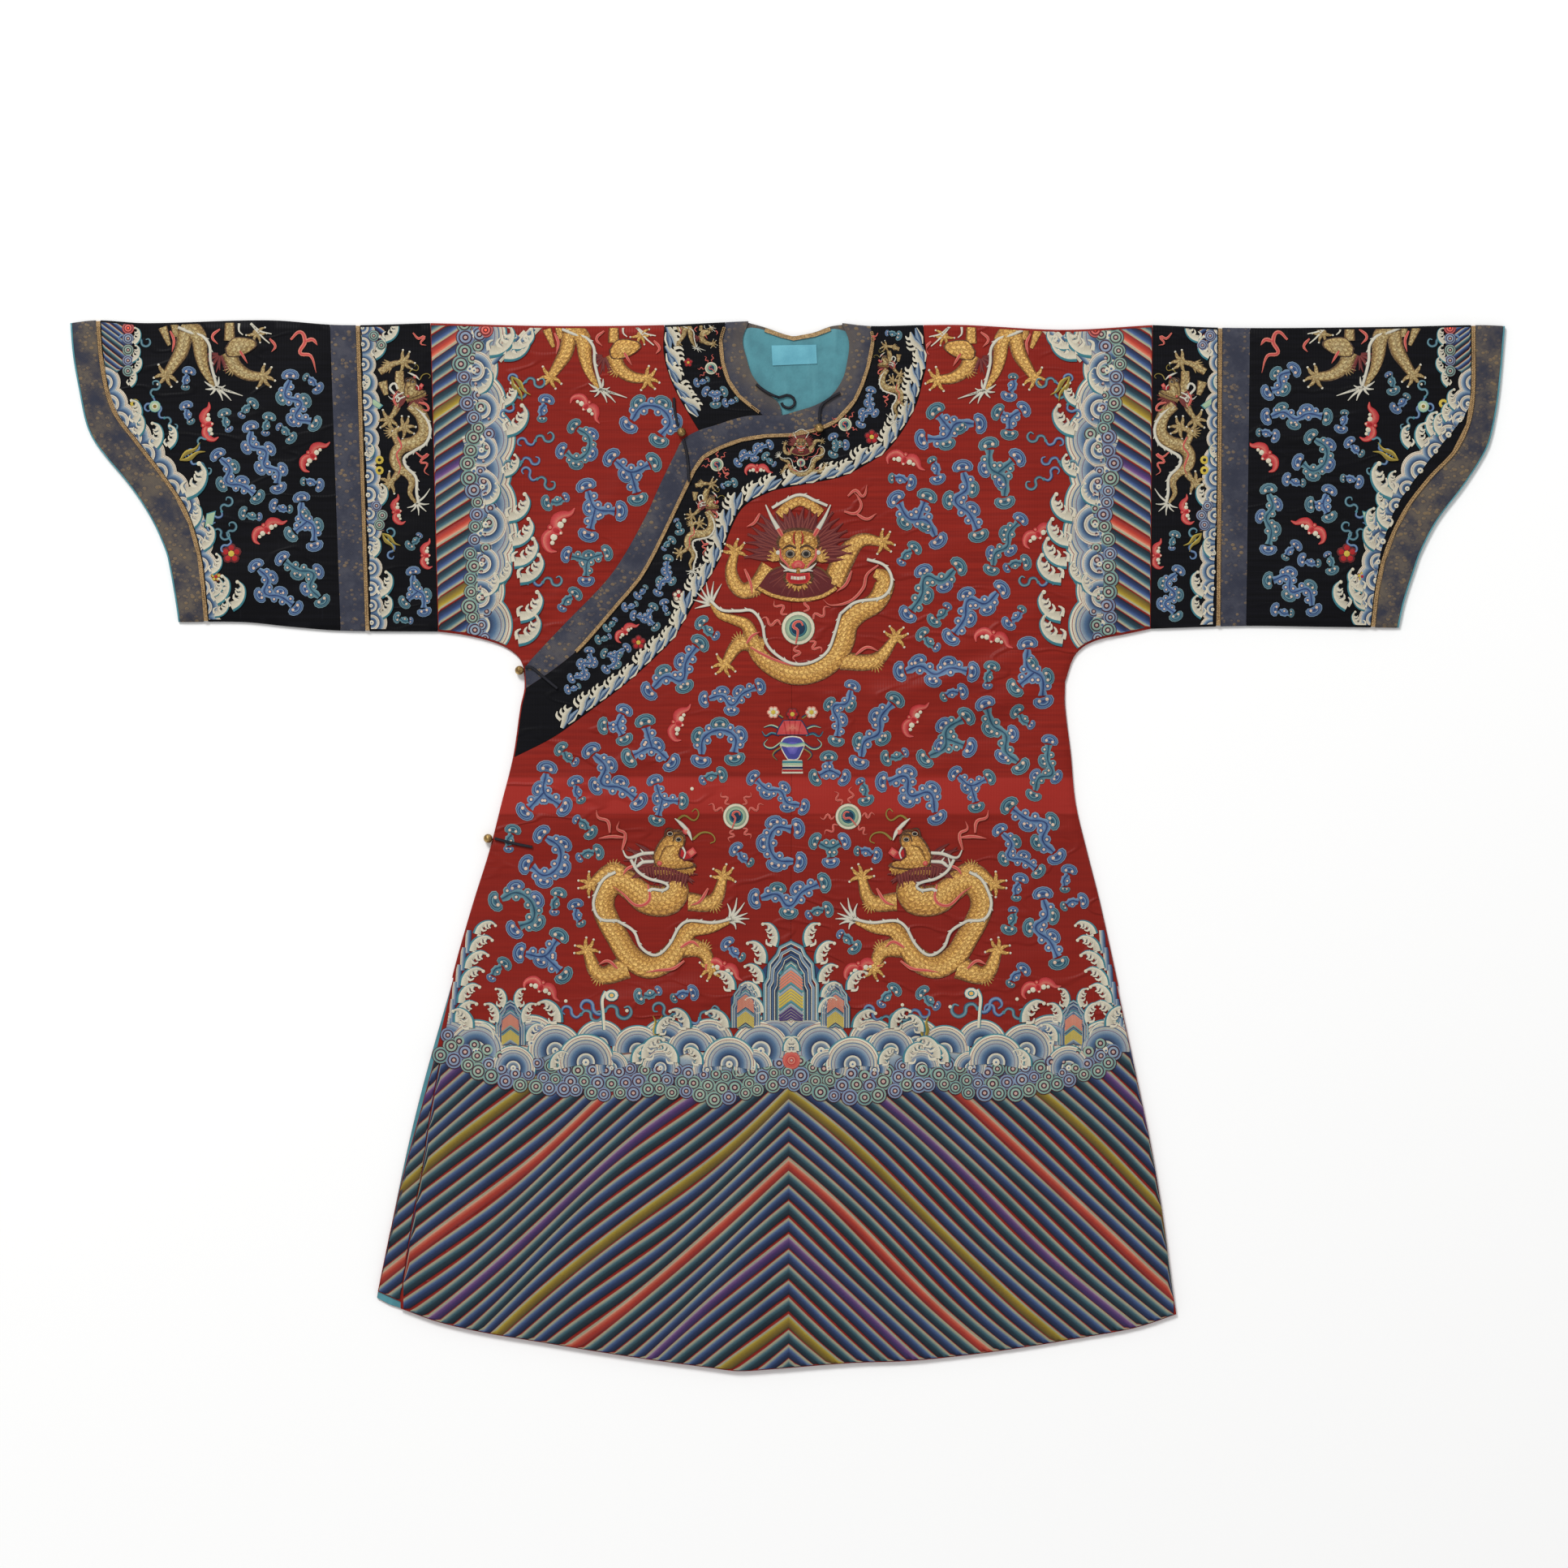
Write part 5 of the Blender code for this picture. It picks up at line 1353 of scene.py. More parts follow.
def fan(work, x, y, start, end, count, inner, outer, cells, width, base, wave=3.0):
    """Strands of hair that fan out round a point between two directions."""
    for k in range(count):
        out = direction(start + (end - start) * k / (count - 1))
        side = np.array((-out[1], out[0])) * wave * (1 if k % 2 else -1)
        length = outer * (1.0 if k % 3 else 0.86)
        origin = np.array((x, y))
        middle = origin + out * (inner + length) / 2 + side
        work.stroke([origin + out * inner, middle, origin + out * length + side * 0.4],
                    [(0, width), (0.5, width * 1.15), (1, 0.7)], cells, 0.35, base, step=4.0)


def pearl(work, x, y, radius, turn=0.0):
    """A flaming pearl: a round of cream and green floss with a red comma and flames about it."""
    work.disc(x, y, radius, [(0.42, NAVY), (0.54, TEAL_SILK, NAVY), (0.80, PALE_GREEN, GREY_GREEN),
                             (0.97, PALE, PALE), (1.0, GREY_GREEN)], 1.0, 0.4, sides=24)
    comma = [(0.30, 0.10), (0.22, 0.34), (-0.10, 0.36), (-0.26, 0.12), (-0.05, -0.12), (-0.3, -0.9)]
    comma = np.array(comma) * radius @ turning(turn) + (x, y)
    work.stroke(comma, [(0, radius * 0.10), (0.4, radius * 0.2), (1, radius * 0.08)], FLAME, 0.3,
                1.4)
    for angle, bend, length in ((20, 1, 1.0), (62, -1, 0.8), (118, 1, 0.8), (160, -1, 1.0),
                                (-60, 1, 0.55), (-100, -1, 0.5)):
        out = direction(angle + turn)
        side = np.array((-out[1], out[0])) * bend
        path = [out * 1.05, out * 1.3 + side * 0.25, out * (1.3 + 0.35 * length) - side * 0.12,
                out * (1.5 + 0.5 * length) + side * 0.3, out * (1.7 + 0.6 * length) + side * 0.1]
        flame(work, np.array(path) * radius + (x, y), radius * 0.17)


HEAD_BASE = 1.3


def front_head(figure):
    """A dragon's face seen from the front, about its eyes as origin."""
    gold, silk, base = figure.gold, figure.silk, HEAD_BASE
    for start, end, count, outer in ((58, 86, 7, 50), (94, 122, 7, 50), (-6, 52, 15, 57),
                                     (128, 186, 15, 57)):
        fan(silk, 0, 2, start, end, count, 12, outer, HAIR, 6.6, base - 0.5)
    beard = [(-46, -36), (-40, -24), (-22, -12), (0, -10), (22, -12), (36, -24), (40, -34),
             (22, -43), (0, -47), (-24, -43)]
    silk.blob(spaced(beard + beard[:1], 4.0)[:-1], [(0.5, MAROON_LIGHT, MAROON), (0.93, MAROON),
                                                    (1.0, GOLD_DARK)], 0.4, base - 0.5)
    fan(silk, 0, -8, 205, 335, 15, 12, 37, HAIR, 4.4, base - 0.35, 1.0)
    gold.stroke([(-42, -34), (-26, -42), (0, -46.5), (24, -43), (40, -34)], 4.2, LIMB, 0.4,
                base - 0.2)
    for side in (1, -1):
        fan(gold, side * 18, -4, 90 - side * 96, 90 - side * 30, 8, 2, 15, LIMB, 3.4, base - 0.1,
            1.2)
        horn = [(side * 15, 18), (side * 21, 28), (side * 28, 40), (side * 34, 53)]
        silk.stroke(horn[:2], [(0, 5), (1, 4.4)], FLAME, 0.6, base)
        silk.stroke(horn[1:], [(0, 5.4), (0.4, 3.8), (1, 1.4)], SPINE, 0.6, base + 0.1)
    skull = [(-19, 24), (-10, 28), (0, 29), (10, 28), (19, 24), (23, 14), (20, 4), (21, -6),
             (13, -12),
             (10, -20), (0, -22), (-10, -20), (-13, -12), (-21, -6), (-20, 4), (-23, 14)]
    # The skull: painted highlight in the middle, painted shade towards the outline.
    gold.blob(spaced(skull + skull[:1], 4.0)[:-1],
              [(0.5, GOLD_LIT, GOLD), (0.88, GOLD, GOLD_SHADED), (1.0, GOLD_DARK)], 1.0, base,
              (0, 4))
    gold.stroke([(0, 22), (0, 4), (0, -10)], [(0, 9), (0.5, 6), (1, 8)], LIMB, 0.5, base + 0.9)
    for side in (1, -1):
        # Brow domes: painted highlight in the middle, painted shade at the rim.
        gold.disc(side * 11, 17, 7.2, [(0.6, GOLD_LIT), (1.0, GOLD_SHADED)], 0.6, base + 0.7,
                  tall=0.8)
        silk.stroke([(side * 4, 12), (side * 5, 20), (side * 3, 25)], [(0, 1.6), (1, 0.7)],
                    [(0, 1, SCARLET, SCARLET)], 0.2, base + 1.4)
        silk.stroke([(side * 2, 7.5), (side * 9, 10.5), (side * 17, 6)],
                    [(0, 2), (0.5, 2.6), (1, 1)],
                    [(0, 1, BLACK_EYE, GOLD_DARK)], 0.2, base + 1.2)
        silk.disc(side * 8.4, 1.6, 5.2, [(0.52, BLACK_EYE), (0.62, dyed(120, 104, 84)),
                                         (0.70, BLACK_EYE),
                                         (0.86, EYE_RIM, dyed(150, 130, 110)), (1.0, BLACK_EYE)],
                  0.6, base + 1.1, sides=14, tall=0.86)
        silk.stroke([(side * 19, 7), (side * 18, -2), (side * 12, -9), (side * 9, -14)],
                    [(0, 2.2), (0.5, 2.8), (1, 1.6)], FLAME, 0.4, base + 1.0)
        silk.disc(side * 21, 3, 2.4, [(1.0, WHITE)], 0.4, base + 1.2)
        silk.stroke([(side * 2, -16.5), (side * 10, -15), (side * 16, -11), (side * 19, -8)],
                    [(0, 3.4), (0.6, 3.0), (1, 0.8)], SPINE, 0.4, base + 1.5)
        silk.stroke([(side * 11, -15.5), (side * 15.5, -16.5)], [(0, 2.4), (1, 0.8)], SPINE, 0.3,
                    base + 1.4)
    silk.blob([(-7.5, -10), (-4, -6.2), (0, -5), (4, -6.2), (7.5, -10), (5, -14), (0, -12.5),
               (-5, -14)],
              [(0.55, PINK, SALMON), (1.0, PINK)], 0.7, base + 1.5)
    mouth = [(-12, -18), (0, -19), (12, -18), (13, -24), (9, -29), (0, -30), (-9, -29), (-13, -24)]
    gold.blob(spaced([(x * 1.22, y * 1.04) for x, y in mouth + mouth[:1]], 4.0)[:-1],
              [(0.8, GOLD), (1.0, GOLD_DARK)], 0.5, base + 0.4)
    fan(gold, 0, -22, 205, 335, 11, 10, 16, LIMB, 2.8, base + 0.3, 0.4)
    silk.blob(mouth, [(0.86, SCARLET), (1.0, dyed(200, 60, 50))], 0.5, base + 1.2)
    silk.stroke([(-7.5, -23.2), (0, -24), (7.5, -23.2)], 4.4,
                [(0, 0.12, SCARLET, SCARLET), (0.12, 0.88, WHITE, WHITE),
                 (0.88, 1, SCARLET, SCARLET)],
                0.3, base + 1.7)
    for x in (-5.4, -1.8, 1.8, 5.4):
        silk.stroke([(x, -21.6), (x, -25.8)], 0.5, [(0, 1, SALMON, SALMON)], 0.1, base + 2.1)


def side_head(figure):
    """A dragon's head in profile: origin at the back of the neck, muzzle up to the right."""
    gold, silk, base = figure.gold, figure.silk, HEAD_BASE
    fan(silk, 6, -2, 140, 215, 9, 4, 36, HAIR, 4.4, base - 0.5)
    fan(silk, 22, -6, 205, 345, 17, 6, 27, HAIR, 5.0, base - 0.5, 1.5)
    for y, back, end in ((9.0, -25, -31), (0.0, -17, -16)):
        silk.stroke([(2, y), (-10, y - 1), (back, y - 5), (end, y + 4)],
                    [(0, 3.4), (0.5, 4.0), (1, 1.2)], SPINE, 0.6, base - 0.2)
        silk.stroke([(-8, y - 1), (-12, y + 4)], [(0, 3), (1, 0.8)], SPINE, 0.4, base - 0.2, 4.0)
    # The jaw and its teeth: darker along one side as painted shade.
    gold.stroke([(2, -5), (14, -9), (30, -9.5), (45, -6)], 6.4, [(0, 1, GOLD_SHADED, GOLD)], 0.6,
                base)
    for x in range(3, 45, 3):
        gold.stroke([(x, -9), (x + 0.6, -13.4 - (x % 2))], [(0, 3.8), (1, 1.2)],
                    [(0, 0.5, GOLD_SHADED, GOLD), (0.5, 1, GOLD, GOLD_SHADED)], 0.5, base, 4.0)
    skull = [(0, 5), (6, 18), (13, 27), (21, 33), (30, 33), (35, 26), (34, 17), (29, 9), (31, 3),
             (45, -2), (47, -5), (38, -8), (20, -9), (5, -7)]
    # The skull: painted highlight in the middle, painted shade towards the outline.
    gold.blob(spaced(skull + skull[:1], 4.0)[:-1],
              [(0.5, GOLD_LIT, GOLD), (0.88, GOLD, GOLD_SHADED), (1.0, GOLD_DARK)], 1.0, base,
              (18, 6))
    gold.stroke([(8, 2), (14, 14), (23, 17)], [(0, 1), (0.5, 2.2), (1, 1)],
                [(0, 1, GOLD_DARK, GOLD_SHADED)],
                0.2, base + 1.1)
    for x, y in ((19, 29), (28, 23)):
        silk.disc(x, y, 3.7, [(0.66, BLACK_EYE), (0.84, EYE_RIM), (1.0, GOLD_DARK)], 0.6,
                  base + 1.0, tall=0.72)
        silk.stroke([(x - 6, y - 2), (x - 3, y + 5), (x + 3, y + 5)], [(0, 1), (0.5, 2.4), (1, 1)],
                    [(0, 1, BLACK_EYE, GOLD_DARK)], 0.2, base + 1.3)
    silk.disc(36, 32, 4.0, [(0.6, SALMON), (1.0, PINK)], 0.6, base + 1.0)
    silk.stroke([(24, 45), (30, 40), (38, 31), (42, 22)], [(0, 1), (0.3, 4.4), (0.7, 4.4), (1, 1)],
                SPINE,
                0.6, base + 1.1)
    whisker(silk, [(26, 43), (34, 48), (44, 43), (49, 49), (46, 55), (42, 52)], OLIVE, 2.4)
    whisker(silk, [(43, 23), (52, 30), (62, 29), (66, 22), (61, 19)], OLIVE, 2.4)
    silk.blob([(29, 14), (34, 16), (38, 8), (44, 2), (34, 0), (28, 5)],
              [(0.7, SCARLET), (1.0, MAROON)],
              0.3, base + 1.0)
    silk.blob([(36, 10), (43, 15), (47, 9), (41, 4)], [(0.6, SALMON), (1.0, PINK)], 0.4, base + 1.2)
    silk.stroke([(32, 15), (35, 9), (33, 3)], [(0, 2.4), (1, 1.6)], SPINE, 0.4, base + 1.3, 4.0)
    silk.disc(8, -2, 2.6, [(0.5, SALMON), (1.0, PINK)], 0.4, base + 1.1, 8)


FRONT_BODY = [(80, -18), (90, -24), (88, -38), (80, -50), (63, -60), (52, -72), (48, -90),
              (38, -108),
              (20, -121), (-2, -125), (-24, -118), (-41, -104), (-48, -88), (-54, -73), (-68, -67),
              (-82, -62), (-92, -50)]


FRONT_SPINE = [(72, -4), (91, -11), (98, -27), (89, -43), (60, -49), (44, -61), (38, -82),
               (30, -101),
               (13, -112), (-6, -113), (-25, -102), (-34, -90), (-38, -71), (-48, -58), (-62, -58),
               (-80, -57), (-92, -47)]


def front_dragon():
    """A dragon that faces the viewer over a pearl, claws spread, about its eyes as origin."""
    figure = Figure()
    gold, silk = figure.gold, figure.silk
    leg(figure, [(-36, -96), (-60, -92), (-77, -114)], 235, spurs=110,
        widths=((0, 21), (0.5, 16), (1, 9)))
    leg(figure, [(44, -110), (80, -110), (102, -86)], 60, spurs=290,
        widths=((0, 20), (0.55, 16), (1, 8)))
    leg(figure, [(36, -30), (50, 0), (66, 16), (88, 14)], -5, spurs=150,
        widths=((0, 24), (0.4, 23), (0.75, 14), (1, 9)))
    leg(figure, [(-30, -12), (-44, -32), (-60, -36), (-70, -18), (-66, 4)], 85, spurs=240,
        widths=((0, 20), (0.35, 18), (0.65, 15), (1, 8)))
    widths = [(0, 10), (0.06, 21), (0.3, 22), (0.6, 21), (0.8, 15), (0.94, 8), (1, 3)]
    gold.stroke(FRONT_BODY, widths, BODY, 1.1, 0.5)
    barbed(silk, np.array(spaced(FRONT_SPINE[:6], 3.0)), 1.8, side=1)
    barbed(silk, np.array(spaced(FRONT_SPINE[5:], 3.0)), 1.8, side=-1)
    for angle in (60, 85, 108, 130, 152, 178, 205):
        out = direction(angle)
        start = np.array((-91.0, -51.0))
        silk.stroke([start, start + out * 10 + (0, 2), start + out * 20 + (1, 4)],
                    [(0, 3.4), (0.5, 2.6), (1, 0.6)], SPINE, 0.4, 0.9)
    for points in ([(-50, -96), (-36, -104), (-22, -110), (-4, -116)],
                   [(-54, -92), (-48, -84), (-40, -80)],
                   [(84, -10), (72, -20), (68, -34), (54, -48), (34, -52), (26, -46)],
                   [(56, -16), (50, -30), (40, -38)], [(-56, -14), (-50, -28), (-48, -40)],
                   [(60, -104), (72, -96), (84, -100)],
                   [(48, 46), (60, 44), (66, 52), (62, 62), (58, 66)],
                   [(60, 44), (72, 38), (82, 44)], [(-40, 44), (-46, 34), (-54, 30)],
                   [(52, 62), (60, 68), (68, 62), (72, 74)]):
        flame(silk, points, 3.4, 1.5)
    arch = [(-20, 42), (-10, 52), (2, 57), (14, 52), (24, 44)]
    gold.stroke(arch, 11.0, BODY, 0.8, 0.4)
    barbed(silk, beside([(-24, 44), *arch[1:-1], (28, 46)], 6.5), side=1)
    front_head(figure)
    pearl(silk, 0, -76, 17.5, 10)
    return figure


SIDE_BODY = [(27, -21), (25, -33), (13, -41), (-6, -39), (-21, -28), (-36, -21), (-48, -31),
             (-51, -46), (-46, -61), (-36, -79), (-24, -98), (-5, -110), (14, -104), (28, -88),
             (40, -72), (59, -69), (81, -63)]
SIDE_SPINE = [(-38, -11), (-50, -18), (-58, -32), (-61, -46), (-54, -60), (-36, -62), (-19, -73),
              (-11, -90), (4, -98), (18, -87), (29, -68), (39, -62), (64, -64), (83, -60)]


def side_dragon():
    """A striding dragon in profile that looks up at a pearl; origin at the back of the neck."""
    figure = Figure()
    gold, silk = figure.gold, figure.silk
    leg(figure, [(-26, -110), (-54, -118), (-68, -93)], 100, spurs=250,
        widths=((0, 26), (0.5, 18), (1, 10)))
    leg(figure, [(30, -88), (53, -94), (62, -112)], 260, spurs=70,
        widths=((0, 26), (0.4, 18), (1, 10)))
    leg(figure, [(-22, -20), (-41, -10), (-64, -24)], 205, spurs=70,
        widths=((0, 20), (0.4, 19), (1, 9)))
    leg(figure, [(38, -42), (64, -42), (75, -16)], 85, spurs=290,
        widths=((0, 20), (0.5, 16), (1, 9)))
    widths = [(0, 20), (0.07, 33), (0.14, 32), (0.22, 27), (0.3, 24), (0.5, 24), (0.72, 25),
              (0.86, 17), (0.95, 12), (1, 5)]
    gold.stroke(SIDE_BODY, widths, BODY, 1.1, 0.5)
    for k in range(15):
        along = k / 14
        x, y = -6 + 40 * along, -13 - 8 * along + 5 * math.sin(along * 3.1)
        silk.stroke([(x, y - 5 - 3 * (k % 2)), (x - 2 + 5 * along, y + 6)], [(0, 1.0), (1, 5.0)],
                    HAIR, 0.4, 1.5, 4.0)
    barbed(silk, np.array(spaced([(-22, 2), (-15, -10), (-3, -18), (12, -22), (17, -26),
                                  (12, -30), (0, -29), (-4, -31)], 3.0)), base=1.7)
    barbed(silk, np.array(spaced(SIDE_SPINE[:6], 3.0)), 1.8, side=-1)
    barbed(silk, np.array(spaced(SIDE_SPINE[5:], 3.0)), 1.8)
    for end in ((97, -43), (89, -38), (100, -54), (98, -66), (88, -71), (79, -44), (102, -60)):
        silk.stroke([(81, -62), ((81 + end[0]) / 2 + 2, (end[1] - 60) / 2), end],
                    [(0, 4.0), (0.5, 3.0), (1, 0.8)], SPINE, 0.4, 0.9, 4.0)
    for points in ([(-4, -24), (-3, -41), (-16, -46), (-31, -33), (-41, -26)],
                   [(34, -104), (22, -112), (6, -114), (-6, -116)],
                   [(59, -28), (50, -42), (40, -46)],
                   [(-36, -112), (-46, -104), (-56, -108)], [(30, -90), (42, -84), (50, -90)],
                   [(-31, 12), (-28, 29), (-36, 34), (-34, 42)], [(-29, 25), (-42, 26), (-56, 24)],
                   [(-44, 30), (-46, 42), (-56, 46), (-58, 54)],
                   [(-18, -4), (-26, -8), (-30, -14)]):
        flame(silk, points, 3.6, 1.6)
    side_head(figure)
    return figure


scale_gold = couched_gold("couched_gold")
FRONT_DRAGON, SIDE_DRAGON = front_dragon(), side_dragon()
main_dragon = Figure()
main_dragon.stamp(FRONT_DRAGON, 11, 304)
main_dragon.made("main_dragon", over_level)
LOWER_DRAGONS = {"right": (-142.0, -16.0, False), "left": (152.0, -16.0, True)}
lower_pair = {}
for side, (x, y, mirror) in LOWER_DRAGONS.items():
    lower_pair[side] = Figure()
    lower_pair[side].stamp(SIDE_DRAGON, x, y, mirror=mirror)
    lower_pair[side].made(f"{side}_lower_dragon", over_level)
PEARLS = [(-54.0, 31.0, 0.0), (63.5, 31.0, 60.0)]
field_pearls = Threads()
for x, y, turn in PEARLS:
    pearl(field_pearls, x, y, 13.6, turn)
field_pearls.made("field_pearls", over_level, silk_floss, "red_silk")

# ---- Waves and mountains -----------------------------------------------------------------------
# Over the knot clouds a sea of rolling waves breaks on rocks, in satin stitch with fine outlines.
# The foam is cream floss with a blue back, and its tips curl in small knots.
SEA_LIGHT, SEA_MID, SEA_DEEP = dyed(154, 168, 176), dyed(84, 114, 146), dyed(44, 68, 106)
SEA_NAVY, SEA_TEAL, SEA_GREEN = dyed(28, 44, 80), dyed(70, 136, 146), dyed(118, 158, 150)
FOAM, FOAM_SHADE, PINK_LINE = dyed(222, 214, 190), dyed(190, 182, 160), dyed(158, 114, 106)
WAVE = [(0, 0.05, FOAM, FOAM), (0.05, 0.075, PINK_LINE, PINK_LINE), (0.075, 0.14, FOAM, FOAM),
        (0.14, 0.165, PINK_LINE, PINK_LINE), (0.165, 0.24, FOAM, SEA_LIGHT),
        (0.24, 0.40, SEA_LIGHT, SEA_MID), (0.40, 0.56, SEA_MID, SEA_NAVY),
        (0.56, 0.64, FOAM, FOAM), (0.64, 0.665, PINK_LINE, PINK_LINE),
        (0.665, 0.78, FOAM, SEA_LIGHT),
        (0.78, 1.0, SEA_MID, SEA_NAVY)]
SMALL_WAVE = [(0, 0.12, FOAM, FOAM), (0.12, 0.17, PINK_LINE, PINK_LINE),
              (0.17, 0.34, FOAM, SEA_LIGHT),
              (0.34, 0.66, SEA_LIGHT, SEA_MID), (0.66, 1.0, SEA_MID, SEA_NAVY)]


def wave(work, x, y, radius, start=178, end=2, base=0.3, tall=1.0, inner=0.16, cells=WAVE,
         turn=0.0):
    """A rolling wave: arcs of colour under fine pale lines, round a curl of foam."""
    angles = np.radians(np.linspace(start, end, max(5, int(abs(start - end) * radius / 260) + 4)))
    middle = (1 + inner) / 2
    path = np.stack([np.cos(angles), np.sin(angles) * tall], 1) * radius * middle
    work.stroke(path @ turning(turn) + (x, y), radius * (1 - inner), cells, 0.7, base, smooth=False)
    work.disc(x, y, radius * inner * 1.3, [(0.3, SEA_MID), (1.0, FOAM)], 0.5, base + 0.5, 8)


def foam(work, x, y, size=1.0, turn=0.0, mirror=False, hooks=4, base=0.6):
    """A breaking crest: a cream back edged with teal, and curled claws along its hollow side."""
    crest = Threads()
    spine = np.array(spaced([(0, 0), (0, 8), (-4, 16), (-12, 21), (-19, 20)], 3.0))
    crest.stroke(spine, [(0, 11), (0.35, 8.5), (0.75, 5.5), (1, 2.2)],
                 [(0, 0.62, FOAM_SHADE, FOAM), (0.62, 0.76, FOAM, FOAM),
                  (0.76, 1.0, SEA_TEAL, dyed(52, 118, 130))], 0.6, base, smooth=False)
    for k in range(hooks):
        share = (k + 0.25) / hooks
        i = int(share * (len(spine) - 1))
        reach = 9.0 - 3.6 * share
        ahead = spine[min(i + 1, len(spine) - 1)] - spine[i]
        ahead = ahead / np.linalg.norm(ahead)
        inward = np.array((-ahead[1], ahead[0]))
        start = spine[i] + inward * 1.5
        middle = start + inward * reach * 0.7 - ahead * 0.6
        tip = start + inward * reach * 0.95 + ahead * reach * 0.42
        crest.stroke([start, middle, tip], [(0, 4.6), (0.6, 3.0), (1, 1.2)],
                     [(0, 0.78, FOAM, FOAM), (0.78, 1.0, PINK_LINE, SEA_TEAL)], 0.4, base + 0.1,
                     step=3.0)
    crest.disc(-19.5, 18.8, 2.0, [(0.5, PALE), (1.0, FOAM)], 0.4, base + 0.1, 7)
    work.stamp(crest, x, y, turn, size, mirror)


ROCK_BASE = 0.5


def rock(work, x, y, half, height, cores, layers=4):
    """A standing rock: nested outlines with stepped shoulders round coloured chevrons."""
    tones = (SEA_TEAL, SEA_LIGHT, SEA_MID, SEA_NAVY, SEA_GREEN, SEA_DEEP)
    line = dyed(30, 40, 60)
    fill = [(-half, 0), (-half, height * 0.62), (0, height), (half, height * 0.62), (half, 0)]
    work.blob([(x + px, y + py) for px, py in fill], [(1.0, SEA_DEEP)], 0.1, ROCK_BASE - 0.1)
    for layer in range(layers):
        inset = layer * half * 0.15 + half * 0.07
        w, h = half - inset, height - inset * 1.5
        path = [(-w, 0), (-w, h * 0.46), (-w * 0.86, h * 0.54), (-w * 0.82, h * 0.72),
                (-w * 0.52, h * 0.84), (-w * 0.42, h * 0.93), (0, h)]
        path += [(-px, py) for px, py in path[-2::-1]]
        tone = tones[layer % len(tones)]
        work.stroke([(x + px, y + py) for px, py in path], half * 0.15,
                    [(0, 0.22, line, line), (0.22, 0.8, tone, tones[(layer + 1) % 6]),
                     (0.8, 1.0, PALE, PALE)], 0.4, ROCK_BASE + 0.15, smooth=False)
    inside = half * (1 - 0.15 * layers)
    room = height - half * 0.15 * layers * 1.5
    count = max(4, int(room / (half * 0.105)))
    for k in range(count):
        share = k / count
        core = next((c for low, high, c in cores if low <= share < high), None)
        tone = core or tones[k % len(tones)]
        top = room * (1 - share) * 0.98
        rise = inside * 0.75
        path = [(-inside, top - rise), (-inside * 0.35, top - rise * 0.3), (0, top),
                (inside * 0.35, top - rise * 0.3), (inside, top - rise)]
        path = [(x + px, max(y + py, y)) for px, py in path]
        work.stroke(path, half * 0.115, [(0, 0.7, tone, tone), (0.7, 1.0, line, PALE)], 0.2,
                    ROCK_BASE + 0.3 + 0.01 * k, smooth=False)


SALMON_CORE, YELLOW_CORE = dyed(222, 128, 100), dyed(208, 182, 70)
PURPLE_CORE, RED_KNOT = dyed(76, 54, 110), dyed(204, 92, 80)
SEA_CENTRE = 3.5  # x of the middle rock
hem_sea = Threads()
hem_sea.stroke([(x, y + 17) for x, y in KNOT_MIDDLE], 34, SMALL_WAVE, 0.1, -0.1)
SIDE_CORES = [(0.12, 0.42, SALMON_CORE), (0.55, 0.86, YELLOW_CORE)]
rock(hem_sea, SEA_CENTRE, -182, 30, 85, [(0.10, 0.28, SALMON_CORE), (0.42, 0.62, YELLOW_CORE),
                                         (0.74, 1.0, PURPLE_CORE)])
for x, y, half_width, height in ((-44, -190, 15.5, 50), (50, -190, 15.5, 50),
                                 (-290, -208, 16, 48), (299, -208, 16, 48)):
    rock(hem_sea, x, y, half_width, height, SIDE_CORES, 3)
for x, y, size, lean in (  # foam that leaps off the rocks, mirrored about the centre seam
    (-15, -104, 0.92, -20), (-26, -122, 0.95, -8), (-28, -142, 0.85, 0), (-30, -158, 0.8, 8),
    (-58, -150, 0.9, 0), (-64, -190, 0.95, 8), (-27, -174, 0.8, 6),
):
    foam(hem_sea, x, y, size, lean)
    foam(hem_sea, 2 * SEA_CENTRE - x, y, size, -lean, mirror=True)
for centre in (-290, 299):
    for side in (-1, 1):
        for dx, dy, size, lean in ((9, -168, 0.72, -28), (15, -184, 0.8, -14), (19, -204, 0.8, -4)):
            foam(hem_sea, centre + side * dx, dy, size, lean * -side, mirror=side > 0)
for y, size, lean in ((-92, 0.8, -20), (-110, 0.9, -16), (-128, 0.95, -12), (-146, 0.95, -8),
                      (-164, 0.95, -4), (-184, 1.0, 0)):
    left_x, right_x = (
        float(np.interp(y, [p[1] for p in edge], [p[0] for p in edge]))
        for edge in (FRONT_E[::-1] + SIDE_R, VENT_L[::-1] + SIDE_L[::-1]))
    foam(hem_sea, left_x + 12, y, size, lean, mirror=True)
    foam(hem_sea, right_x - 12, y, size, -lean)
    for x, into in ((left_x, 1), (right_x, -1)):
        hem_sea.stroke([(x + into * 2.5, y - 20), (x + into * 4, y + 4)], 6.0, SMALL_WAVE, 0.4, 0.4)
ROLLER = [(0, 0.05, SEA_TEAL, SEA_TEAL), (0.05, 0.12, FOAM, FOAM),
          (0.12, 0.15, PINK_LINE, PINK_LINE),
          (0.15, 0.24, FOAM, FOAM_SHADE), (0.24, 0.28, SEA_MID, SEA_MID),
          (0.28, 0.38, FOAM_SHADE, SEA_LIGHT),
          (0.38, 0.41, PINK_LINE, SEA_MID), (0.41, 0.56, SEA_LIGHT, SEA_MID),
          (0.56, 0.76, SEA_MID, SEA_NAVY), (0.76, 0.83, FOAM, FOAM),
          (0.83, 1.0, SEA_LIGHT, SEA_DEEP)]
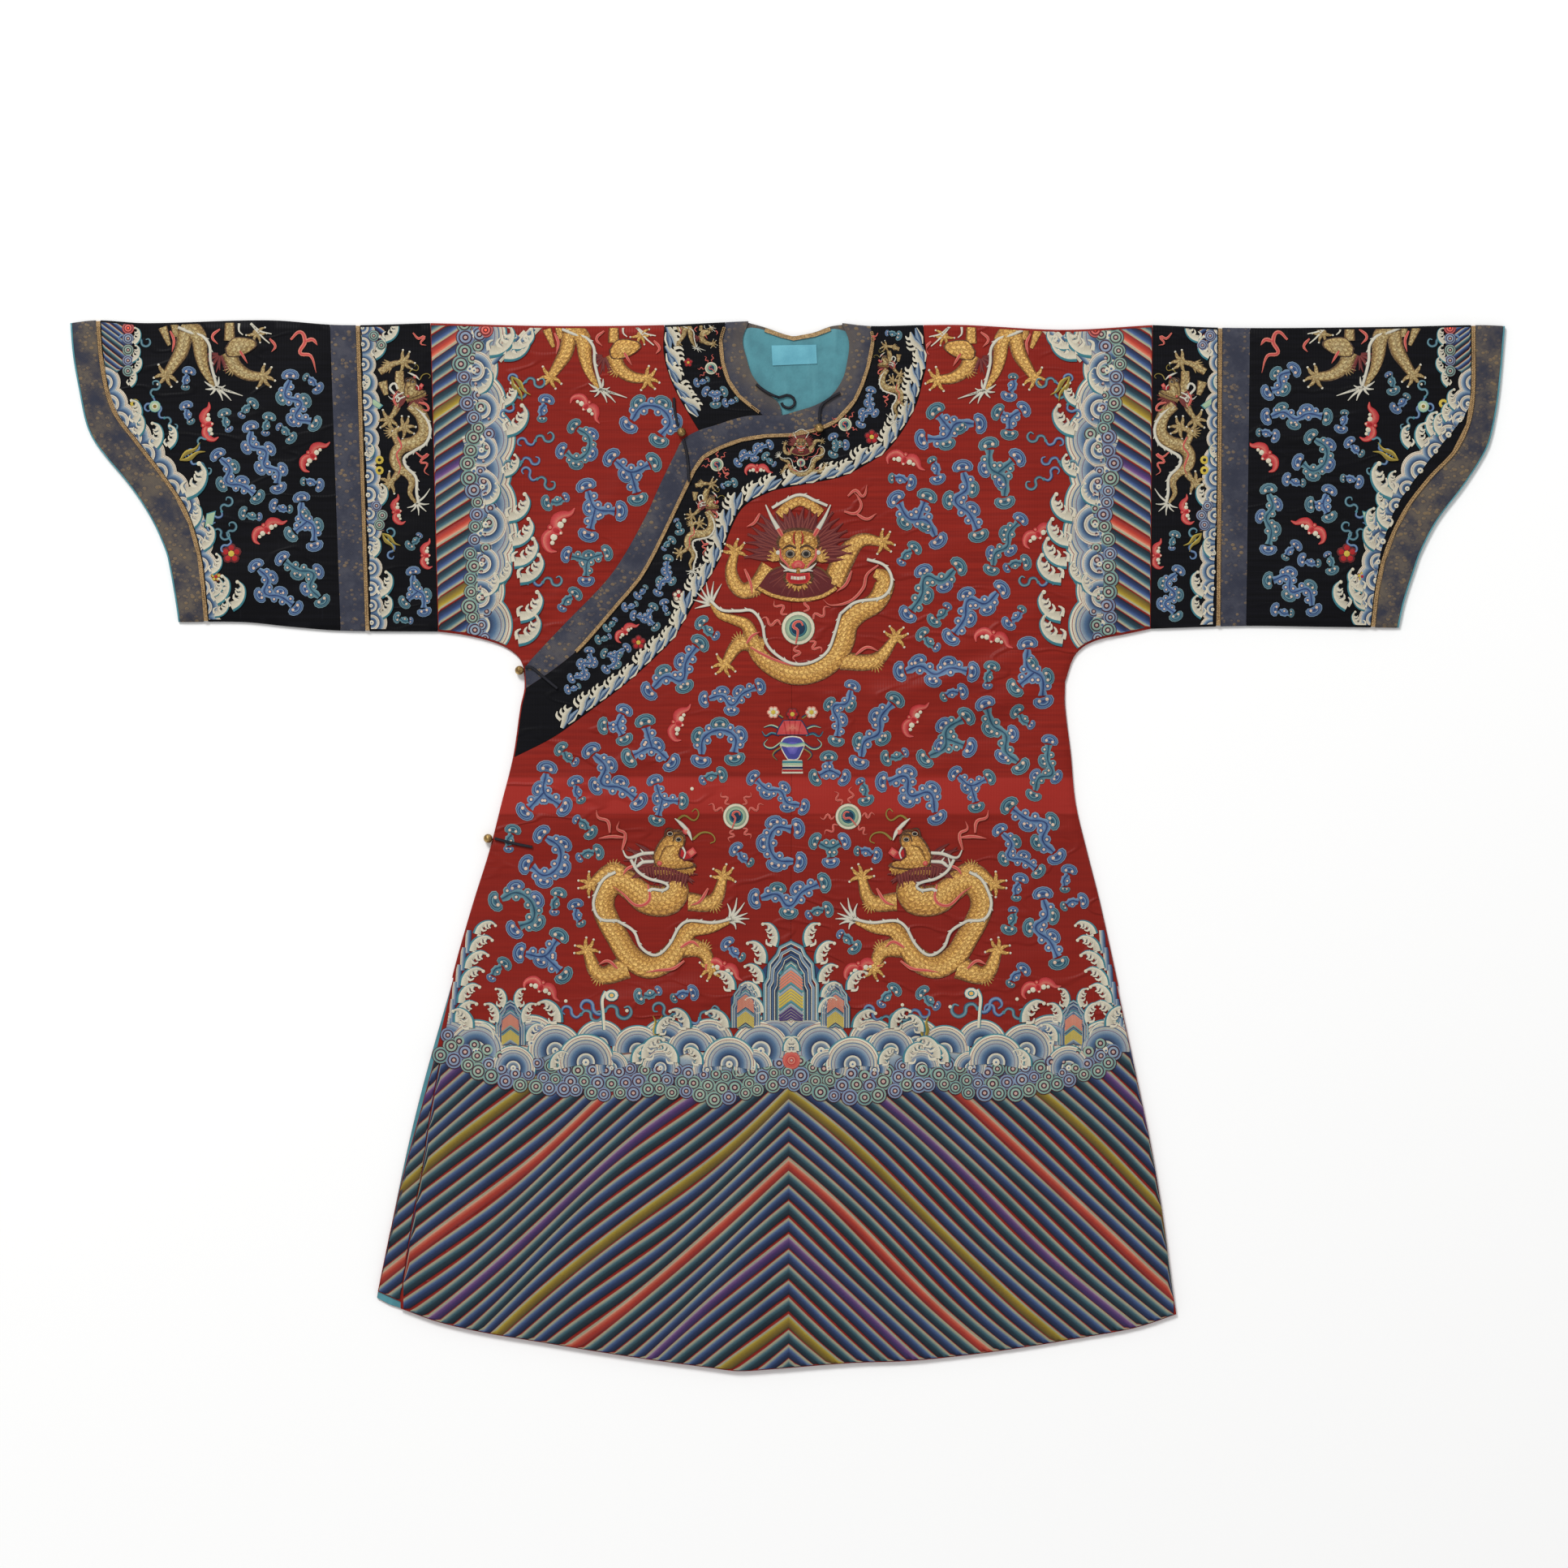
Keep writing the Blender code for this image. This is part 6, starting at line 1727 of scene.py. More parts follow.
for x, y, radius, turn, base in (  # from the far waves to the near ones, mirrored at the middle
    (-356, -206, 30, 20, 0.1), (-268, -206, 30, 0, 0.1), (-196, -208, 27, 8, 0.1),
    (-128, -207, 27, -6, 0.1), (-82, -206, 26, 10, 0.1), (-14, -204, 30, -20, 0.1),
    (-326, -214, 33, -8, 0.5), (-243, -214, 29, 14, 0.5), (-157, -214, 27, -4, 0.5),
    (-101, -214, 26, 12, 0.5), (-28, -214, 32, -24, 0.5), (-287, -232, 24, -12, 0.9),
    (-184, -232, 18, 16, 0.9), (-133, -232, 20, -14, 0.9), (-84, -234, 16, 10, 0.9),
    (-36, -232, 21, 16, 0.9), (-211, -226, 30, 4, 1.3), (-61, -228, 29, -4, 1.3),
):
    for middle, lean in ((x, turn), (2 * SEA_CENTRE - x, -turn)):
        wave(hem_sea, middle, y, radius, 192, -12, base, inner=0.10, cells=ROLLER, turn=lean)
for x, y, size, mirror in (
    (-150, -222, 0.9, True), (157, -222, 0.9, False), (-118, -226, 0.8, False),
    (125, -226, 0.8, True),
    (-105, -190, 0.8, False), (-135, -196, 0.7, True), (-240, -184, 0.9, False),
    (110, -190, 0.8, True),
    (-160, -226, 0.75, True), (-92, -228, 0.7, False), (140, -194, 0.7, False),
    (248, -184, 0.9, True),
    (166, -226, 0.75, False), (98, -228, 0.7, True), (-246, -232, 0.7, True),
    (252, -230, 0.7, False),
    (-332, -190, 0.8, False), (336, -188, 0.8, True), (-2, -214, 0.6, True), (10, -214, 0.6, False),
):
    foam(hem_sea, x, y, size * 1.15, 0, mirror, base=1.6)
hem_sea.disc(4, -224, 9.5, [(0.14, KNOT_DOT), (0.24, SCARLET), (0.45, SALMON), (0.52, SCARLET),
                            (0.8, RED_KNOT), (0.86, SALMON), (1.0, RED_KNOT)], 0.8, 1.4, 14)
hem_sea.made("hem_waves_and_rocks", over_level, silk_floss, "red_silk",
             panel(left=FRONT_E + part_of(SIDE_R, VENT_RIGHT, COLLAR_TIP)[1:],
                   right=VENT_L[1:] + part_of(SIDE_L, (289, 172), VENT_LEFT)))

# ---- Clouds ------------------------------------------------------------------------------------
# Small branching clouds in blue and teal satin stitch are strewn wherever the ground is free. Each
# has mushroom-shaped heads with two pale knots, joined by zigzag stems with a dark core.
CLOUD_TONES = {  # edge, light, middle, dark
    "blue": (dyed(124, 150, 172), dyed(104, 134, 166), dyed(68, 100, 146), dyed(38, 58, 102)),
    "teal": (dyed(116, 150, 154), dyed(96, 136, 146), dyed(58, 106, 124), dyed(32, 66, 88)),
}
CLOUD_DOT = dyed(228, 198, 172)
CLOUDS = {  # stems, and heads with the way each faces and its size
    "zig": ([[(-27, 9), (-13, -5), (3, 7), (15, -7), (28, 6)]],
            [(-28, 10, 150, 1.0), (-13, -7, 262, 0.86), (3, 9, 88, 0.9), (15, -9, 275, 0.86),
             (29, 7, 25, 1.0)]),
    "ell": ([[(-20, 21), (-9, 9), (-13, -7), (5, -11), (20, -21)]],
            [(-21, 22, 125, 1.0), (-7, 10, 25, 0.84), (-15, -8, 205, 0.92), (5, -9, 75, 0.84),
             (21, -22, 315, 1.0)]),
    "tee": ([[(-23, 7), (-8, -2), (8, 5), (24, -3)], [(0, 1), (3, -17)]],
            [(-24, 8, 160, 1.0), (-9, 0, 100, 0.8), (9, 7, 75, 0.86), (25, -4, 345, 1.0),
             (3, -19, 278, 1.0)]),
    "fork": ([[(-18, 14), (-3, 3), (15, 10)], [(-3, 3), (3, -17)]],
             [(-19, 15, 140, 1.0), (16, 11, 30, 1.0), (3, -19, 283, 1.0), (-6, 2, 215, 0.8)]),
    "hook": ([[(-16, -15), (-14, 1), (2, 9), (17, 2), (16, -13)]],
             [(-16, -17, 260, 1.0), (-16, 2, 165, 0.88), (2, 11, 92, 0.92), (19, 3, 20, 0.88),
              (16, -15, 280, 1.0)]),
    "step": ([[(-26, 14), (-11, 11), (-3, -3), (13, -5), (26, -16)]],
             [(-27, 15, 160, 1.0), (-11, 13, 85, 0.86), (-5, -5, 220, 0.86), (13, -3, 70, 0.86),
              (27, -17, 325, 1.0)]),
    "wide": ([[(-34, 2), (-20, -7), (-5, 5), (9, -5), (23, 6), (35, -2)]],
             [(-35, 3, 170, 1.0), (-20, -9, 268, 0.84), (-5, 7, 92, 0.88), (9, -7, 272, 0.88),
              (23, 8, 84, 0.84), (36, -3, 352, 1.0)]),
    "nest": ([[(-15, 4), (-5, -4), (6, 3), (15, -4)]],
             [(-16, 5, 158, 1.0), (-5, -6, 264, 0.88), (6, 5, 86, 0.88), (16, -5, 332, 1.0)]),
    "star": ([[(-11, 5), (0, 0), (11, 5)], [(0, 0), (1, -10)]],
             [(-12, 6, 155, 0.94), (12, 6, 25, 0.94), (1, -11, 272, 0.94)]),
    "curl": ([[(2, 2), (-6, -1), (-9, -8)]], [(3, 3, 48, 1.0), (-9, -9, 236, 0.62)]),
}
CLOUD_CAP = [(9.6, 0), (8.8, 4.6), (6.4, 8.6), (2.2, 10.8), (-1.8, 9.6), (-3.0, 5.8), (-1.6, 2.2),
             (-1.6, -2.2), (-3.0, -5.8), (-1.8, -9.6), (2.2, -10.8), (6.4, -8.6), (8.8, -4.6)]


HEAD_LIFT = 0.4


def cloud_head(work, x, y, facing, tones, size):
    """A mushroom-shaped head: rings of tone round two curls with pale knots."""
    edge, light, middle, dark = tones
    cap = np.array(CLOUD_CAP) * size @ turning(facing) + (x, y)
    centre = np.array((1.8, 0.0)) * size @ turning(facing) + (x, y)
    work.blob(cap, [(0.38, dark, middle), (0.52, edge), (0.64, dark), (0.82, middle, light),
                    (0.90, dark), (1.0, edge)], 0.7, HEAD_LIFT, centre)
    for side in (-1, 1):
        dot = np.array((1.0, side * 3.9)) * size @ turning(facing) + (x, y)
        work.disc(*dot, 2.7 * size, [(0.66, CLOUD_DOT), (0.82, dark), (1.0, light)], 0.4,
                  HEAD_LIFT + 0.45, 7)


def cloud(kind, stem_tone, head_tone):
    """One branching cloud about its middle."""
    work = Threads()
    stems, heads = CLOUDS[kind]
    edge, light, middle, dark = CLOUD_TONES[stem_tone]
    cells = [(0, 0.2, edge, light), (0.2, 0.42, light, middle), (0.42, 0.58, dark, dark),
             (0.58, 0.8, middle, light), (0.8, 1.0, light, edge)]
    for points in stems:
        lobes = 2 * len(points) + 1
        scallops = [(k / lobes, 9.6 if k % 2 else 5.6) for k in range(lobes + 1)]
        work.stroke(points, scallops, cells, 0.5, 0.2, step=2.8)
        line = np.array(spaced(points, 9.0))
        run = np.gradient(line, axis=0)
        for k in range(1, len(line) - 1):  # curls that swell out on alternate sides of the stem
            out = np.array((-run[k, 1], run[k, 0])) / np.linalg.norm(run[k]) * (1 if k % 2 else -1)
            work.disc(*(line[k] + out * 4.4), 4.3, [(0.34, CLOUD_DOT), (0.48, dark),
                                                    (0.8, middle, light),
                                                    (1.0, edge)], 0.5, 0.35, 8)
    for k, (x, y, facing, size) in enumerate(heads):
        out = np.array((2.2, 0.0)) @ turning(facing)
        tone = CLOUD_TONES[head_tone if k % 3 else stem_tone]
        cloud_head(work, x + out[0], y + out[1], facing, tone, size)
    return work


CLOUD_PAIRS = (("blue", "teal"), ("teal", "blue"), ("blue", "blue"))
LARGE_CLOUDS = [cloud(kind, *pair) for pair in CLOUD_PAIRS
                for kind in ("zig", "ell", "tee", "fork", "hook", "step", "wide")]
SMALL_CLOUDS = [cloud(kind, *pair) for kind in ("star", "nest") for pair in CLOUD_PAIRS[:2]]
HEADS = [cloud("curl", *pair) for pair in CLOUD_PAIRS[:2]]


class Ground:
    """Where a cloth still has room for a motif, on cells of three millimetres."""

    CELL = 3.0

    def __init__(self, loop, margin):
        self.low = np.min(loop, 0) - 12
        size = ((np.max(loop, 0) + 12 - self.low) / self.CELL).astype(int) + 1
        i, j = np.meshgrid(*(np.arange(n) for n in size), indexing="ij")
        places = np.stack([i, j], -1).reshape(-1, 2) * self.CELL + self.low
        self.taken = ~within(places, loop).reshape(size)
        self.spread(self.taken, margin)

    def spread(self, marks, margin):
        """Widens what is taken by a margin to every side."""
        grown = marks.copy()
        for _ in range(int(round(margin / self.CELL))):
            wider = grown.copy()
            for axis in (0, 1):
                for shift in (-1, 1):
                    wider |= np.roll(grown, shift, axis)
            grown = wider
        self.taken |= grown

    def cells(self, points):
        at = ((points - self.low) / self.CELL).round().astype(int)
        return np.clip(at, 0, np.array(self.taken.shape) - 1).T

    def take(self, points, margin):
        marks = np.zeros_like(self.taken)
        marks[tuple(self.cells(points))] = True
        self.spread(marks, margin)

    def leave(self, works, margin):
        """Takes the places of embroidery that is already worked."""
        for work in works:
            self.take(work.gathered()[0], margin)

    def free(self, points):
        return not self.taken[tuple(self.cells(points))].any()


TURNS = tuple(range(0, 360, 30))  # degrees that a strewn motif may be turned by
TRIES = 9


def strewn(work, ground, motifs, step, margin, dice, size=1.0):
    """Works motifs wherever the ground still has room for one."""
    columns, rows = (np.arange(low, low + count * ground.CELL, step)
                     for low, count in zip(ground.low, ground.taken.shape))
    places = [(x, y) for x in columns for y in rows]
    outlines = [motif.gathered()[0][::2] * size for motif in motifs]
    for k in dice.permutation(len(places)):
        x, y = places[k]
        if not ground.free(np.array([(x, y)])):
            continue
        pick = int(dice.integers(len(motifs)))
        for turn in dice.permutation(TURNS)[:TRIES]:
            points = outlines[pick] @ turning(float(turn)) + (x, y)
            if ground.free(points):
                work.stamp(motifs[pick], x, y, float(turn), size)
                ground.take(points, margin)
                break


# ---- Bats, ribbons and treasures ---------------------------------------------------------------
# Between the clouds fly red bats of good fortune, and tied with ribbons are a vase of flowers, a
# sceptre and other emblems, all in satin stitch.
def bat():
    """A red bat with curled wing tips and cream scallops."""
    work = Threads()
    wings = [(1, 2), (8, 5), (14, 2), (19, -4), (25, -5)], [(-1, 2), (-8, 5), (-14, 3), (-18, -3),
                                                            (-16, -9)]
    for side, wing in zip((1, -1), wings):
        work.stroke(wing,
                    [(0, 7), (0.35, 9.0), (0.6, 7.0), (0.85, 3.6), (1, 1.2)],
                    [(0, 0.4, SCARLET, PINK), (0.4, 0.75, PINK, SALMON), (0.75, 1, PINK, SCARLET)],
                    0.5, 0.3)
        for x, y, radius in ((6.0, -0.8, 3.1), (11.0, -2.0, 2.0)):
            work.disc(side * x, y, radius, [(0.7, FOAM), (1.0, PALE)], 0.5, 0.5, 8)
    work.disc(0, 0, 3.8, [(0.6, SCARLET), (1.0, PINK)], 0.6, 0.6, 8, 1.5)
    work.disc(0, 6, 2.8, [(0.5, SALMON), (1.0, SCARLET)], 0.5, 0.7, 7)
    work.disc(0, -4.5, 1.8, [(0.6, FOAM), (1.0, SALMON)], 0.4, 0.7, 7)
    return work


def ribbon(points, tone):
    work = Threads()
    edge, light, middle, dark = CLOUD_TONES[tone]
    work.stroke(points, [(0, 3.0), (0.3, 4.4), (0.75, 4.0), (1, 1.8)],
                [(0, 0.35, dark, middle), (0.35, 0.75, light, edge), (0.75, 1, light, middle)],
                0.3, 0.3)
    return work


def curl_ribbons():
    """A pair of knotted ribbon ends."""
    work = Threads()
    work.stamp(ribbon([(0, 0), (5, 5), (12, 3), (14, -5), (21, -8), (27, -3), (25, 4), (20, 3)],
                      "teal"))
    work.stamp(ribbon([(0, 0), (-6, -4), (-12, 0), (-14, 8), (-21, 10), (-25, 4), (-21, 0)],
                      "blue"))
    work.disc(0, 0, 2.4, [(1.0, SEA_TEAL)], 0.4, 0.4, 7)
    return work


def sceptre():
    """A ruyi sceptre standing out of the waves."""
    work = Threads()
    work.stroke([(0, -22), (-1, -6), (-2, 10), (2, 18)], [(0, 3.4), (0.8, 3.8), (1, 5)],
                [(0, 0.25, TEAL_SILK, TEAL_SILK), (0.25, 1, PALE, FOAM)], 0.5, 0.9)
    work.disc(8, 14, 7.5, [(0.3, GOLD), (0.5, TEAL_SILK), (0.9, FOAM), (1.0, TEAL_SILK)], 0.6, 1.0,
              10, 0.85)
    work.stamp(curl_ribbons(), 1, -2)
    return work


def leaf_sprays():
    """A pair of long pointed leaves."""
    work = Threads()
    for bend in (1, -1):
        work.stroke([(0, -8), (bend * 3, 0), (bend * 2, 10), (bend * 5, 17)],
                    [(0, 1), (0.4, 4.6), (1, 0.5)], [(0, 0.5, YELLOW_CORE, OLIVE),
                                                     (0.5, 1, OLIVE, OLIVE)],
                    0.4, 0.9)
    return work


def vase():
    """A vase with peonies on a stand, about its middle."""
    work = Threads()
    stand = [(-11, -36), (-10, -22), (10, -22), (11, -36)]
    work.blob(stand, [(1.0, FOAM)], 0.3, 0.3)
    for y, tone in ((-33, SCARLET), (-30, SEA_NAVY), (-26.5, PALE_GREEN), (-24, TEAL_SILK)):
        work.stroke([(-10.6, y), (10.6, y)], 2.2, [(0, 1, tone, tone)], 0.2, 0.6)
    body = [(-5, -22), (-10, -14), (-13, -5), (-8, 2), (8, 2), (13, -5), (10, -14), (5, -22)]
    work.blob(spaced(body + body[:1], 4.0)[:-1], [(0.5, dyed(126, 116, 190), dyed(88, 84, 168)),
                                                  (0.9, dyed(70, 70, 148)), (1.0, FOAM)], 0.9, 0.5)
    work.stroke([(-13, -5), (0, -7), (13, -5)], 4.0, [(0, 0.5, TEAL_SILK, PALE_GREEN),
                                                      (0.5, 1, PALE_GREEN, FOAM)], 0.4, 1.2)
    basket = [(-18, 4), (-15, 12), (-10, 20), (10, 20), (15, 12), (18, 4)]
    work.blob(basket, [(0.6, SALMON, PINK), (0.9, PINK), (1.0, SEA_NAVY)], 0.9, 0.6)
    for x in (-9, -3, 3, 9):
        work.stroke([(x * 0.7, 5), (x, 19)], 0.8, [(0, 1, SCARLET, SCARLET)], 0.1, 1.4)
    for x, y, tone in ((0, 26, SCARLET), (-20, 28, PALE), (20, 28, PALE)):
        for k in range(6):
            angle = math.radians(60 * k)
            work.disc(x + math.cos(angle) * 3.8, y + math.sin(angle) * 3.8, 3.2,
                      [(0.6, tone), (1.0, SALMON if tone is PALE else MAROON)], 0.4, 1.1, 7)
        work.disc(x, y, 2.4, [(1.0, YELLOW_CORE)], 0.4, 1.5, 7)
    for side in (1, -1):
        for path, tone in (([(12, 10), (22, 14), (30, 12)], PALE_GREEN),
                           ([(10, 22), (16, 26)], OLIVE),
                           ([(14, 4), (22, 6), (28, 3), (32, 8)], TEAL_SILK),
                           ([(12, -4), (22, -10), (30, -6), (26, 0)], PALE_GREEN),
                           ([(10, -8), (20, -16), (16, -22)], OLIVE)):
            work.stroke([(side * px, py) for px, py in path], [(0, 2.4), (0.5, 2.8), (1, 0.8)],
                        [(0, 0.5, SEA_NAVY, SEA_NAVY), (0.5, 1, tone, tone)], 0.3, 0.4)
    return work


BAT, VASE, SCEPTRE, LEAVES, RIBBONS = bat(), vase(), sceptre(), leaf_sprays(), curl_ribbons()
FIELD_BATS = [  # x, y, turn
    (-68, -128, -20), (76, -128, 20), (-258, -148, -25), (262, -148, 15), (132, 132, 60),
    (-114, 128, 70), (214, 218, -15), (262, 326, 30), (122, 404, -15),
]
field_motifs = Threads()
for x, y, turn in FIELD_BATS:
    field_motifs.stamp(BAT, x, y, turn, 0.95)
field_motifs.stamp(VASE, 5, 112)
for x, y, mirror in ((-192, -170, False), (200, -168, True)):
    field_motifs.stamp(SCEPTRE, x, y, mirror=mirror)
for x, y, turn in ((-216, -176, 0), (-92, -180, 30), (226, -174, 0), (98, -180, -20),
                   (-120, -176, 160),
                   (128, -176, 200)):
    field_motifs.stamp(RIBBONS, x, y, turn, 0.8)
for x in (-136, 143):
    field_motifs.stamp(LEAVES, x, -194)
for x, y in ((-232, -162), (-168, -172), (-258, -186), (240, -160), (170, -168), (120, -166),
             (-118, -178), (270, -190), (-100, 60), (36, 190)):
    field_motifs.disc(x, y, 1.9, [(0.7, FOAM), (1.0, PALE)], 0.4, 0.4, 8)
field_motifs.made("field_bats_and_emblems", over_level, silk_floss, "red_silk")

# ---- The sea at the sleeve seams ---------------------------------------------------------------
# The red ends at each sleeve in the hem's own pattern turned on end: slanting bands from the seam,
# a column of ring knots, and a surf of leaf-shaped waves that breaks towards the body.
SEAM_PITCH, SEAM_SLOPE, SEAM_RED_TOP = 13.4, 0.66, 522.7
KNOT_COLUMN = [(-328, 552), (-333, 518), (-331, 482), (-328, 465), (-319, 436), (-324, 416),
               (-328, 392), (-322, 370), (-319, 345), (-322, 320), (-324, 296), (-327, 264),
               (-323, 245), (-324, 218)]
SIDES = {"right": False, "left": True}  # whether a side is worked as a mirror image
TAN = (0.66, 0.86, 1.5)  # how the gold of the black bands differs from the gold of the field


def surf(work, line, radius, gap, dice, off=0.0, foams=0.6, base=0.3, cells=WAVE, lean=0.0):
    """Waves along a line, on its left, with foam on the ridges between them."""
    line = np.array(spaced(line, 2.0))
    run, along = headings(line), lengths(line)
    spot = gap / 2
    while spot < along[-1]:
        i = int(np.searchsorted(along, spot))
        normal = np.array((-run[i, 1], run[i, 0]))
        turn = math.degrees(math.atan2(normal[1], normal[0])) - 90
        size = radius * dice.uniform(0.85, 1.18)
        wave(work, *(line[i] + normal * off), size, 184, -4, base, 1.0, 0.12, cells, turn + lean)
        if dice.random() < foams:
            foam(work, *(line[i] + normal * (off + size * 0.62) + run[i] * size * 0.5),
                 size / 24, turn + 12 + dice.uniform(-12, 12), base=base + 0.7)
        spot += gap * dice.uniform(0.85, 1.15)


def seam_sea(dice):
    """The sea at the wearer's right sleeve; the left one is worked as its mirror image."""
    work = Threads()
    xs = np.arange(-378.0, -322.0, 5.0)
    slanting_bands(work, xs, SEAM_RED_TOP + SEAM_SLOPE * (xs + 372), np.full(len(xs), 214.0),
                   np.full(len(xs), 549.0), SEAM_PITCH, range(-4, 24), True,
                   ("red", "yellow", "purple"))
    column = [(x - 4, y) for x, y in KNOT_COLUMN]
    surf(work, column, 34.0, 33.0, dice, 4.0, 0.0, 0.3, ROLLER, 14.0)
    surf(work, column[1:], 20.0, 41.0, dice, 8.0, 0.0, 0.8, WAVE, -10.0)
    for x, y, size, turn in (
        (-282, 440, 0.85, -62), (-284, 470, 0.6, -50), (-284, 396, 0.6, -60), (-280, 350, 0.8, -66),
        (-276, 324, 0.8, -66), (-274, 303, 0.85, -70), (-268, 286, 0.85, -70),
        (-268, 246, 0.85, -66),
        (-270, 222, 0.85, -66), (-312, 482, 0.7, -50), (-304, 366, 0.6, -60), (-292, 284, 0.6, -60),
        (-306, 270, 0.65, -60), (-300, 524, 0.9, -70), (-284, 520, 0.8, -80), (-276, 530, 0.7, -80),
    ):
        foam(work, x - 12, y - 7, size * 1.4, turn - 14, base=1.1)
    for k in range(5):
        work.stroke([(-318 + 8 * k, 500 + 4 * k), (-290 + 8 * k, 530 + 4 * k)], 6.2,
                    SMALL_WAVE if k % 2 else [(0, 1, FOAM, FOAM_SHADE)], 0.4, 0.7)
    knot_rows(work, KNOT_COLUMN, 2, 13.5, 12.0)
    work.stamp(KNOTS[0], -316, 540, size=0.9, tint=(2.6, 0.45, 0.3), base=0.5)
    for x, y, turn in ((-280, 486, 0), (-293, 462, 60), (-270, 424, 20), (-284, 402, 200),
                       (-268, 384, -20), (-262, 276, 10)):
        work.stamp(RIBBONS, x + 6, y, turn, 0.72, base=0.3)
    work.stamp(LEAVES, -284, 484, 215, 1.1, base=0.5)
    return work


seam_seas = {}
for side, mirror in SIDES.items():
    seam_seas[side] = Threads()
    seam_seas[side].stamp(seam_sea(np.random.default_rng(21)), 6.0 if mirror else 0.0,
                          mirror=mirror)
SEAM_PANELS = {"right": panel(left=SEAM_R, high=TOP_R, low=ARM_R),
               "left": panel(right=SEAM_L, high=TOP_L, low=ARM_L)}
for side, level in (("right", under_level), ("left", over_level)):
    seam_seas[side].made(f"{side}_seam_sea", level, silk_floss, "red_silk", SEAM_PANELS[side])

# ---- Dragons over the shoulders ----------------------------------------------------------------
# A dragon lies over each shoulder and over the top of each sleeve, half on the front and half on
# the back. In front show its hind leg, its tail with a white fan, its throat and a fore leg.
def folded_dragon():
    """What shows of it below the fold, about the point of the fold at its middle."""
    figure = Figure()
    gold, silk = figure.gold, figure.silk
    fan(silk, 2, -30, 185, 300, 9, 2, 20, HAIR, 2.6, 0.3, 1.0)
    leg(figure, [(-34, -6), (-38, -26), (-46, -40), (-54, -52)], 235,
        widths=((0, 17), (0.5, 15), (1, 9)))
    leg(figure, [(11, -28), (18, -43), (31, -52), (47, -54)], -10, spurs=200,
        widths=((0, 17), (0.5, 14), (1, 9)))
    gold.stroke([(-58, -2), (-51, -21)], [(0, 10), (1, 4)], LIMB, 0.5, 0.3)
    gold.stroke([(-46, 4), (-44, -12)], [(0, 10), (1, 5)], LIMB, 0.5, 0.3)
    gold.stroke([(-36, 3), (-21, -11), (-18, -30), (-14, -46), (-4, -64)],
                [(0, 20), (0.3, 17), (0.6, 13), (1, 4)], BODY, 1.0, 0.5)
    barbed(silk, np.array(spaced([(-42, -2), (-30, -7), (-17, -11), (-9, -21), (-8, -36),
                                  (-5, -50), (-1, -64)], 3.0)))
    for end in ((-14, -59), (-13, -67), (-8, -73), (5, -79), (14, -79), (26, -74), (16, -70),
                (8, -63), (1, -54)):
        silk.stroke([(-2, -65), (end[0] * 0.6, (end[1] - 67) / 2), end],
                    [(0, 3.2), (0.5, 2.6), (1, 0.8)], SPINE, 0.4, 0.9, 4.0)
    # The throat: painted highlight in the middle, inside the dark outline.
    gold.blob(spaced([(7, -24), (16, -13), (38, -15), (41, -21), (27, -31), (10, -33), (7, -24)],
                     4.0)[:-1], [(0.9, GOLD_LIT, GOLD), (1.0, GOLD_DARK)], 1.0, 0.9)
    gold.stroke([(12, 3), (12, -16)], [(0, 10), (1, 12)], LIMB, 0.7, 0.4)
    foot(figure, 40, -8, -60, 5, 0.8, 0.4)
    for points in ([(20, -22), (25, -30), (31, -40)], [(2, -4), (-6, -12), (0, -20)],
                   [(-50, -6), (-46, -16), (-48, -28)], [(54, -14), (60, -22), (56, -28)]):
        flame(silk, points, 3.2, 1.2)
    for points in ([(34, 2), (44, -6), (56, -9)], [(36, 0), (46, -12), (54, -19)],
                   [(22, 2), (22, -6), (26, -10)]):
        whisker(silk, points, WHITE, 2.6)
    return figure


FOLDED = folded_dragon()
shoulder_dragons = {"right": Figure(), "left": Figure()}
shoulder_dragons["right"].stamp(FOLDED, -194, 543)
shoulder_dragons["left"].stamp(FOLDED, 204, 542, mirror=True)
shoulder_dragons["right"].made("right_shoulder_dragon", under_level,
                               clip=panel(high=TOP_R, right=UNDER_COLLAR))
shoulder_dragons["left"].made("left_shoulder_dragon", over_level,
                              clip=panel(high=TOP_L, left=COLLAR[:12]))
under_motifs = Threads()
for x, y, turn, size in ((-211, 460, -40, 0.9), (-242, 330, 62, 1.2)):
    under_motifs.stamp(BAT, x, y, turn, size)
under_motifs.made("right_front_bats", under_level, silk_floss, "red_silk")

# ---- Clouds over the red field -----------------------------------------------------------------
# Clouds fill the ground that the dragons, waves and emblems leave, first large and then small.
FIELD_FILL = ((LARGE_CLOUDS, 1.06), (LARGE_CLOUDS, 0.86), (SMALL_CLOUDS, 0.96), (HEADS, 0.84))
field_ground = Ground(np.array(joined(
    COLLAR[::-1], TOP_L_BODY, SEAM_L, ARM_L, SIDE_L,
    [VENT_LEFT, (360, -236), (-364, -229), VENT_RIGHT], part_of(SIDE_R, VENT_RIGHT, COLLAR_TIP))),
    8.0)
for done in (main_dragon, *lower_pair.values()):
    field_ground.leave([done.gold], 6.0)
    field_ground.leave([done.silk], 3.0)
field_ground.leave((hem_knots, hem_sea, field_motifs, field_pearls, seam_seas["left"],
                    shoulder_dragons["left"].gold, shoulder_dragons["left"].silk), 4.0)
field_clouds = Threads()
cloud_dice = np.random.default_rng(11)
for motifs, size in FIELD_FILL:
    strewn(field_clouds, field_ground, motifs, 3.0, 3.0, cloud_dice, size)
field_clouds.made("field_clouds", over_level, silk_floss, "red_silk")

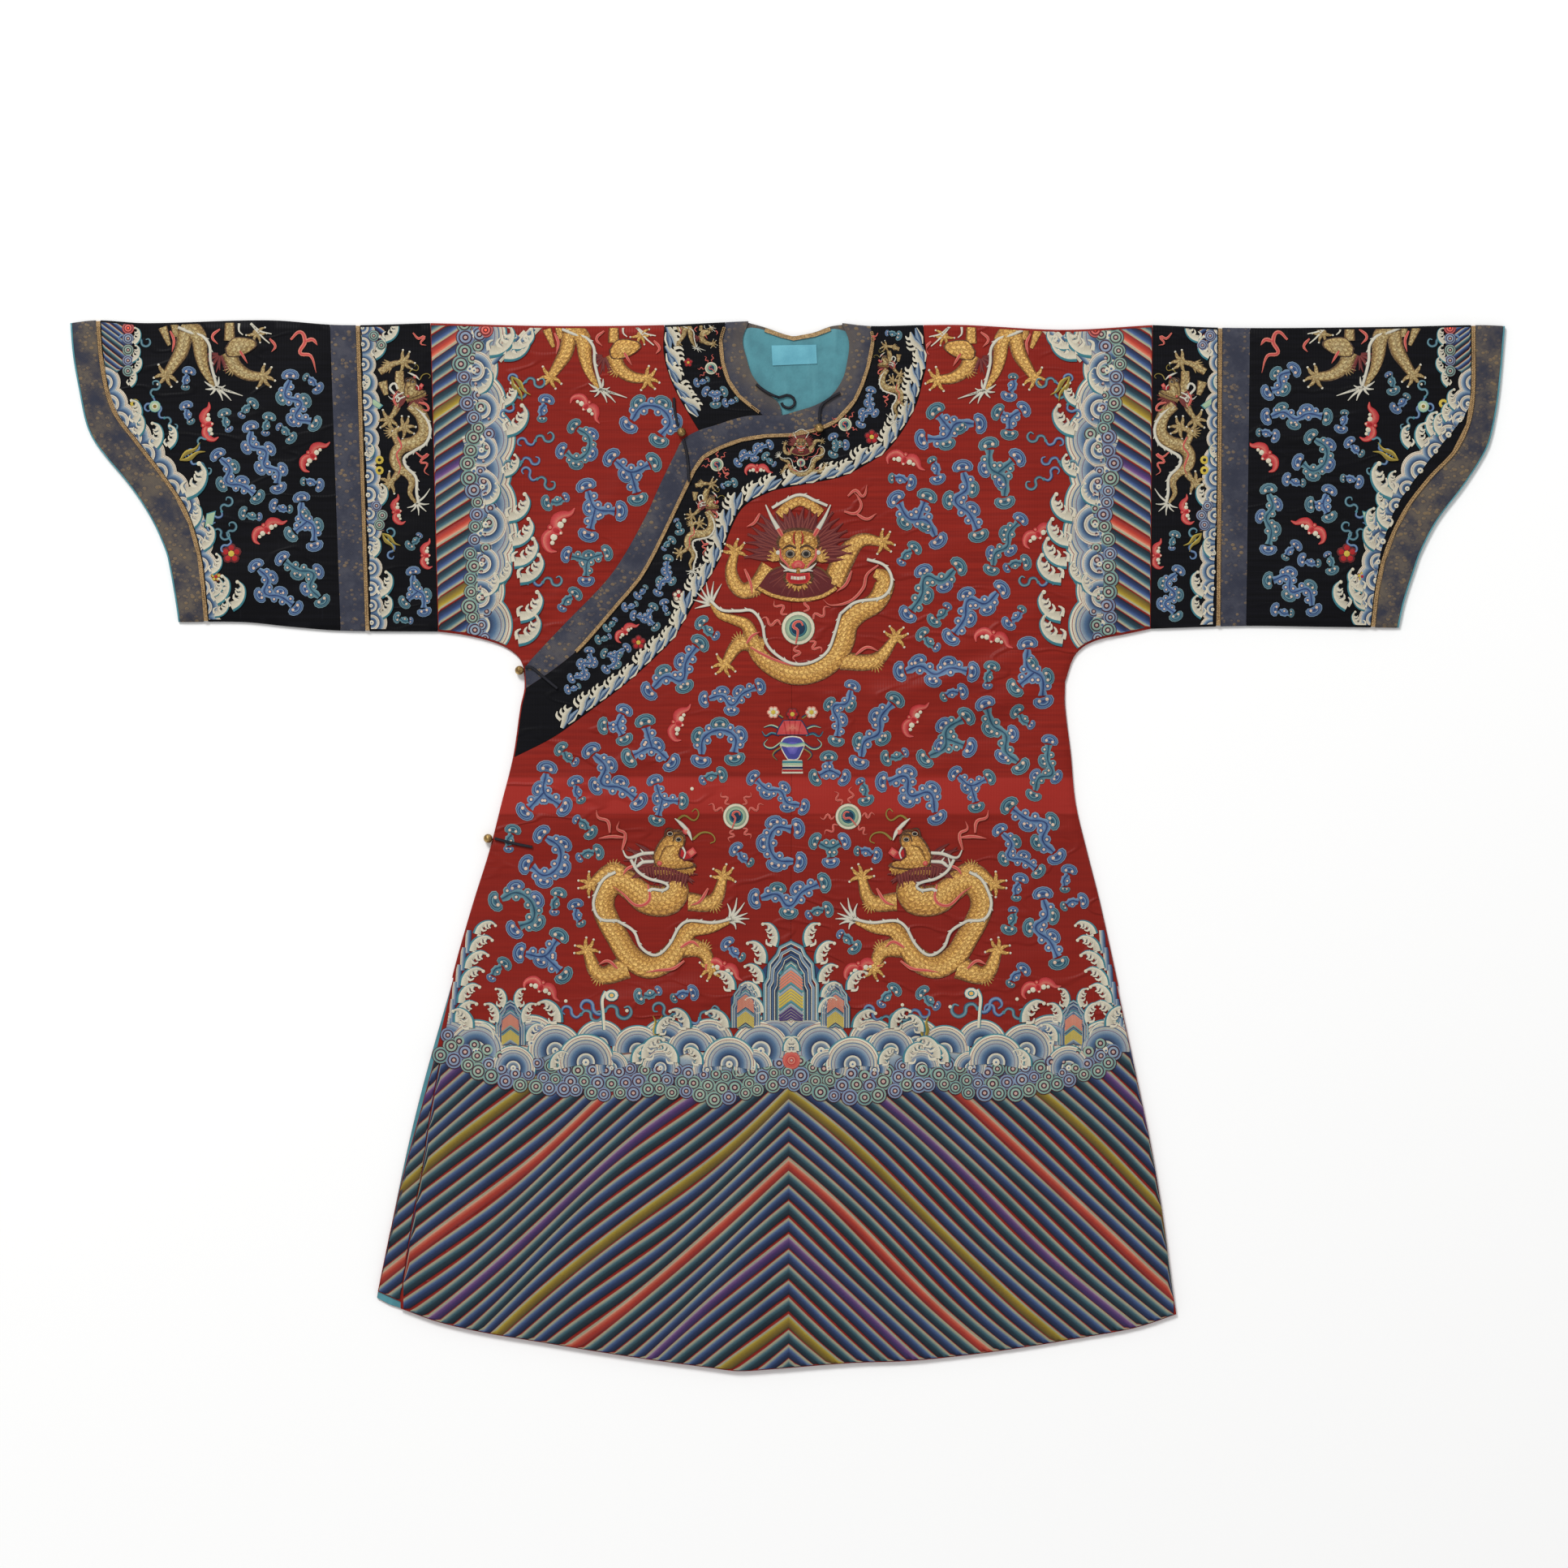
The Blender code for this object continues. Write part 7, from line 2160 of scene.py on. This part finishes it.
under_ground = Ground(np.array(joined(
    TOP_R_BODY, UNDER_COLLAR, part_of(OVER_IN, UNDER_COLLAR_END, BAND_TIP_UP), ARM_R, SEAM_R)), 7.0)
under_ground.leave((seam_seas["right"], under_motifs, shoulder_dragons["right"].gold,
                    shoulder_dragons["right"].silk), 4.0)
under_clouds = Threads()
for motifs, size in FIELD_FILL:
    strewn(under_clouds, under_ground, motifs, 3.0, 3.0, cloud_dice, size)
under_clouds.made("right_front_clouds", under_level, silk_floss, "red_silk")

# ---- The embroidered black bands ---------------------------------------------------------------
# The band at the top of each sleeve has a dragon that climbs it, and waves along its braid. It is
# the same floss and couched gold as the field, but with duller, thinner gold.
def band_dragon():
    """The dragon of the wearer's right band, in the robe's own places."""
    figure = Figure()
    gold, silk = figure.gold, figure.silk
    thin = ((0, 9), (0.5, 8), (1, 4.5))
    leg(figure, [(-427, 496), (-414, 504), (-402, 507)], 0, thin, 0.9, spurs=200)
    leg(figure, [(-405, 470), (-410, 456), (-417, 446)], 230, thin, 0.9)
    leg(figure, [(-407, 420), (-411, 433), (-401, 438)], 10, thin, 0.9, spurs=170)
    leg(figure, [(-406, 396), (-409, 388), (-416, 380)], 200, thin, 0.9)
    gold.stroke([(-424, 486), (-420, 472)], [(0, 11), (1, 5)], LIMB, 0.6, 0.3)
    gold.stroke([(-406, 497), (-405, 482), (-395, 470), (-390, 474)],
                [(0, 9), (0.5, 11), (1, 10)], BODY, 0.9, 0.5)
    gold.stroke([(-394, 462), (-383, 450), (-380, 433), (-390, 422), (-403, 418), (-410, 409),
                 (-408, 397), (-398, 390), (-393, 381), (-395, 369), (-389, 359)],
                [(0, 13), (0.4, 15), (0.6, 13), (0.8, 8), (1, 3)], BODY, 1.0, 0.5)
    barbed(silk, np.array(spaced([(-394, 460), (-382, 452), (-374, 437), (-378, 422), (-391, 413),
                                  (-401, 406), (-399, 397), (-389, 386), (-388, 369),
                                  (-386, 359)], 3.0)), barbs=3)
    for end in ((-394, 350), (-386, 346), (-378, 350), (-375, 358), (-374, 374), (-398, 354)):
        silk.stroke([(-388, 359), ((end[0] - 388) / 2 + 1, (end[1] + 357) / 2), end],
                    [(0, 2.6), (0.5, 2), (1, 0.7)], SPINE, 0.4, 0.9, 4.0)
    silk.stroke([(-406, 468), (-412, 474), (-416, 480), (-411, 484), (-408, 478)], 2.6, SPINE, 0.4,
                0.9)
    for points in ([(-392, 537), (-386, 531), (-380, 533), (-384, 526), (-378, 524)],
                   [(-386, 464), (-378, 462), (-376, 456), (-383, 457)],
                   [(-389, 412), (-382, 407), (-376, 410), (-384, 402), (-377, 400), (-380, 392),
                    (-375, 388)], [(-409, 460), (-412, 468), (-408, 476)],
                   [(-408, 428), (-404, 418), (-409, 410), (-405, 396), (-408, 388)]):
        flame(silk, points, 2.8, 1.2)
    head = Figure()
    side_head(head)
    figure.stamp(head, -401, 470, 20, 0.5, tint=None)
    return figure


def small_clouds(work, loop, taken, dice, size, margin=3.0, gap=3.0):
    """Clouds wherever a panel has room left."""
    ground = Ground(np.array(loop), margin)
    ground.leave(taken, gap)
    for motifs, scale in ((LARGE_CLOUDS, size), (SMALL_CLOUDS, size), (HEADS, size * 0.8)):
        strewn(work, ground, motifs, 4.0, gap, dice, scale)


def band_waves(dice):
    """Waves, bands and foam down the braid side of the wearer's right band."""
    work = Threads()
    braid = [(-447, 552), (-446, 500), (-443, 420), (-440, 340), (-437, 222)]
    surf(work, braid, 14.0, 19.0, dice, 2.0, 0.0)
    xs = np.arange(-450.0, -421.0, 4.0)
    for top, low in ((548.0, 524.0), (352.0, 330.0)):
        slanting_bands(work, xs, top + 6 - 0.75 * (xs + 450), np.full(len(xs), low),
                       np.full(len(xs), top), 7.0, range(-1, 7), False, ("navy",))
    for x, y, size, turn in ((-413, 535, 0.8, -70), (-424, 517, 0.8, -60), (-433, 484, 0.5, -40),
                             (-422, 362, 0.8, -60), (-426, 309, 0.7, -50), (-418, 268, 0.9, -60),
                             (-417, 246, 0.8, -60), (-430, 412, 0.5, -50)):
        foam(work, x - 8, y - 5, size, turn, base=1.0)
    for x, y in ((-433, 534), (-425, 524), (-430, 356), (-424, 346), (-427, 336)):
        work.stamp(KNOTS[int(dice.integers(4))], x, y, size=0.66, base=0.6)
    work.blob([(-436, 470), (-427, 464), (-423, 461), (-427, 457), (-436, 462)],
              [(0.8, PALE_GREEN), (1.0, SEA_TEAL)], 0.4, 0.8)
    for y in (404, 393):
        work.disc(-427, y, 4.6, [(0.4, BLACK_EYE), (0.95, YELLOW_CORE), (1.0, OLIVE)], 0.5, 0.8, 10)
    work.stamp(LEAVES, -419, 322, 225, 0.9, base=0.4)
    work.stamp(RIBBONS, -414, 316, 100, 0.6, base=0.2)
    return work


def flower(work, x, y, radius, tone=SCARLET, heart=YELLOW_CORE):
    """A round flower of five petals."""
    for k in range(5):
        angle = math.radians(72 * k + 18)
        work.disc(x + math.cos(angle) * radius * 0.55, y + math.sin(angle) * radius * 0.55,
                  radius * 0.46, [(0.6, tone), (1.0, MAROON)], 0.4, 0.5, 8)
    work.disc(x, y, radius * 0.3, [(1.0, heart)], 0.4, 0.9, 7)


def cuff_sea(dice):
    """Waves that break from the braid of the wearer's right cuff, and what floats over them."""
    work = Threads()
    braid = [(-727, 560), (-719, 496), (-708, 455), (-685, 423), (-657, 387), (-633, 350),
             (-618, 303), (-613, 252), (-612, 228)]
    xs = np.arange(-726.0, -688.0, 4.0)
    slanting_bands(work, xs, 562 - 0.78 * (xs + 726), 484 + 0.7 * (xs + 718),
                   np.full(len(xs), 549.0), 7.2, range(-2, 14), False, ("navy",))
    surf(work, braid[1:], 18.0, 21.0, dice, 2.0, foams=0.5)
    for k, y in enumerate((531, 519, 508, 497)):
        work.stamp(KNOTS[k], -690, y, size=0.68, base=0.6)
    work.stamp(KNOTS[0], -690, 542, size=0.72, tint=(2.6, 0.45, 0.3), base=0.6)
    for x, y, size, turn in ((-676, 532, 0.6, -50), (-678, 514, 0.6, -60), (-676, 502, 0.6, -60),
                             (-680, 488, 0.6, -50), (-672, 437, 0.8, -40), (-654, 424, 0.9, -40),
                             (-640, 424, 0.8, -50), (-622, 374, 1.3, -70), (-618, 340, 0.9, -60),
                             (-604, 318, 0.9, -60), (-590, 262, 1.0, -60), (-574, 256, 1.0, -60)):
        foam(work, x - 8, y - 6, size, turn, base=1.1)
    work.disc(-662, 460, 6.4, [(0.3, OLIVE), (0.5, PALE), (0.9, PALE_GREEN), (1.0, SEA_TEAL)],
              0.6, 0.6, 12)
    work.disc(-683, 463, 5.0, [(0.4, BLACK_EYE), (0.95, YELLOW_CORE), (1.0, OLIVE)], 0.5, 0.6, 10)
    work.blob([(-608, 348), (-598, 351), (-601, 336), (-610, 333)],
              [(0.85, PALE_GREEN), (1.0, SEA_TEAL)], 0.5, 0.6)
    work.stamp(LEAVES, -628, 408, 300, 1.1, base=0.4)
    for x, y, turn in ((-664, 470, 80), (-652, 448, -40), (-616, 420, 60), (-618, 400, -30),
                       (-592, 350, 60), (-600, 330, -20), (-584, 322, 80), (-684, 528, 0)):
        work.stamp(RIBBONS, x, y, turn, 0.62, base=0.2)
    flower(work, -582, 306, 11.0)
    flower(work, -598, 282, 6.0, YELLOW_CORE, SCARLET)
    for x, y, turn in ((-606, 441, 100), (-497, 408, 50), (-545, 331, 35)):
        work.stamp(BAT, x, y, turn, 0.92, base=0.2)
    for points in ([(-520, 530), (-510, 538), (-505, 528), (-510, 516), (-499, 513), (-493, 495)],
                   [(-505, 528), (-497, 530), (-492, 524)],
                   [(-622, 536), (-614, 528), (-612, 518)]):
        flame(work, points, 4.4, 0.6)
    return work


climbing = band_dragon()
for side, mirror in SIDES.items():
    seams = SEWN_SEAMS[side]
    lines = (RIGHT_TOP_LINE, RIGHT_LOW_LINE) if side == "right" else (LEFT_TOP_LINE, LEFT_LOW_LINE)
    tops, lows = (spaced(line, 10.0) for line in lines)
    dice = np.random.default_rng(31 if mirror else 30)
    inner, outer = ("right", "left") if side == "right" else ("left", "right")
    # the left sleeve lies a few millimetres off the mirror image of the right one
    for part, wide, narrow, cloud_size, room in (("band", "piped", "seam", 0.74, (3.0, 3.0)),
                                                 ("sleeve", "cuff_in", "strip_out", 0.88,
                                                  (5.0, 4.0))):
        dragon, waves = Figure(), Threads()
        if part == "band":
            dragon.stamp(climbing, 10.0 if mirror else 0.0, 0.0, mirror=mirror, tint=TAN)
            waves.stamp(band_waves(dice), 9.0 if mirror else 0.0, mirror=mirror)
            for x, y, turn in ((-408, 350, 100), (-378, 304, 90)):
                waves.stamp(BAT, 9.0 - x if mirror else x, y, turn, 0.72)
        else:
            dragon.stamp(FOLDED, 600.0 if mirror else -596.0, 545.0, mirror=mirror, tint=TAN)
            waves.stamp(cuff_sea(dice), 3.0 if mirror else 0.0, mirror=mirror)
        far, near = seams[wide], seams[narrow]
        tube = joined(fold_between(lines[0], far[0], near[0]), near,
                      fold_between(lines[1], far[-1], near[-1])[::-1], far[::-1])
        small_clouds(waves, tube, [waves, dragon.gold, dragon.silk], dice, cloud_size, *room)
        inside = panel(high=tops, low=lows, **{outer: far, inner: near})
        dragon.made(f"{side}_{part}_dragon", under_level, "black_silk", clip=inside)
        waves.made(f"{side}_{part}_waves_and_clouds", under_level, silk_floss, "black_silk", inside)

# ---- The embroidered collar --------------------------------------------------------------------
# The collar border is worked before it is sewn on: a rope of breaking waves runs along its outer
# edge, and small dragons, clouds, pearls and bats fill the black.
def wave_rope(work, line, size, stop=1e9):
    """Curled cream crests with blue backs, one after another along a line, on its left."""
    line = np.array(spaced(line, 2.0))
    run, along = headings(line), lengths(line)
    spots = np.arange(4.0, min(along[-1], stop) - 8.0, 15.5 * size)
    for spot, grow in zip(spots, collar_dice.uniform(0.85, 1.3, len(spots))):
        i = int(np.searchsorted(along, spot + collar_dice.uniform(-2.5, 2.5)))
        ahead, inward = run[i], np.array((-run[i, 1], run[i, 0]))

        def at(forth, aside):
            return line[i] + (ahead * forth + inward * aside * grow) * size
        work.stroke([at(2, 2.5), at(9, 4.0), at(16, 5.5)],
                    [(0, 3 * size), (0.4, 7 * size), (1, 2 * size)],
                    [(0, 0.4, SEA_MID, SEA_LIGHT), (0.4, 0.75, SEA_MID, SEA_NAVY),
                     (0.75, 1.0, FOAM, FOAM)], 0.5, 0.3)
        work.stroke([at(-4, 2.0), at(1, 4.5), at(6, 8.0), at(13, 9.5)],
                    [(0, 3.5 * size), (0.45, 6.5 * size), (0.8, 4.4 * size), (1, 1.6)],
                    [(0, 0.62, FOAM, FOAM_SHADE), (0.62, 0.8, SEA_LIGHT, SEA_LIGHT),
                     (0.8, 1.0, SEA_MID, SEA_NAVY)], 0.6, 0.5)
        for k in range(3):
            work.stroke([at(4.5 * k - 1, 7 + 1.2 * k), at(4.5 * k - 1.6, 11 + 0.6 * k),
                         at(4.5 * k + 1, 13.4)],
                        [(0, 2.8 * size), (0.6, 2.2 * size), (1, 0.8)], [(0, 1, FOAM, FOAM)], 0.4,
                        0.6)


collar_dice = np.random.default_rng(5)
centred_climber = Figure()
centred_climber.stamp(climbing, 396, -440)
collar_dragons, collar_work = Figure(), Threads()
collar_dragons.stamp(FRONT_DRAGON, 14, 420, 0, 0.25, tint=TAN)
collar_dragons.stamp(centred_climber, -89, 338, -18, 0.62, tint=TAN)
collar_dragons.stamp(centred_climber, 107, 488, 12, 0.52, mirror=True, tint=TAN)
wave_rope(collar_work, COLLAR[::-1][11:], 1.25)
for x, y in ((-74, 399), (60, 441)):
    small_pearl = Threads()
    pearl(small_pearl, 0, 0, 7.0)
    collar_work.stamp(small_pearl, x, y, 30)
for x, y, turn in ((-32, 394, 0), (-170, 224, 40)):
    collar_work.stamp(BAT, x, y, turn, 0.66)
flower(collar_work, 88, 428, 8.0)
flower(collar_work, -114, 262, 7.0, PALE, SCARLET)
flower(collar_work, -156, 213, 8.0)
collar_ground = Ground(np.array(over_collar), 4.0)
collar_ground.take(np.array([(x, y) for x in range(-300, -236, 3) for y in range(90, 200, 3)]), 0.0)
collar_ground.leave((collar_work, collar_dragons.gold, collar_dragons.silk), 1.0)
for motifs, size in ((LARGE_CLOUDS, 0.54), (SMALL_CLOUDS, 0.58), (HEADS, 0.50)):
    strewn(collar_work, collar_ground, motifs, 2.0, 0.0, collar_dice, size)
collar_dragons.made("collar_dragons", over_level, "black_silk", clip=panel(high=TOP_L))
collar_work.made("collar_waves_and_clouds", over_level, silk_floss, "black_silk",
                 panel(high=TOP_L))

under_work, under_dragon = Threads(), Figure()
wave_rope(under_work, UNDER_COLLAR, 1.3, 104.0)
under_dragon.stamp(FOLDED, -95, 545, 0, 0.36, tint=TAN)
small_pearl = Threads()
pearl(small_pearl, 0, 0, 6.5)
under_work.stamp(small_pearl, -80, 500, 60)
flower(under_work, -104, 506, 5.0)
under_collar_ground = Ground(np.array(joined(
    TOP_R_COLLAR, UNDER_SEAM, part_of(OVER_IN, UNDER_BAND_OUT, UNDER_COLLAR_END),
    UNDER_COLLAR[::-1])), 4.0)
under_collar_ground.take(np.array([(x, y) for x in range(-110, -20, 3) for y in range(425, 456,
                                                                                      3)]), 0.0)
under_collar_ground.leave((under_work, under_dragon.gold, under_dragon.silk), 1.0)
for motifs, size in ((SMALL_CLOUDS, 0.6), (HEADS, 0.48)):
    strewn(under_work, under_collar_ground, motifs, 3.0, 1.0, collar_dice, size)
under_dragon.made("under_collar_dragon", under_level, "black_silk", clip=panel(high=TOP_R))
under_work.made("under_collar_waves_and_clouds", under_level, silk_floss, "black_silk",
                panel(high=TOP_R, left=UNDER_COLLAR))

# ---- The gold braid ----------------------------------------------------------------------------
# A flat two-strand braid of gold-wrapped cord is couched over the inner seams of the cuffs and
# sleeve strips and round the neck band. Its strands slant towards each other like an ear of wheat.
STRAND_STEP, STRAND_SLANT = 1.9, 0.62


def strand_tree():
    """Geometry nodes that lay slanting strands along the lines of a mesh."""
    tree = bpy.data.node_groups.new("laid_strands", "GeometryNodeTree")
    for name, kind in (("Lines", "NodeSocketGeometry"), ("Step", "NodeSocketFloat"),
                       ("Strand size", "NodeSocketVector"), ("Finish", "NodeSocketMaterial")):
        tree.interface.new_socket(name, in_out="INPUT", socket_type=kind)
    tree.interface.new_socket("Strands", in_out="OUTPUT", socket_type="NodeSocketGeometry")
    nodes, links = tree.nodes, tree.links
    given, result = nodes.new("NodeGroupInput"), nodes.new("NodeGroupOutput")
    to_curve = nodes.new("GeometryNodeMeshToCurve")
    resample = nodes.new("GeometryNodeResampleCurve")
    resample.mode = "LENGTH"
    tangent = nodes.new("GeometryNodeInputTangent")
    slant = nodes.new("GeometryNodeInputNamedAttribute")
    slant.data_type = "FLOAT"
    slant.inputs["Name"].default_value = "slant"
    turn = nodes.new("ShaderNodeVectorRotate")
    turn.rotation_type = "Z_AXIS"
    align = nodes.new("FunctionNodeAlignRotationToVector")
    align.axis = "X"
    strand = nodes.new("GeometryNodeMeshIcoSphere")
    strand.inputs["Radius"].default_value = 0.001
    strand.inputs["Subdivisions"].default_value = 1
    place = nodes.new("GeometryNodeInstanceOnPoints")
    real = nodes.new("GeometryNodeRealizeInstances")
    smooth = nodes.new("GeometryNodeSetShadeSmooth")
    dress = nodes.new("GeometryNodeSetMaterial")
    for start, end in (
        (given.outputs["Lines"], to_curve.inputs["Mesh"]),
        (to_curve.outputs["Curve"], resample.inputs["Curve"]),
        (given.outputs["Step"], resample.inputs["Length"]),
        (tangent.outputs["Tangent"], turn.inputs["Vector"]),
        (slant.outputs["Attribute"], turn.inputs["Angle"]),
        (turn.outputs["Vector"], align.inputs["Vector"]),
        (resample.outputs["Curve"], place.inputs["Points"]),
        (strand.outputs["Mesh"], place.inputs["Instance"]),
        (align.outputs["Rotation"], place.inputs["Rotation"]),
        (given.outputs["Strand size"], place.inputs["Scale"]),
        (place.outputs["Instances"], real.inputs["Geometry"]),
        (real.outputs["Geometry"], smooth.inputs["Geometry"]),
        (smooth.outputs["Geometry"], dress.inputs["Geometry"]),
        (given.outputs["Finish"], dress.inputs["Material"]),
        (dress.outputs["Geometry"], result.inputs["Strands"]),
    ):
        links.new(start, end)
    return tree


def laid_strands(name, lines, step, size, finish):
    """Strands along lines of x, y, z in millimetres, each with its slant; worked by the nodes."""
    mesh = bpy.data.meshes.new(f"{name}_lines")
    points, edges, slants = [], [], []
    for line, slant in lines:
        edges += [(len(points) + k, len(points) + k + 1) for k in range(len(line) - 1)]
        points += [tuple(p) for p in np.asarray(line, float) * MM]
        slants += [slant] * len(line)
    mesh.from_pydata(points, edges, [])
    mesh.attributes.new("slant", "FLOAT", "POINT").data.foreach_set("value", slants)
    guide = linked(f"{name}_guide", mesh)
    modifier = guide.modifiers.new("strands", "NODES")
    modifier.node_group = STRANDS
    sockets = {item.name: item.identifier for item in STRANDS.interface.items_tree
               if item.in_out == "INPUT"}
    modifier[sockets["Step"]] = step * MM
    modifier[sockets["Strand size"]] = size
    modifier[sockets["Finish"]] = finish
    graph = bpy.context.evaluated_depsgraph_get()
    made_mesh = bpy.data.meshes.new_from_object(guide.evaluated_get(graph))
    guide.modifiers.remove(modifier)
    bpy.data.objects.remove(guide)
    made_mesh.name = name
    return sewn(linked(name, made_mesh), [])


def gold_cord(name):
    """Gold-wrapped cord, dulled brown between the strands."""
    finish = Finish(name, 0.45, metallic=0.2, specular=0.4)
    grain = finish.noise(finish.place(), 700.0, 2.0, 0.6)
    worn = finish.noise(finish.place(), 60.0, 3.0, 0.6)
    base = finish.mix(grain.step(0.35, 0.7), (0.25, 0.15, 0.065), (0.50, 0.33, 0.15))
    base = finish.mix(worn.step(0.5, 0.75) * 0.6, base, (0.20, 0.13, 0.07))
    finish.colour(base)
    finish.bump(grain, 0.0003)
    return finish.made


def over_line(line, level, height):
    line = np.array(line, float)
    return np.concatenate([line, (level(line[:, 0], line[:, 1]) + height)[:, None]], 1)


def braided(name, line, width, level, height):
    """The two strands of a braid along a seam."""
    line = np.array(spaced(line, 3.0))
    lines = []
    for side in (1, -1):
        beside_line = beside([tuple(p) for p in line], side * width * 0.25)
        lines.append((over_line(beside_line, level, height), side * STRAND_SLANT))
    laid_strands(name, lines, STRAND_STEP, (width * 0.36, width * 0.21, width * 0.17), gold_braid)


def finish_nodes(material, *nodes):
    """Gives solids that keep their shape a better material."""
    for node in nodes:
        bpy.data.objects[node].material_slots[0].material = material


STRANDS = strand_tree()
gold_braid = gold_cord("gold_cord")
finish_nodes(gold_braid, "neck_piping", "under_neck_piping", "back_neck_binding",
             "left_cuff_piping", "right_cuff_piping", "left_sleeve_piping", "right_sleeve_piping")
braided("neck_braid", part_of(OVER_SEAM, BAND_LEFT, (-221, 204))[1:], 3.8, over_level, 1.75)
braided("under_neck_braid", UNDER_SEAM[1:-1], 3.8, under_level, 1.75)
for side in SIDES:
    seams = SEWN_SEAMS[side]
    for name, outer, inner in (("cuff_braid", "cuff", "cuff_in"),
                               ("sleeve_braid", "strip_in", "piped")):
        middle = [tuple(p) for p in (np.array(seams[outer]) + seams[inner]) / 2]
        braided(f"{side}_{name}", middle[1:-1], 4.4, under_level, 1.1)

# ---- Buttons, cords and binding ----------------------------------------------------------------
# Four gilt brass ball buttons close the robe on the wearer's right, each held by a loop of black
# silk cord. The vent and the hem are bound with turquoise silk.
def gilt_brass(name):
    finish = Finish(name, 0.34, metallic=0.85, specular=0.5)
    wear = finish.noise(finish.place(), 240.0, 3.0, 0.6)
    base = finish.mix(wear.step(0.40, 0.70), (0.22, 0.13, 0.045), (0.62, 0.42, 0.16))
    finish.colour(base)
    finish.roughness(wear * 0.3 + 0.25)
    finish.bump(wear, 0.0003)
    return finish.made


def silk_cord(name):
    finish = Finish(name, 0.6, specular=0.2)
    twist = finish.noise(finish.place(), 900.0, 2.0, 0.6)
    finish.colour(finish.mix(twist, (0.006, 0.006, 0.009), (0.022, 0.022, 0.030)))
    finish.bump(twist, 0.0004)
    return finish.made


brass, black_cord_silk = gilt_brass("gilt_brass"), silk_cord("black_cord_silk")
finish_nodes(brass, "button_neck", "button_shoulder", "button_underarm", "button_side")
finish_nodes(black_cord_silk, "neck_loop", "neck_tail", "shoulder_tail", "shoulder_loop",
             "underarm_loop", "side_loop")
finish_nodes(turquoise, "vent_lining")

# ---- The embroidered back ----------------------------------------------------------------------
# The back lengths are worked like the front, over the centre back seam: stripes, knots and sea at
# the hem, a dragon that faces out, a pair in profile, clouds, and the sleeve seams' seas.
BEHIND = 0.5  # the back's stitches lie pressed between the cloth and the table
back_clip = panel(left=part_of(SIDE_R, VENT_RIGHT, COLLAR_TIP)[::-1] + VENT_R[::-1][1:],
                  right=VENT_L[::-1] + part_of(SIDE_L, (289, 172), VENT_LEFT)[::-1])
back_columns = np.arange(-428.0, 406.0, STRIPE_STEP)
back_low = along_line(HEM_R + HEM_L, back_columns) + HEM_INSET
back_high = np.minimum(along_line([(-460, -180), *KNOT_MIDDLE], back_columns),
                       np.minimum(across_line(VENT_R, back_columns, OUTSIDE),
                                  across_line(VENT_L, back_columns, OUTSIDE)) - OVERLAP_INSET)
for name, work in (("back_hem_stripes", hem_bands(back_columns, back_low, back_high)),
                   ("back_knot_clouds", hem_knots), ("back_waves_and_rocks", hem_sea)):
    work.made(name, over_level, silk_floss, "red_silk", back_clip, BEHIND)
back_dragons = Figure()
back_dragons.stamp(FRONT_DRAGON, 4, 290)
for x, mirror in ((-146.0, False), (152.0, True)):
    back_dragons.stamp(SIDE_DRAGON, x, -16, mirror=mirror)
back_dragons.made("back_dragons", over_level, behind=BEHIND)
back_work = Threads()
for x, y, turn in FIELD_BATS:
    back_work.stamp(BAT, 4 - x, y, -turn, 0.95)
for x, y, turn in ((-62, 31, 0.0), (68, 31, 60.0)):
    pearl(back_work, x, y, 13.6, turn)
back_ground = Ground(np.array(joined(
    BACK_COLLAR, part_of(TOP_L, COLLAR_LEFT, (289, 539)), SEAM_L, ARM_L, SIDE_L,
    [VENT_LEFT, (360, -236), (-364, -229), VENT_RIGHT], part_of(SIDE_R, VENT_RIGHT, BAND_TIP_UP),
    ARM_R, SEAM_R)), 8.0)
back_ground.leave((hem_knots, hem_sea, back_work, back_dragons.gold, back_dragons.silk,
                   *seam_seas.values()), 3.0)
strewn(back_work, back_ground, LARGE_CLOUDS, 4.0, 3.0, cloud_dice, 1.06)
back_work.made("back_clouds_and_bats", over_level, silk_floss, "red_silk", behind=BEHIND)
for side, sea in seam_seas.items():
    sea.made(f"{side}_back_seam_sea", over_level, silk_floss, "red_silk", SEAM_PANELS[side], BEHIND)
